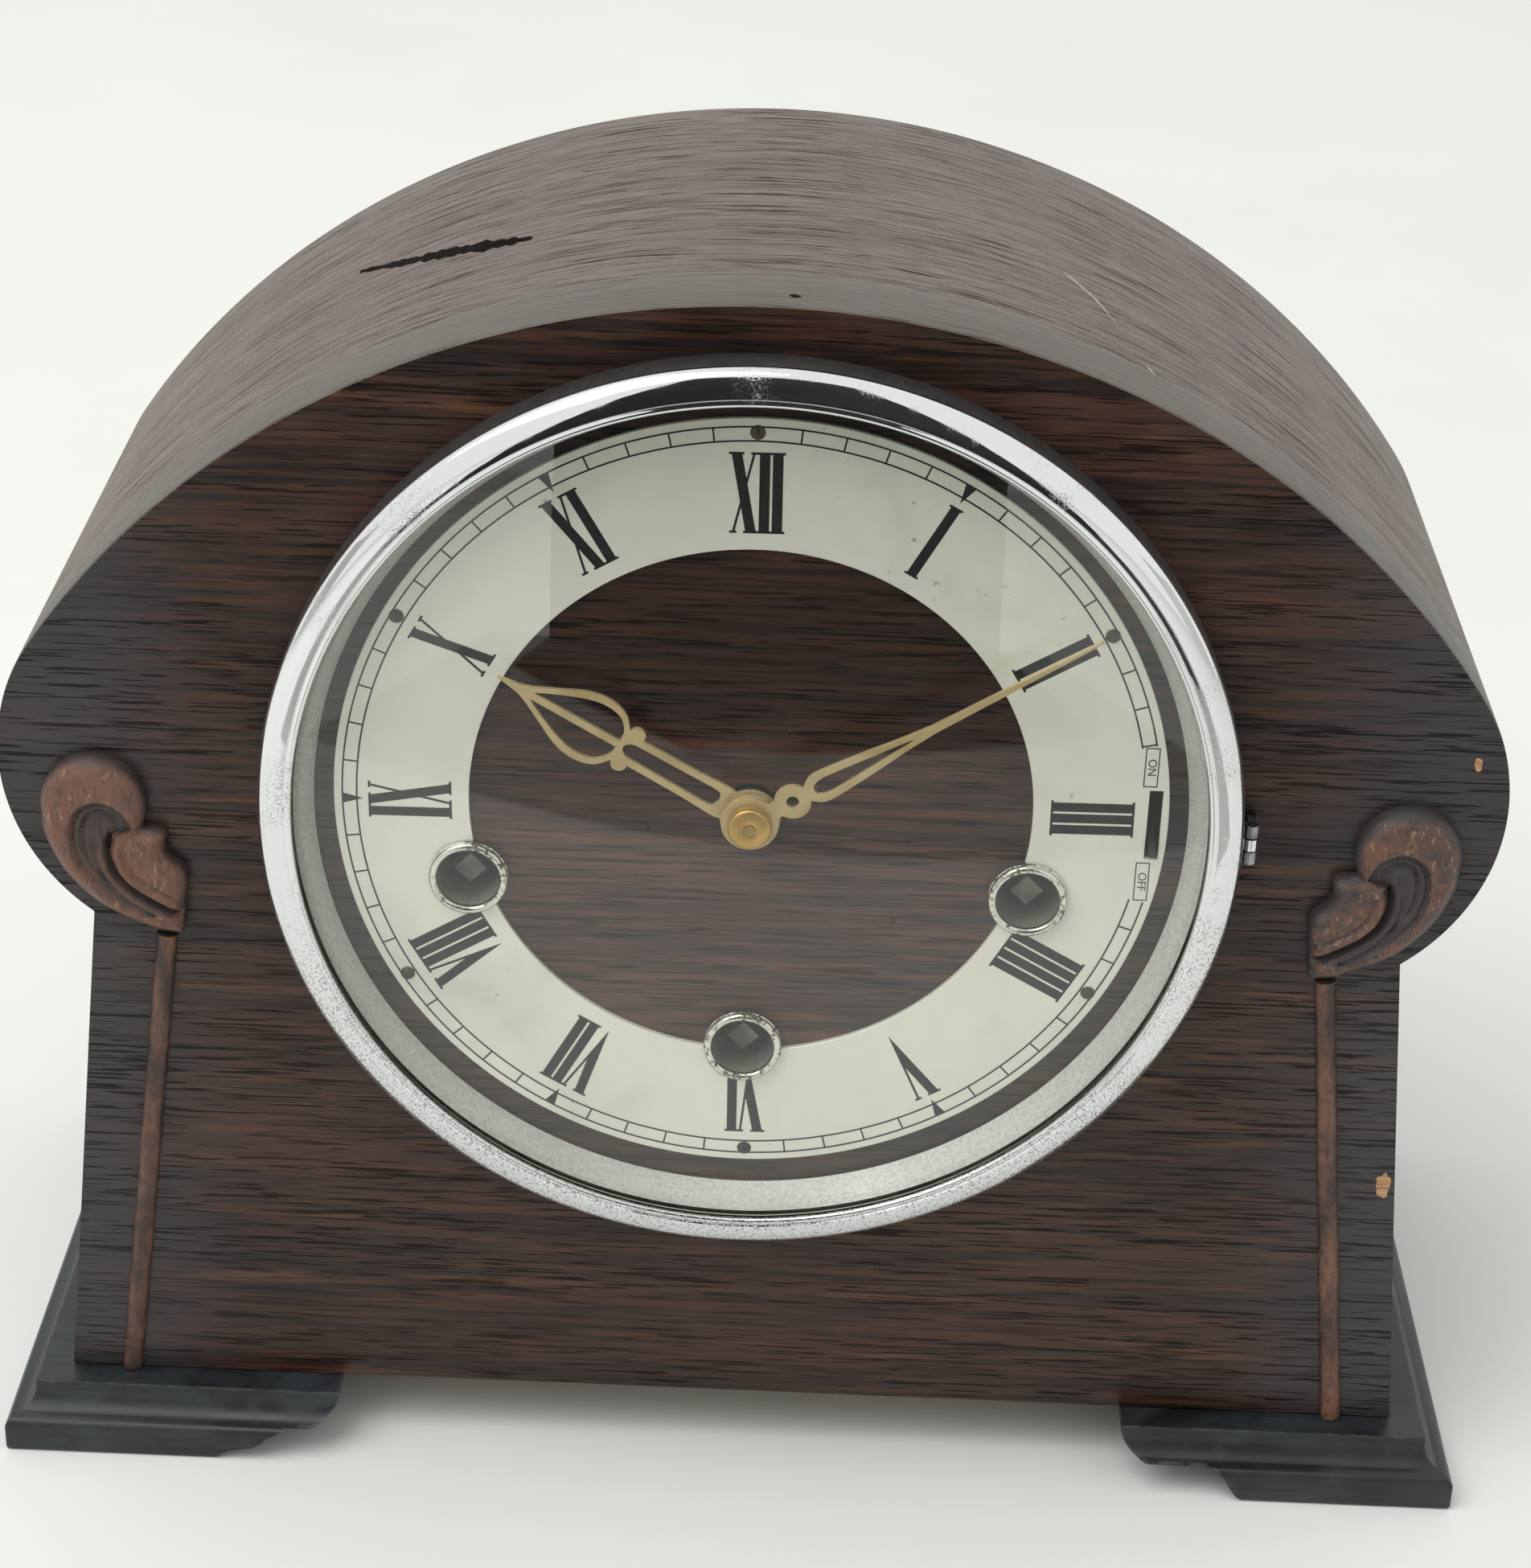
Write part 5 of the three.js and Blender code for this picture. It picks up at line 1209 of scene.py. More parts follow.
@dataclass(frozen=True)
class CaseLine:
    """Outline of the case: an arch between two round shoulders that stand on splayed sides."""

    arch_radius: float = 151.1
    arch_rise: float = 91.4
    shoulder_radius: float = 38.5
    shoulder_x: float = 93.0
    notch_drop: float = 26.8
    splay: float = 9.6
    panel_drop: float = 126.8

    @property
    def arch_z(self) -> float:
        """Height of the arch's centre."""
        return self.arch_rise - self.arch_radius

    @property
    def shoulder_z(self) -> float:
        """Height of the shoulders' centres, where they run smoothly into the arch."""
        reach = self.arch_radius - self.shoulder_radius
        return self.arch_z + math.sqrt(reach ** 2 - self.shoulder_x ** 2)

    @property
    def join(self) -> float:
        """Angle at which the right shoulder meets the arch."""
        return math.atan2(self.shoulder_z - self.arch_z, self.shoulder_x)

    @property
    def notch(self) -> float:
        """Angle on the right shoulder at which the side board begins."""
        return math.asin((-self.notch_drop - self.shoulder_z) / self.shoulder_radius)

    @property
    def slope(self) -> float:
        """Outward lean of the side boards."""
        return self.splay / (self.panel_drop - self.notch_drop)

    def over_top(self, step: float, past: float = 0.0) -> list[Station]:
        """Walks from the right notch over the top to the left notch.

        Args:
            step: longest step.
            past: how far the walk runs on past each notch.

        Returns:
            The stations in order.
        """
        begin = self.notch - past / self.shoulder_radius
        right = (self.shoulder_x, self.shoulder_z, self.shoulder_radius)
        left = (-self.shoulder_x, self.shoulder_z, self.shoulder_radius)
        legs = (
            (*right, begin, self.join),
            (0.0, self.arch_z, self.arch_radius, self.join, math.pi - self.join),
            (*left, math.pi - self.join, math.pi - begin),
        )
        stations: list[Station] = []
        run = 0.0
        for x, z, radius, start, end in legs:
            steps = math.ceil(radius * (end - start) / step)
            turn = (end - start) / steps
            for i in range(1 if stations else 0, steps + 1):
                angle = start + turn * i
                c, s = math.cos(angle), math.sin(angle)
                walked = run + radius * turn * i
                stations.append(Station(x + radius * c, z + radius * s, c, s, walked))
            run += radius * (end - start)
        return stations

    def board(self, inset: float, bottom: float, step: float = 1.5) -> Outline:
        """Outline of a board that fills the case, taken in all round.

        Args:
            inset: how far the board stays inside the outline.
            bottom: height of its lower edge.
            step: longest step along the curves.

        Returns:
            The closed outline.
        """
        notch_x = self.shoulder_x + self.shoulder_radius * math.cos(self.notch)
        lean = math.hypot(1, self.slope)
        foot = notch_x + (-self.notch_drop - bottom) * self.slope - inset * lean
        waist = (notch_x - inset / lean, -self.notch_drop - self.slope * inset / lean)
        top = [station.inset(inset) for station in self.over_top(step)]
        return [(foot, bottom), waist, *top, (-waist[0], waist[1]), (-foot, bottom)]


@dataclass
class Case:
    """Wooden box: front panel, bent top, side boards, base and the marks of age on them."""

    line: CaseLine = CaseLine()
    depth: float = 112.0
    panel_thick: float = 9.0
    wrap_thick: float = 7.0
    wrap_reach: float = 0.26
    front_edge: float = 1.2
    rear_edge: float = 3.0
    rear_step: float = 10.3
    edge_round: float = 0.8
    veneer_front: float = -0.27
    veneer_back: float = -0.02
    veneer_edge: float = 0.15
    bottom: float = -126.5
    walk: float = 1.2
    side_round: float = 0.4
    base_round: float = 0.3
    hand_hole: float = 4.5
    hinge_slot: tuple[float, float, float, float] = (85.9, 87.7, -5.5, 2.5)
    mark_lift: float = 0.03
    mark_sink: float = 0.1
    chip_lift: float = 0.04
    chip_steps: int = 26

    def build(self) -> None:
        """Builds the case."""
        self.front_panel()
        self.top_wrap()
        for side in Side:
            dress(f"{side.word}_side", SIDE_BOARD, self.side_round)
        dress("base_board", PLY_ACROSS, self.base_round)
        self.marks()

    def front_panel(self) -> None:
        """Front panel with holes for the hands, winding, lever and hinge."""
        dial = Dial()
        holes = [
            circle(0, 0, self.hand_hole),
            *(circle(x, z, dial.collet_hole) for x, z in dial.winds),
            dial.lever_slot(),
            rectangle(*self.hinge_slot),
        ]
        outline = self.line.board(self.front_edge + GAP, self.bottom)
        board = Blank().slab([outline], 0.0, self.panel_thick, holes)
        board.fit("oak_front", OAK, "case", ["front_panel"])
        facing = self.line.board(self.veneer_edge, self.bottom)
        veneer = Blank().slab([facing], self.veneer_front, self.veneer_back, holes)
        veneer.fit("front_veneer", OAK, "case")

    def section(self) -> Outline:
        """Section through the bent top.

        Returns:
            The closed section as depth into the wood and depth from the front.
        """
        r, behind = self.edge_round, self.panel_thick + GAP
        rear = self.depth - self.rear_step
        bend = [(r - r * math.cos(a), r - r * math.sin(a)) for a in (RIGHT_ANGLE, 1.05, 0.52, 0.0)]
        return [
            *bend,
            *[(0.0, self.depth * i / 8) for i in range(1, 8)],
            *[(inset, self.depth - y) for inset, y in reversed(bend)],
            (self.rear_edge, self.depth), (self.rear_edge, rear), (self.wrap_thick, rear),
            (self.wrap_thick, behind), (self.front_edge, behind), (self.front_edge, 0.0),
        ]

    def top_wrap(self) -> None:
        """Top bent over both shoulders in one sweep, with the grain along it."""
        blank = Blank()
        section = self.section()
        rows = []
        for station in self.line.over_top(self.walk, self.wrap_reach):
            row = []
            for inset, y in section:
                x, z = station.inset(inset)
                row.append(blank.add(x, y, z, (station.run * MM, (y + inset) * MM)))
            rows.append(row)
        blank.tube(rows).fit("bent_top", WRAP, "case", ["top_wrap"])

    def marks(self) -> None:
        """Split, worm hole, scratches and chips that the case has picked up."""
        split = ((-75.3, 66.1), (-66.7, 58.7), (-57.4, 53.3), (-48.4, 49.2), (-42.3, 47.3))
        self.mark("top_split", GASH, split, 6.4)
        self.mark("top_worm_hole", GASH, ((3.4, 5.7), (4.2, 5.5), (5.3, 5.4)), 1.6)
        self.mark("top_scratch_long", SCRATCH, ((51.0, 48.6), (56.3, 40.7), (59.5, 32.0)), 1.3)
        self.mark("top_scratch_short", SCRATCH, ((63.6, 17.2), (65.2, 15.0)), 1.4)
        self.chip("panel_chip_low", (118.6, -73.6), 1.7, 3.0)
        self.chip("panel_chip_high", (125.0, 13.5), 0.9, 1.6)

    def chip(self, name: str, spot: Flat, wide: float, tall: float) -> None:
        """A chipped place on the front panel that shows bare wood.

        Args:
            name: name of the piece.
            spot: middle of the chip.
            wide, tall: half sizes of the chip.
        """
        rim = []
        for i in range(self.chip_steps):
            angle = TURN * i / self.chip_steps
            c, s = math.cos(angle), math.sin(angle)
            reach = 0.8 + 0.35 * noise.noise(Vector((c * 1.7, s * 1.7, tall)))
            rim.append((spot[0] + wide * reach * c, spot[1] + tall * reach * s))
        front = self.veneer_front - self.chip_lift
        Blank().slab([rim], front, self.mark_sink).fit(name, BARE_OAK, "case")

    def mark(self, name: str, finish: Finish, path: Sequence[Flat], width: float) -> None:
        """A thin mark that follows the bent top.

        Args:
            name: name of the piece.
            finish: finish of the mark.
            path: places as x seen from the front and depth from the front.
            width: width at its middle.
        """
        blank = Blank()
        line = smooth_line(path, 10)
        rows = []
        for i, (x, y) in enumerate(line):
            share = i / (len(line) - 1)
            half = width / 2 * math.sin(math.pi * (0.04 + 0.92 * share)) ** 0.7
            half *= 0.8 + 0.7 * noise.noise(Vector((x * 0.8, y * 1.1, 3.0)))
            top, low = (
                self.line.arch_z + math.sqrt((self.line.arch_radius + lift) ** 2 - x * x)
                for lift in (self.mark_lift, -self.mark_sink)
            )
            spots = ((y - half, top), (y + half, top), (y + half, low), (y - half, low))
            rows.append([blank.add(x, d, z, (x * MM, d * MM)) for d, z in spots])
        blank.tube(rows).fit(name, finish, "case")


@dataclass
class Carvings:
    """Scrolls carved in low relief and the half-round beads below them."""

    back: float = -GAP
    proud: float = 4.3
    volute: Flat = (114.8, -4.0)
    volute_radius: float = 9.2
    bead_radius: float = 2.0
    bead_top: Flat = (103.3, -30.4)
    bead_foot: Flat = (114.5, -126.5)
    bead_steps: int = 90
    spacing: float = 0.33
    crease: float = 58.0
    outer_edge: Marks = ((123.4, -10.5), (120.0, -17.8), (113.6, -24.2), (104.6, -28.5))
    inner_edge: Marks = ((100.0, -29.0), (99.6, -23.5), (99.0, -17.2), (101.4, -14.6),
                         (102.7, -12.4), (102.3, -9.4), (104.6, -8.4))
    lip: Marks = ((107.6, -8.2), (109.6, -4.4), (113.6, -2.6), (117.6, -4.4),
                  (119.3, -8.8), (118.3, -15.0), (114.0, -20.6), (107.4, -25.6))
    fold: Marks = ((111.4, -9.0), (112.1, -13.8), (109.2, -19.4), (100.6, -24.8))
    bowl: Flat = (112.6, -8.4)
    bowl_radius: float = 7.5

    def build(self) -> None:
        """Builds both scrolls and both beads."""
        for side, finish in ((Side.LEFT, LEFT_CARVING), (Side.RIGHT, RIGHT_CARVING)):
            self.scroll(side, finish)
            self.bead(side)

    def outline(self) -> Outline:
        """Outline of the right scroll: a round head over a leaf with a stepped inner edge.

        Returns:
            The closed outline.
        """
        head = arc(*self.volute, self.volute_radius, math.radians(208), math.radians(-8), 30)
        outer = smooth_line([head[-1], *self.outer_edge], 8)
        return [*head, *outer[1:], *smooth_line(self.inner_edge, 4)]

    def relief(self, spot: Flat, rim: float) -> Flat:
        """Height of the carving at a place.

        Args:
            spot: the place on the right scroll.
            rim: distance to the outline.

        Returns:
            The height from 0 to 1, and how much the place is rubbed.
        """
        lip, fold = smooth_line(self.lip, 6), smooth_line(self.fold, 6)
        off_lip, lip_share = nearest(spot, lip)
        off_fold, fold_share = nearest(spot, fold)
        height, dull = 1.0, 0.0
        if inside(spot, [*lip, *reversed(fold)]):
            sunk = ease(0.0, 1.4, off_lip)
            away = math.hypot(spot[0] - self.bowl[0], spot[1] - self.bowl[1])
            bowl = ease(self.bowl_radius, 0.0, away)
            fade = math.sin(math.pi * min(0.12 + 0.85 * lip_share, 1.0))
            height -= 0.26 * sunk * (1 - 0.6 * lip_share) + 0.14 * bowl
            height -= fade * (0.22 * ridge(off_lip, 0.7, 0.45) + 0.18 * ridge(off_lip, 2.4, 0.45))
            dull = 0.26 * sunk
        height -= 0.34 * ridge(off_fold, 0.0, 0.7) * ease(0.0, 0.12, fold_share)
        height += 0.10 * ridge(off_fold, 1.4, 0.6)
        height -= 0.10 * ridge(off_fold, 2.6, 0.4) * ease(0.05, 0.3, fold_share)
        height *= 0.34 + 0.66 * math.sqrt(ease(-0.6, 2.6, rim))
        worn = 0.22 * ridge(rim, 1.0, 0.7)
        return height, min(max(1.2 * height - 0.35 - dull + worn, 0.0), 1.0)

    @cached_property
    def net(self) -> tuple[Outline, list[Triangle], list[Flat]]:
        """Fine net of points over the right scroll.

        Returns:
            The points, the triangles between them, and each point's height and rubbing.
        """
        outline = self.outline()
        edge = [*outline, outline[0]]
        low_x, high_x = (f(x for x, _ in outline) for f in (min, max))
        low_z, high_z = (f(z for _, z in outline) for f in (min, max))
        seeds = []
        for row in range(int((high_z - low_z) / self.spacing)):
            for column in range(int((high_x - low_x) / self.spacing)):
                x = low_x + (column + 0.5 * (row % 2)) * self.spacing
                spot = (x, low_z + row * self.spacing * 0.95)
                if inside(spot, outline) and nearest(spot, edge)[0] > self.spacing * 0.6:
                    seeds.append(spot)
        spots, triangles = cut_out([outline], (), seeds)
        return spots, triangles, [self.relief(spot, nearest(spot, edge)[0]) for spot in spots]

    def scroll(self, side: Side, finish: Finish) -> None:
        """One scroll, shaped over the net of points.

        Args:
            side: side of the case.
            finish: finish of the scroll.
        """
        spots, triangles, carved = self.net
        blank = Blank()
        near, far = [], []
        for spot, (height, rubbed) in zip(spots, carved):
            x = side.value * spot[0]
            near.append(blank.add(x, self.back - self.proud * height, spot[1], tone=rubbed))
            far.append(blank.add(x, self.back, spot[1]))
        blank.sheet(near, far, triangles).fit(
            f"{side.word}_carved_scroll", finish, "case", [f"{side.word}_scroll"], crease=self.crease)

    def bead(self, side: Side) -> None:
        """One half-round bead, a little uneven along its length.

        Args:
            side: side of the case.
        """
        steps = self.bead_steps
        top, foot = (Vector((side.value * x, self.back, z)) for x, z in (self.bead_top, self.bead_foot))
        spine = [top.lerp(foot, i / steps) for i in range(steps + 1)]

        def section(share: float) -> Outline:
            """Half circle that swells and thins slightly."""
            wobble = 0.93 + 0.06 * noise.noise(Vector((share * 14.0, side.value * 5.0, 0.0)))
            return arc(0, 0, self.bead_radius * wobble, 0.0, math.pi, 14)

        blank = Blank().bar(spine, section)
        for i, (x, y, z) in enumerate(blank.points):
            rough = 0.5 + 0.5 * noise.noise(Vector((x * 0.3, y * 0.5, z * 0.06)))
            blank.tone[i] = rough * min(1.0, (self.back - y) / self.bead_radius + 0.35)
        blank.fit(f"{side.word}_half_round", BEAD, "case", [f"{side.word}_bead"])


@dataclass
class Feet:
    """Black bracket feet: a cove and a rounded toe on the front and the outer side, arched below."""

    top: float = -126.8
    height: float = 12.7
    wood_x: float = 126.0
    inner_x: float = 74.3
    depth: float = 112.0
    fillet: float = 6.0
    toe: float = 11.28
    cove: float = 4.6
    arch: float = 7.0
    arch_round: float = 5.4
    ogee_top: float = 91.0
    ogee_foot: float = 99.0
    splinter: Marks = ((97.6, 0.0), (96.2, 1.3), (95.0, 2.0), (90.4, 2.7), (88.6, 3.9),
                       (87.6, 5.2), (85.6, 6.1), (84.2, 7.0))
    apron: float = 22.0
    rail: float = 104.0
    toe_round: float = 1.9
    edge_round: float = 0.3
    spare: float = 5.0
    spare_front: float = 20.0
    spare_height: float = 2.0

    def build(self) -> None:
        """Builds both feet."""
        for side in Side:
            self.foot(side)

    def moulding(self) -> Outline:
        """Moulding from the top fillet down to the table.

        Returns:
            Points as projection and height.
        """
        cove_x, cove_z = self.fillet + self.cove, self.height - 1.2
        toe_x, toe_z = self.toe - self.toe_round, cove_z - self.cove - self.toe_round + 0.3
        return [
            (self.fillet, self.height),
            *arc(cove_x, cove_z, self.cove, math.pi, 1.36 * math.pi, 12),
            *arc(toe_x, toe_z, self.toe_round, 1.05, 0.0, 8),
            (self.toe, 0.9), (self.toe - 0.25, 0.25), (self.toe - 0.9, 0.0),
        ]

    def underside(self, broken: bool) -> Outline:
        """Outline of the arch that is cut from below, on the right foot.

        Args:
            broken: whether the arch's outer end has lost a splinter.

        Returns:
            The closed outline as x and height.
        """
        r = self.arch_round
        run = self.ogee_foot - self.ogee_top
        ogee = [
            (self.ogee_foot - run * t, self.arch * (t - math.sin(TURN * t) / TURN * 0.9))
            for t in (i / 12 for i in range(13))
        ]
        if broken:
            ogee = list(self.splinter)
        corner = arc(self.inner_x + r, self.arch + r, r, 1.5 * math.pi, math.pi, 10)
        past, below = self.inner_x - self.spare, -self.spare_height
        return [*ogee, *corner, (past, self.arch + r), (past, below), (ogee[0][0], below)]

    def foot(self, side: Side) -> None:
        """One foot: a moulded block with its arch and the hollow behind it cut away.

        Args:
            side: side of the case.
        """
        blank = Blank()
        low = self.top - self.height
        rows = []
        for out, high in self.moulding():
            x0, x1 = self.inner_x, self.wood_x + out
            corners = ((x0, -out), (x1, -out), (x1, self.depth), (x0, self.depth))
            rows.append([blank.add(side.value * x, y, low + high) for x, y in corners])
        arch = [(side.value * x, low + z) for x, z in self.underside(side is Side.LEFT)]
        hollow = rectangle(
            side.value * (self.inner_x - self.spare), side.value * self.rail,
            low - self.spare_height, self.top + self.spare_height)
        behind = self.depth + self.spare
        cutters = [Blank().slab([arch], -self.spare_front, behind),
                   Blank().slab([hollow], self.apron, behind)]
        blank.tube(rows).fit(f"{side.word}_bracket_foot", EBONISED, "case", [f"{side.word}_foot"],
                             self.edge_round, cutters=cutters)


# Dial and hands


@dataclass
class Dial:
    """Silvered ring with its print, pins, labels and winding collets, and the chime lever."""

    inner: float = 49.0
    outer: float = 72.5
    front: float = -1.3
    back: float = -0.3
    print_proud: float = 0.04
    print_turn: float = -0.75
    numeral_foot: float = 52.0
    numeral_head: float = 66.5
    stem: float = 1.75
    hair: float = 0.42
    serif: float = 0.4
    letter_wide: float = 4.3
    track_inner: float = 68.5
    track_outer: float = 71.0
    track_line: float = 0.3
    track_gap: float = 12.5
    mark_half: float = 1.0
    mark_drop: float = 1.1
    pin_at: float = 70.0
    pin_radius: float = 1.3
    pin_rise: float = 0.55
    slot_x: float = 70.0
    slot_half: float = 1.2
    slot_tall: float = 6.7
    label_left: float = 1.75
    label_right: float = 0.75
    label_low: float = 7.4
    label_high: float = 15.0
    label_line: float = 0.2
    label_bend: float = 0.012
    label_text: float = 2.1
    ring_round: float = 0.12
    lever_round: float = 0.15
    collet_hole: float = 6.5
    collet_bore: float = 5.7
    collet_tube: float = 6.2
    collet_rim: float = 6.95
    collet_back: float = 9.0
    flange_at: float = 6.25
    flange_rise: float = 0.72
    flange_round: float = 0.75
    sleeve_bore: float = 5.5
    sleeve_tube: float = 5.68
    winds: Marks = ((-49.1, -15.4), (0.0, -47.8), (49.1, -15.4))

    def build(self) -> None:
        """Builds the dial."""
        self.ring()
        self.numerals()
        self.minute_track()
        self.labels()
        self.pins()
        for name, (x, z) in zip(("left", "lower", "right"), self.winds):
            self.collet(name, x, z)
        dress("chime_lever", IRON, self.lever_round)

    def inner_edge(self) -> Outline:
        """Inner edge of the ring, let out round the collets.

        Returns:
            The closed outline.
        """
        edge = []
        steps = 720
        for i in range(steps):
            angle = TURN * i / steps
            reach = self.inner
            for x, z in self.winds:
                far = math.hypot(x, z)
                turn = angle - math.atan2(z, x)
                if math.cos(turn) > 0 and abs(far * math.sin(turn)) < self.collet_hole:
                    chord = math.sqrt(self.collet_hole ** 2 - (far * math.sin(turn)) ** 2)
                    reach = max(reach, far * math.cos(turn) + chord)
            edge.append((reach * math.cos(angle), reach * math.sin(angle)))
        return edge

    def lever_slot(self) -> Outline:
        """Slot that the chime lever moves in."""
        left, right = self.slot_x - self.slot_half, self.slot_x + self.slot_half
        return rectangle(left, right, -self.slot_tall, self.slot_tall)

    def ring(self) -> None:
        """The ring itself."""
        holes = [self.inner_edge(), self.lever_slot()]
        sheet = Blank().slab([circle(0, 0, self.outer, 240)], self.front, self.back, holes)
        sheet.fit("silvered_ring", DIAL_SILVER, "case", ["chapter_ring"], self.ring_round)

    def stroke(self, foot: float, head: float, width: float) -> Outline:
        """A straight stroke of a numeral from its foot to its head, given by their middles."""
        return [(foot - width / 2, self.numeral_foot), (foot + width / 2, self.numeral_foot),
                (head + width / 2, self.numeral_head), (head - width / 2, self.numeral_head)]

    def serif_at(self, middle: float, width: float, head: bool) -> Outline:
        """A thin line across one end of a stroke.

        Args:
            middle: middle of the stroke's end.
            width: width of the stroke.
            head: whether it is the head of the stroke, or else its foot.

        Returns:
            The closed outline.
        """
        low = self.numeral_head - self.hair if head else self.numeral_foot
        half = width / 2 + self.serif
        return rectangle(middle - half, middle + half, low, low + self.hair)

    def letter(self, kind: Letter, left: float) -> tuple[list[Outline], float]:
        """Strokes of one letter of a numeral.

        Args:
            kind: which letter.
            left: where the letter starts.

        Returns:
            The strokes, and where the next letter starts.
        """
        s, h, wide = self.stem, self.hair, self.letter_wide
        if kind is Letter.ONE:
            m = left + s / 2
            serifs = [self.serif_at(m, s, head) for head in (True, False)]
            return [self.stroke(m, m, s), *serifs], left + s + h
        if kind is Letter.FIVE:
            low, high = self.numeral_foot, self.numeral_head
            tip = left + wide / 2 + s / 3
            join = (wide - h - s) / wide
            meet = (left + s + (tip - left) * join, high + (low - high) * join)
            thick = [(tip, low), meet, (left + s, high), (left, high)]
            thin = [(tip, low), (left + wide, high), (left + wide - h, high), meet]
            return [thick, thin, self.serif_at(left + s / 2, s, True),
                    self.serif_at(left + wide - h / 2, h, True)], left + wide + h
        thick = (left + wide - s / 2, left + s / 2)
        thin = (left + h, left + wide - h)
        shapes = [self.stroke(*thick, s), self.stroke(*thin, h)]
        for foot, head, width in ((*thick, s), (*thin, h)):
            shapes += [self.serif_at(foot, width, False), self.serif_at(head, width, True)]
        return shapes, left + wide + h

    def numerals(self) -> None:
        """Twelve numerals with their feet towards the centre."""
        words = ("XII", "I", "II", "III", "IIII", "V", "VI", "VII", "VIII", "IX", "X", "XI")
        for hour, word in enumerate(words):
            end = 0.0
            for kind in map(Letter, word):
                _, end = self.letter(kind, end)
            left = -(end - self.hair) / 2
            shapes: list[Outline] = []
            for kind in map(Letter, word):
                strokes, left = self.letter(kind, left)
                shapes += strokes
            holes = []
            if hour == 6:
                x, z = self.winds[1]
                holes = [circle(x, z, self.collet_hole)]
            shapes = [turned(shape, hour * 30 + self.print_turn) for shape in shapes]
            self.printed(f"numeral_{hour or 12:02d}", shapes, holes)

    def printed(self, name: str, shapes: Sequence[Outline], holes: Sequence[Outline] = ()) -> None:
        """Prints shapes on the ring.

        Args:
            name: name of the piece.
            shapes, holes: closed outlines of the print and of its gaps.
        """
        print_face = self.front - self.print_proud
        Blank().slab(shapes, print_face, self.front, holes).fit(name, INK, "case")

    def band(self, inner: float, outer: float, start: float, end: float) -> Outline:
        """A strip of ring between two clock angles in degrees."""
        a, b = RIGHT_ANGLE - math.radians(start), RIGHT_ANGLE - math.radians(end)
        return [*arc(0, 0, outer, a, b, 220), *arc(0, 0, inner, b, a, 220)]

    def minute_track(self) -> None:
        """Two fine circles with minute lines, and marks for the hours without a pin."""
        start, end = 90 + self.track_gap, 450 - self.track_gap
        half = self.track_line / 2
        circles = (self.track_inner, self.track_outer)
        shapes = [self.band(r - half, r + half, start, end) for r in circles]
        for minute in range(60):
            angle = minute * 6 + self.print_turn
            if abs(angle - 90) < self.track_gap:
                continue
            shapes.append(turned(rectangle(-half, half, self.track_inner, self.track_outer), angle))
        for hour in (1, 5, 7, 9, 11):
            mark = [(0.0, self.track_inner - self.mark_drop), (self.mark_half, self.track_outer),
                    (-self.mark_half, self.track_outer)]
            shapes.append(turned(mark, hour * 30 + self.print_turn))
        self.printed("minute_track", shapes)

    def labels(self) -> None:
        """Two little framed labels over and under the lever's slot."""
        line = self.label_line
        for name, word, low, high in (("upper", "ON", self.label_low, self.label_high),
                                      ("lower", "OFF", -self.label_high, -self.label_low)):
            middle = (low + high) / 2
            edges = (self.slot_x - self.label_left, self.slot_x + self.label_right)
            left, right = (edge - self.label_bend * middle ** 2 / 2 for edge in edges)
            self.printed(f"{name}_label_frame", [
                rectangle(left, right, low, low + line),
                rectangle(left, right, high - line, high),
                rectangle(left, left + line, low, high),
                rectangle(right - line, right, low, high),
            ])
            self.lettering(f"{name}_label_word", word, (left + right) / 2, middle)

    def lettering(self, name: str, word: str, x: float, z: float) -> None:
        """A short word that reads downwards.

        Args:
            name: name of the piece.
            word: the word.
            x, z: middle of the word.
        """
        curve = bpy.data.curves.new(name, "FONT")
        curve.body = word
        curve.align_x, curve.align_y = "CENTER", "CENTER"
        curve.size = self.label_text * MM
        curve.extrude = self.print_proud / 2 * MM
        draft = bpy.data.objects.new(name + "_draft", curve)
        mesh = bpy.data.meshes.new_from_object(draft)
        mesh.name = name
        bpy.data.objects.remove(draft)
        way = Matrix.Rotation(RIGHT_ANGLE, 4, "X") @ Matrix.Rotation(-RIGHT_ANGLE, 4, "Z")
        depth = self.front - self.print_proud / 2
        mesh.transform(Matrix.Translation(ORIGIN + Vector((x, depth, z)) * MM) @ way)
        piece = bpy.data.objects.new(name, mesh)
        set_out(piece)
        mesh.materials.clear()
        mesh.materials.append(dressed(INK))
        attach(piece, "case")
        log.info("%s: %d faces on case", name, len(mesh.polygons))

    def pins(self) -> None:
        """Domed pins that hold the ring to the panel."""
        for hour in range(0, 12, 2):
            x, z = turned([(0.0, self.pin_at)], hour * 30 + self.print_turn)[0]
            dome = [(self.pin_radius * math.cos(a), self.front - self.pin_rise * math.sin(a))
                    for a in (RIGHT_ANGLE * i / 5 for i in range(5))]
            profile = [*dome, (0.0, self.front - self.pin_rise), (0.0, self.front)]
            Blank().lathe(profile, x, z, 24).fit(f"dial_pin_{hour or 12:02d}", PIN_HEAD, "case")

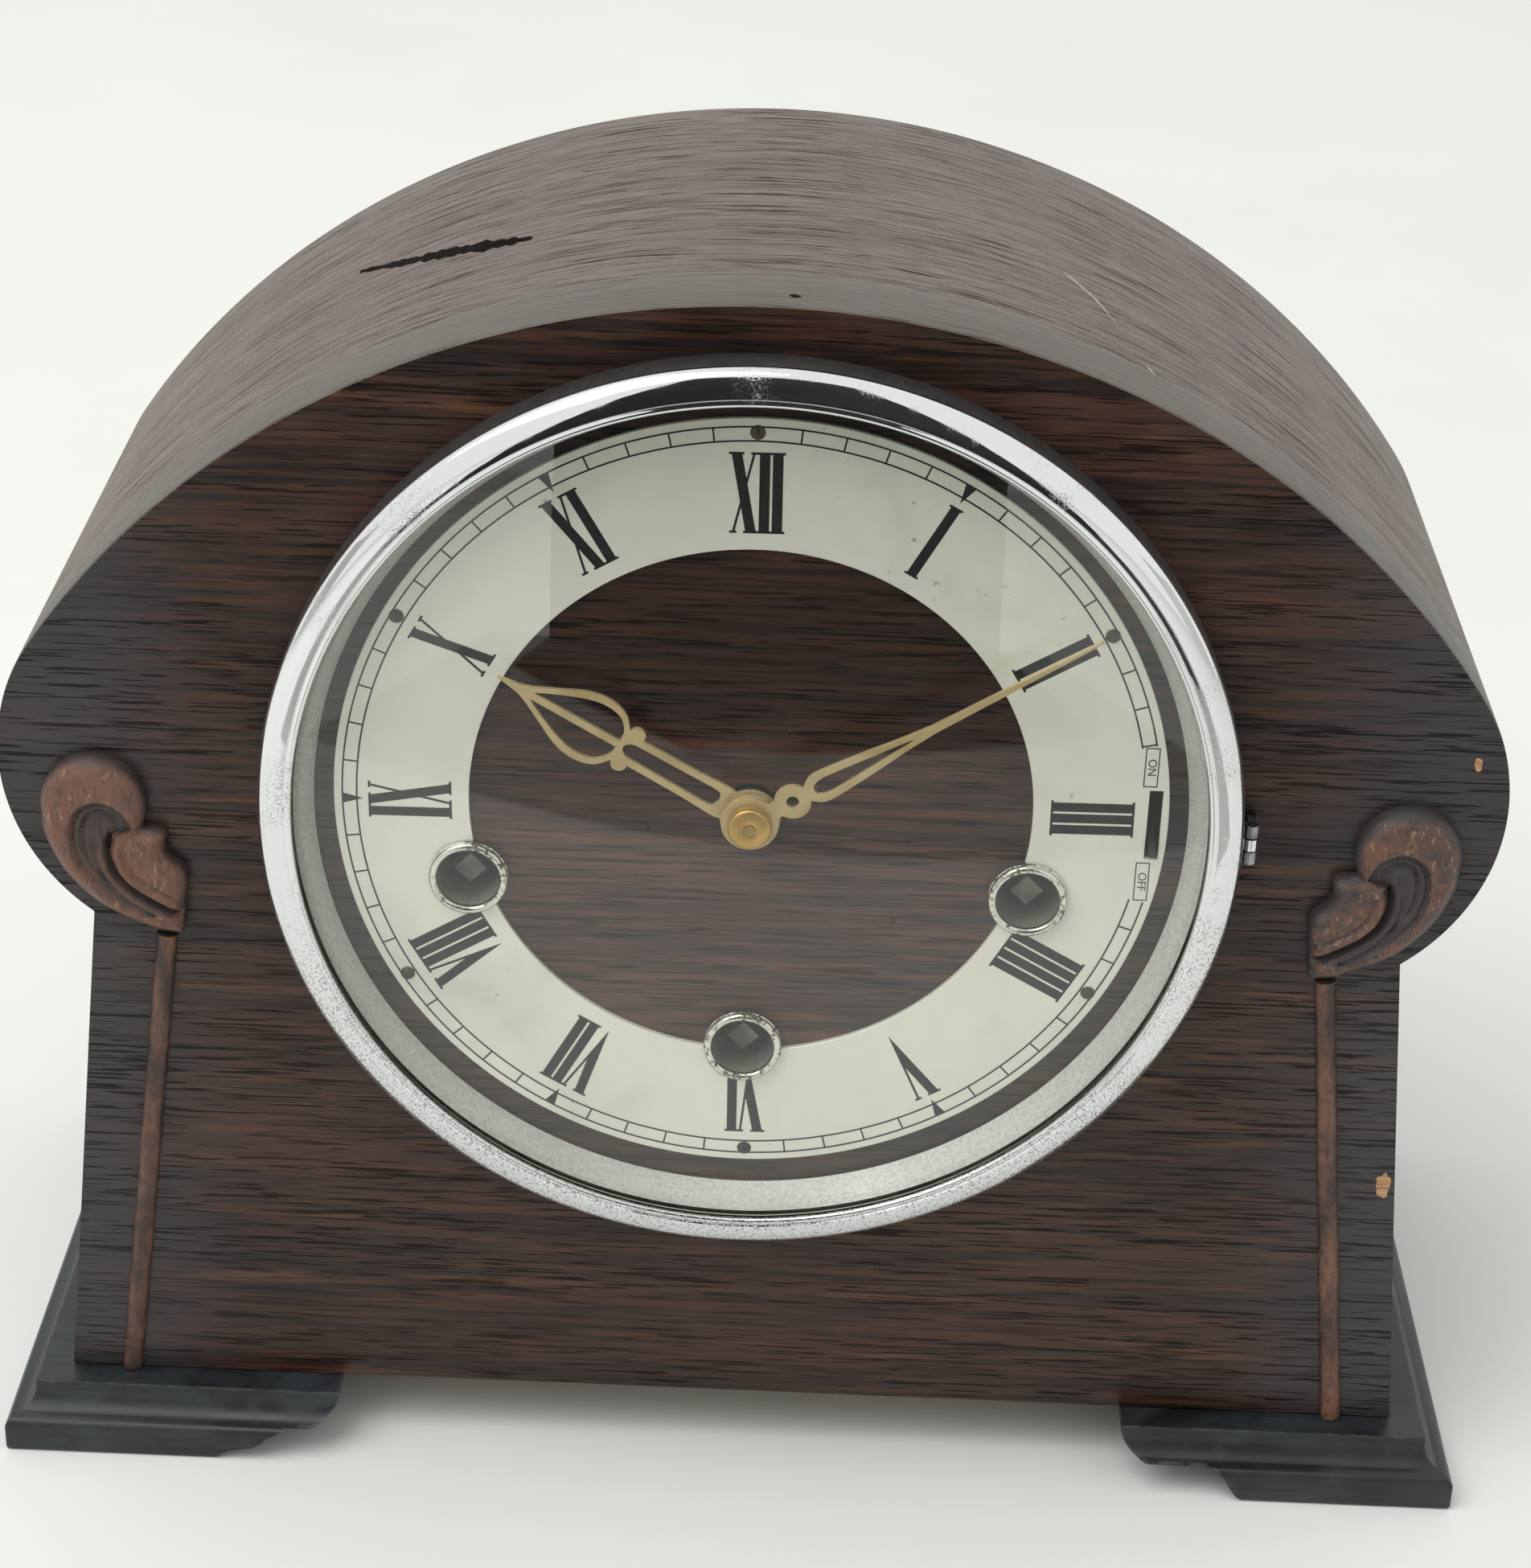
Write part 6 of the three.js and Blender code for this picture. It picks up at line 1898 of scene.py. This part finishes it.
    def collet(self, name: str, x: float, z: float) -> None:
        """Flanged tube and its lining round one winding hole.

        Args:
            name: word that starts the names of the pieces.
            x, z: middle of the hole.
        """
        seat, back = self.front - GAP, self.collet_back
        middle = seat - self.flange_rise
        flange = arc(self.flange_at, middle, self.flange_round, -0.9, 3.6, 12)
        nose = [(r, min(2 * middle - d, seat)) for r, d in flange]
        profile = [(self.collet_bore, back), (self.collet_tube, back), (self.collet_tube, seat),
                   (self.collet_rim, seat), *nose, (self.collet_bore, seat - 0.4)]
        Blank().lathe(profile, x, z, 64).fit(f"{name}_winding_collet", COLLET_PLATE, "case",
                                             [f"{name}_collet"], crease=RING_CREASE)
        sleeve = [(self.sleeve_bore, seat - 0.3), (self.sleeve_tube, seat - 0.3),
                  (self.sleeve_tube, back), (self.sleeve_bore, back)]
        Blank().lathe(sleeve, x, z, 48).fit(f"{name}_winding_sleeve", SLEEVE, "case")


@dataclass
class Hands:
    """Brass hands, pierced and tapered, with the round nut that holds them."""

    thick: float = 0.8
    hour_front: float = -4.7
    minute_front: float = -6.9
    hour_turn: float = 300.0
    minute_turn: float = 57.5
    edge_round: float = 0.16
    boss_bore: float = 2.4
    boss_radius: float = 4.5
    boss_rise: float = 0.6
    nut_bore: float = 1.0
    nut_radius: float = 3.75
    nut_round: float = 0.55
    nut_wall: float = 1.45
    tip_radius: float = 0.98

    def build(self) -> None:
        """Builds both hands and the nut."""
        self.hour()
        self.boss()
        self.minute()
        self.nut()

    def mirrored(self, right: Outline) -> Outline:
        """A closed outline from its right half, which runs from foot to tip."""
        return [*right, *[(-x, z) for x, z in reversed(right) if x > ON_AXIS]]

    def hour(self) -> None:
        """Hour hand: two rails, two balls, a pear-shaped loop with a rib, and a point."""
        rails = ((2.6, 3.6), (3.1, 6.0), (2.85, 12.0), (2.75, 22.0), (2.75, 25.2))
        pear = ((3.4, 26.2), (5.6, 28.2), (6.55, 31.6), (5.9, 35.6), (3.6, 40.2), (1.5, 44.2))
        point = ((0.75, 46.2), (0.12, 50.2), (0.0, 50.4))
        body = self.mirrored([(0.0, 3.0), *smooth_line(rails, 5), *smooth_line(pear, 6), *point])
        balls = [circle(side.value * 3.1, 24.6, 1.45, 20) for side in Side]
        gap = ((0.9, 6.6), (1.6, 7.6), (1.55, 14.0), (1.45, 22.4), (1.3, 24.4), (0.6, 25.4))
        slit = self.mirrored([(0.0, 6.3), *smooth_line(gap, 4), (0.0, 25.6)])
        loops = []
        for side in Side:
            half = smooth_line([(0.65, 26.6), (2.6, 26.9), (4.6, 28.7), (5.25, 31.6), (4.7, 35.0),
                                (2.9, 39.4), (0.95, 43.2), (0.65, 43.2)], 6)
            loops.append([(side.value * x, z) for x, z in half])
        shapes = [circle(0, 0, 5.25, 48), body, *balls]
        holes = [circle(0, 0, 4.0, 40), slit, *loops]
        self.plate("hour", shapes, holes, self.hour_front, self.hour_turn)

    def boss(self) -> None:
        """Raised ring on the hour hand, round the end of its pipe."""
        back, front = self.hour_front - 0.03, self.hour_front - self.boss_rise
        bore, rim, soft = self.boss_bore, self.boss_radius, 0.2
        profile = [(bore, back), (rim, back), (rim, front + soft), (rim - soft, front),
                   (bore + soft, front), (bore, front + soft)]
        Blank().lathe(profile, steps=48).fit("hour_hand_boss", HAND_BRASS, "hour", crease=RING_CREASE)

    def minute(self) -> None:
        """Minute hand: an eye, a slim loop and a long blade."""
        neck = rectangle(-1.5, 1.5, 3.0, 7.0)
        side = ((1.5, 11.6), (2.75, 13.6), (2.75, 17.0), (2.05, 24.0), (1.2, 31.0), (0.72, 36.5))
        blade = ((0.5, 52.0), (0.22, 68.9), (0.0, 69.0))
        loop = self.mirrored([(0.0, 11.2), *smooth_line(side, 6), *blade])
        gap = ((0.85, 13.2), (1.45, 14.8), (1.4, 17.4), (0.85, 24.0), (0.2, 31.6))
        slit = self.mirrored([(0.0, 12.9), *smooth_line(gap, 6), (0.0, 32.6)])
        shapes = [circle(0, 0, 5.0, 48), neck, circle(0, 8.6, 3.2, 32), loop]
        holes = [circle(0, 0, 2.1, 32), circle(0, 8.6, 1.1, 20), slit]
        self.plate("minute", shapes, holes, self.minute_front, self.minute_turn)

    def plate(
        self,
        body: str,
        shapes: Sequence[Outline],
        holes: Sequence[Outline],
        front: float,
        turn: float,
    ) -> None:
        """Cuts a hand from sheet and turns it to its hour.

        Args:
            body: body that it rides on, which starts its name.
            shapes, holes: outlines with the hand pointing up.
            front: depth of its face.
            turn: clockwise angle from twelve, in degrees.
        """
        shapes, holes = ([turned(line, turn) for line in lines] for lines in (shapes, holes))
        sheet = Blank().slab(shapes, front, front + self.thick, holes)
        sheet.fit(f"{body}_hand_brass", HAND_BRASS, body, [f"{body}_hand"], self.edge_round)

    def nut(self) -> None:
        """Round nut with a softened edge, and the arbor's tip in the small hole of its face."""
        back, soft = self.minute_front - GAP, self.nut_round
        rim = [(self.nut_radius - soft + soft * math.cos(a), back - self.nut_wall - soft * math.sin(a))
               for a in (RIGHT_ANGLE * i / 6 for i in range(7))]
        face = [(2.2, back - 2.12), (1.3, back - 2.2), (1.05, back - 2.1), (self.nut_bore, back - 0.5)]
        profile = [(self.nut_bore, back), (self.nut_radius, back), *rim, *face]
        Blank().lathe(profile, steps=64).fit(
            "domed_hand_nut", NUT_BRASS, "minute", ["hand_nut"], crease=TURNED_CREASE)
        tip = [(0.0, back - 1.5), (0.55, back - 1.45), (self.tip_radius, back - 1.2),
               (self.tip_radius, back), (0.0, back)]
        Blank().lathe(tip, steps=32).fit("centre_arbor_tip", IRON, "minute", crease=TURNED_CREASE)


@dataclass
class FrontDoor:
    """Glazed front door: plated ring, matt sight ring, domed glass and hinge."""

    drop: float = -1.5
    radius: float = 85.2
    back_radius: float = 84.9
    back: float = -0.3
    shoulder: float = -7.2
    face: float = 5.0
    rise: float = 2.9
    wall: float = 1.3
    rim: float = 0.7
    rim_clear: float = 0.02
    lip: float = 79.0
    bead_at: float = 79.62
    bead_radius: float = 0.62
    groove_at: float = 80.25
    groove_deep: float = 0.22
    ring_steps: int = 320
    sight_inner: float = 76.0
    sight_thick: float = 0.8
    sight_outer: float = 82.0
    sight_front: float = -6.3
    sight_back: float = -0.95
    sight_steps: int = 256
    # A thin dark ring of painted shadow, in the gap between the bezel's lip and the glass.
    seam: Flat = (78.9, 81.2)
    seam_depth: Flat = (-6.42, -6.32)
    glass_edge: float = 79.3
    glass_front: float = -8.2
    glass_rise: float = 8.4
    glass_thick: float = 1.6
    knuckle_x: float = 86.8
    knuckle_y: float = -4.0
    knuckle_radius: float = 1.3
    knuckle_tall: float = 7.4
    lug_half: float = 0.55
    leaf_round: float = 0.12
    pin_round: float = 0.1

    def build(self) -> None:
        """Builds the door."""
        self.ring()
        self.sight()
        self.glass()
        dress("bezel_hinge_leaf", HINGE_STEEL, self.leaf_round)
        dress("bezel_hinge_pin", STEEL, self.pin_round)

    def bow(self, across: float, rise: float, start: float, end: float, steps: int) -> Outline:
        """Part of the ring's bowed face, which is a quarter of an ellipse.

        Args:
            across, rise: half sizes of the ellipse.
            start, end: shares of the quarter, from 0 at the wall to 1 at the crest.
            steps: number of straight steps.

        Returns:
            Points as radius and depth.
        """
        seat = self.radius - self.face
        return [
            (seat + across * math.cos(a), self.shoulder - rise * math.sin(a))
            for a in (RIGHT_ANGLE * (start + (end - start) * i / steps) for i in range(steps + 1))
        ]

    def ring(self) -> None:
        """Hollow ring with a bowed face and a beaded lip, the knuckle of its hinge, and the rim, drawn
        in dark dull plating that is partly painted shade.
        """
        crest, brim = self.shoulder - self.rise, self.shoulder + 0.3
        seat = self.radius - self.rim - self.rim_clear
        profile = [
            (seat, self.back), (seat, brim), (self.radius - 0.05, brim),
            *self.bow(self.face, self.rise, 0.0, 0.96, 18),
            (self.groove_at, crest + self.groove_deep),
            *arc(self.bead_at, crest + self.bead_radius, self.bead_radius, -0.9, -math.pi, 9),
            (self.lip, crest + 1.0),
            *self.bow(self.face - self.wall, self.rise - self.wall, 1.0, 0.0, 8),
            (self.back_radius - self.wall, self.back),
        ]
        blank = Blank().lathe(profile, 0.0, self.drop, self.ring_steps)
        tall = self.knuckle_tall / 6 - GAP / 2
        lug = rectangle(self.radius - 1.0, self.knuckle_x - 0.8,
                        self.knuckle_y - self.lug_half, self.knuckle_y + self.lug_half)
        for outline in (lug, circle(self.knuckle_x, self.knuckle_y, self.knuckle_radius, 24)):
            blank.tube([
                [blank.add(x, y, self.drop + lift) for x, y in outline] for lift in (-tall, tall)
            ])
        blank.fit("plated_bezel", CHROME, "front_door", ["bezel_ring"], crease=TURNED_CREASE)
        # The rim's dark plating is partly painted shade on the bezel's outer wall.
        bore, outside, top = seat + self.rim_clear, self.radius - 0.03, self.shoulder + 0.35
        rim = [(self.back_radius, self.back), (self.back_radius + 0.1, -1.0), (outside, -5.6),
               (outside, top), (bore, top), (bore, self.back)]
        Blank().lathe(rim, 0.0, self.drop, self.ring_steps).fit("bezel_rim", SHADED_DULL_PLATE, "front_door")

    def sight(self) -> None:
        """Matt cone between the glass and the dial, and a thin dark ring of painted shadow behind the
        glass.
        """
        front, back, inner = self.sight_front, self.sight_back, self.sight_inner
        t = self.sight_thick
        profile = [(self.lip - 0.2, front + 0.1), (inner + 0.25, back - 0.25), (inner, back),
                   (inner + t, back), (self.lip + 2 * t, front + t), (self.sight_outer, front + t),
                   (self.sight_outer, front), (self.lip, front)]
        Blank().lathe(profile, 0.0, self.drop, self.sight_steps).fit(
            "matt_sight_ring", SIGHT_SILVER, "front_door", ["sight_ring"], crease=TURNED_CREASE)
        # Painted shadow: a dark ring in the gap inside the bezel's lip.
        seam = rectangle(*self.seam, *self.seam_depth)
        Blank().lathe(seam, 0.0, self.drop, self.sight_steps).fit(
            "painted_shadow_ring", PIN_HEAD, "front_door")

    def glass(self) -> None:
        """Glass dome of even thickness."""
        bend = (self.glass_edge ** 2 + self.glass_rise ** 2) / (2 * self.glass_rise)
        top = self.glass_front - self.glass_rise
        steps = 40
        face = []
        for i in range(steps + 1):
            r = self.glass_edge * i / steps
            face.append((r, top + bend - math.sqrt(bend ** 2 - r ** 2)))
        rear = [(r, d + self.glass_thick) for r, d in reversed(face)]
        Blank().lathe([*face, *rear], 0.0, self.drop, 192).fit("domed_glass", GLAZING, "front_door",
                                                              ["bezel_glass"], crease=TURNED_CREASE)


# Back and movement


@dataclass
class Back:
    """Back board with its door, hinge, catch and screws."""

    face: float = 108.0
    panel_round: float = 0.25
    door_round: float = 0.4
    brass_round: float = 0.15
    leaf_thick: float = 1.2
    board_screw: float = 2.6
    board_spots: Marks = ((112.0, -116.0), (104.0, -50.0), (96.0, 36.0), (44.0, 76.0))
    hinge_screw: float = 1.7
    hinge_spots: Marks = ((74.5, -33.0), (74.5, -17.5), (74.5, 5.0))
    leaf_screw: float = 1.5
    leaf_spots: Marks = ((58.5, -16.4), (58.5, -9.6))

    def build(self) -> None:
        """Dresses the back and adds its screws."""
        dress("back_panel", PLY, self.panel_round)
        dress("back_door", PLY, self.door_round)
        for node in ("back_hinge", "door_leaf", "door_catch"):
            dress(node, BRASS, self.brass_round)
        leaf = self.face + GAP + self.leaf_thick
        board = [(side.value * x, z) for side in Side for x, z in self.board_spots]
        for kind, spots, seat, radius, body, turn in (
            ("board", board, self.face, self.board_screw, "case", 37.0),
            ("hinge", self.hinge_spots, leaf, self.hinge_screw, "case", 50.0),
            ("leaf", self.leaf_spots, leaf, self.leaf_screw, "rear_door", 64.0),
        ):
            for number, (x, z) in enumerate(spots, 1):
                self.screw(f"{kind}_screw_{number}", x, seat, z, radius, body, turn * number)

    def screw(
        self, name: str, x: float, y: float, z: float, radius: float, body: str, turn: float
    ) -> None:
        """A slotted screw head seen from behind.

        Args:
            name: name of the piece.
            x, y, z: place of its seat.
            radius: radius of the head.
            body: body that it rides on.
            turn: angle of the slot in degrees.
        """
        rise, slot = radius * 0.34, radius * 0.13
        dome = [(radius, 0.0), (radius, 0.25), (radius * 0.86, 0.72), (radius * 0.55, 0.94), (0.0, 1.0)]
        head = Blank().lathe([(r, y + rise * lift) for r, lift in dome] + [(0.0, y)], x, z, 28)
        angle = math.radians(turn)
        c, s = math.cos(angle), math.sin(angle)
        level = rectangle(-radius * 2, radius * 2, -slot, slot)
        groove = [(x + u * c - v * s, z + u * s + v * c) for u, v in level]
        cutter = Blank().slab([groove], y + rise * 0.45, y + rise * 2)
        head.fit(name, BRASS, body, crease=TURNED_CREASE, cutters=[cutter])


@dataclass
class Movement:
    """Plates, trains, pendulum, hammers and rods behind the dial."""

    brass: tuple[str, ...] = (
        "front_plate", "back_plate", "pendulum_cock", "chime_bracket", "centre_wheel", "hour_wheel",
        "minute_wheel", "intermediate_wheel", "time_barrel", "third_wheel", "escape_wheel", "pendulum",
        "rating_nut", "strike_barrel", "chime_barrel", "chime_drum")
    arbors: tuple[str, ...] = ("time_arbor", "strike_arbor", "chime_arbor")
    steel: tuple[str, ...] = (
        "pallets", "hammer_arbor",
        *(f"hammer_{i}" for i in range(1, 5)), *(f"chime_rod_{i}" for i in range(1, 5)))
    arbor_round: float = 0.15
    block_round: float = 0.5

    def build(self) -> None:
        """Dresses the movement."""
        for node in self.brass:
            dress(node, BRASS)
        for node in self.steel:
            dress(node, STEEL)
        for node in self.arbors:
            dress(node, ARBOR_STEEL, self.arbor_round)
        dress("gong_block", IRON, self.block_round)


# Stage


@dataclass
class Studio:
    """Pale floor, soft light, cards and the camera of the photograph, in metres."""

    eye: Triple = (0.006898, -0.57886, 0.42008)
    look: Triple = (-0.00749, 0.88699, -0.46172)
    up: Triple = (-0.04043, 0.46109, 0.88643)
    lens: float = 79.1
    sensor: float = 36.0
    near: float = 0.02
    floor_half: float = 4.0
    table_height: float = 0.002
    shade_height: float = 0.003
    table_left: float = -0.371
    table_right: float = -0.269
    shade_edge: float = -0.465
    shade_cut: float = -0.62
    shade_left: float = -0.05
    room_back: float = -0.75
    room_left: float = -0.21
    room_right: float = 0.23
    room_top: float = 1.0
    table_half: float = 0.27
    wall_x: float = 0.95
    wall_y: Flat = (-0.75, -0.2)
    wall_z: Flat = (0.12, 0.42)
    sky: float = 0.77
    sky_colour: Colour = (0.985, 1.0, 0.975)
    window: Triple = (-0.9, -0.7, 1.9)
    window_size: float = 1.6
    window_power: float = 21.0

    def build(self) -> None:
        """Sets the stage."""
        bpy.context.scene.view_settings.view_transform = "Standard"
        self.camera()
        self.floor()
        self.room()
        self.world()
        self.lamp("window", self.window, self.window_size, self.window_power)

    def camera(self) -> None:
        """Camera at the photograph's place."""
        data = bpy.data.cameras.new("camera")
        data.lens = self.lens
        data.sensor_width = self.sensor
        data.clip_start = self.near
        camera = bpy.data.objects.new("camera", data)
        set_out(camera)
        back = -Vector(self.look).normalized()
        right = Vector(self.up).cross(back).normalized()
        up = back.cross(right)
        turn = Matrix((right, up, back)).transposed().to_4x4()
        camera.matrix_world = Matrix.Translation(self.eye) @ turn
        bpy.context.scene.camera = camera

    def sheet(self, name: str, corners: Sequence[Triple], finish: Finish) -> bpy.types.Object:
        """A flat sheet of the stage.

        Args:
            name: name of the sheet.
            corners: its corners in order.
            finish: finish that dresses it.

        Returns:
            The sheet.
        """
        mesh = bpy.data.meshes.new(name)
        mesh.from_pydata([Vector(c) for c in corners], [], [tuple(range(len(corners)))])
        mesh.materials.append(dressed(finish))
        made = bpy.data.objects.new(name, mesh)
        set_out(made)
        return made

    def floor(self) -> None:
        """Pale floor under the clock."""
        h = self.floor_half
        self.sheet("floor", ((-h, -h, 0), (h, -h, 0), (h, h, 0), (-h, h, 0)), PAPER)

    def room(self) -> None:
        """Dim screen, table, its shade and side walls, which only polish and glass show."""
        left, right, back, half = self.room_left, self.room_right, self.room_back, self.table_half
        screen = [(x, back, z) for x, z in rectangle(left, right, 0.0, self.room_top)]
        table = [(x, y, self.table_height) for x, y in (
            (-half, self.table_left), (half, self.table_right), (half, back), (-half, back))]
        shade = [(x, y, self.shade_height) for x, y in (
            (self.shade_left, self.shade_edge), (right, self.shade_edge), (right, back), (left, back),
            (left, self.shade_cut))]
        cards = [
            self.sheet("room_screen", screen, DARK_ROOM),
            self.sheet("room_table", table, GREY_TABLE),
            self.sheet("room_shade", shade, DARK_ROOM),
        ]
        for side in Side:
            wall = [(side.value * self.wall_x, y, z) for y, z in rectangle(*self.wall_y, *self.wall_z)]
            cards.append(self.sheet(f"room_{side.word}", wall, PALE_WALL))
        for card in cards:
            card.visible_camera = False
            card.visible_diffuse = False
            card.visible_shadow = False

    def world(self) -> None:
        """White surroundings, plain for the camera and for polish, softer as light."""
        world = bpy.data.worlds.new("surroundings")
        bpy.context.scene.world = world
        world.use_nodes = True
        tree = world.node_tree
        tree.nodes.clear()
        out = tree.nodes.new("ShaderNodeOutputWorld")
        sky = tree.nodes.new("ShaderNodeBackground")
        sky.inputs["Color"].default_value = (*self.sky_colour, 1.0)
        path = tree.nodes.new("ShaderNodeLightPath")
        seen = path.outputs["Is Camera Ray"]
        for other in ("Is Glossy Ray", "Is Transmission Ray"):
            join = tree.nodes.new("ShaderNodeMath")
            join.operation = "MAXIMUM"
            tree.links.new(seen, join.inputs[0])
            tree.links.new(path.outputs[other], join.inputs[1])
            seen = join.outputs[0]
        level = tree.nodes.new("ShaderNodeMapRange")
        tree.links.new(seen, level.inputs["Value"])
        level.inputs["To Min"].default_value = self.sky
        level.inputs["To Max"].default_value = 1.0
        tree.links.new(level.outputs[0], sky.inputs["Strength"])
        tree.links.new(sky.outputs[0], out.inputs["Surface"])

    def lamp(self, name: str, spot: Triple, size: float, power: float) -> None:
        """A large soft lamp that faces the clock.

        Args:
            name: name of the lamp.
            spot: its place.
            size: side of its square.
            power: its power in watts.
        """
        data = bpy.data.lights.new(name, "AREA")
        data.size = size
        data.energy = power
        lamp = bpy.data.objects.new(name, data)
        set_out(lamp)
        lamp.location = spot
        aim = Vector((0.0, 0.0, DIAL_HEIGHT)) - Vector(spot)
        lamp.rotation_mode = "QUATERNION"
        lamp.rotation_quaternion = aim.to_track_quat("-Z", "Y")


class Part(Protocol):
    """A sub-assembly that builds its own pieces."""

    def build(self) -> None:
        """Builds the pieces."""


def main() -> None:
    """Sets the stage and builds the clock piece by piece."""
    logging.basicConfig(level=logging.INFO, format="%(message)s")
    parts: Sequence[Part] = (
        Studio(), Case(), Carvings(), Feet(), Dial(), Hands(), FrontDoor(), Back(), Movement())
    for part in parts:
        log.info("%s", type(part).__name__)
        part.build()


if __name__ == "__main__":
    main()
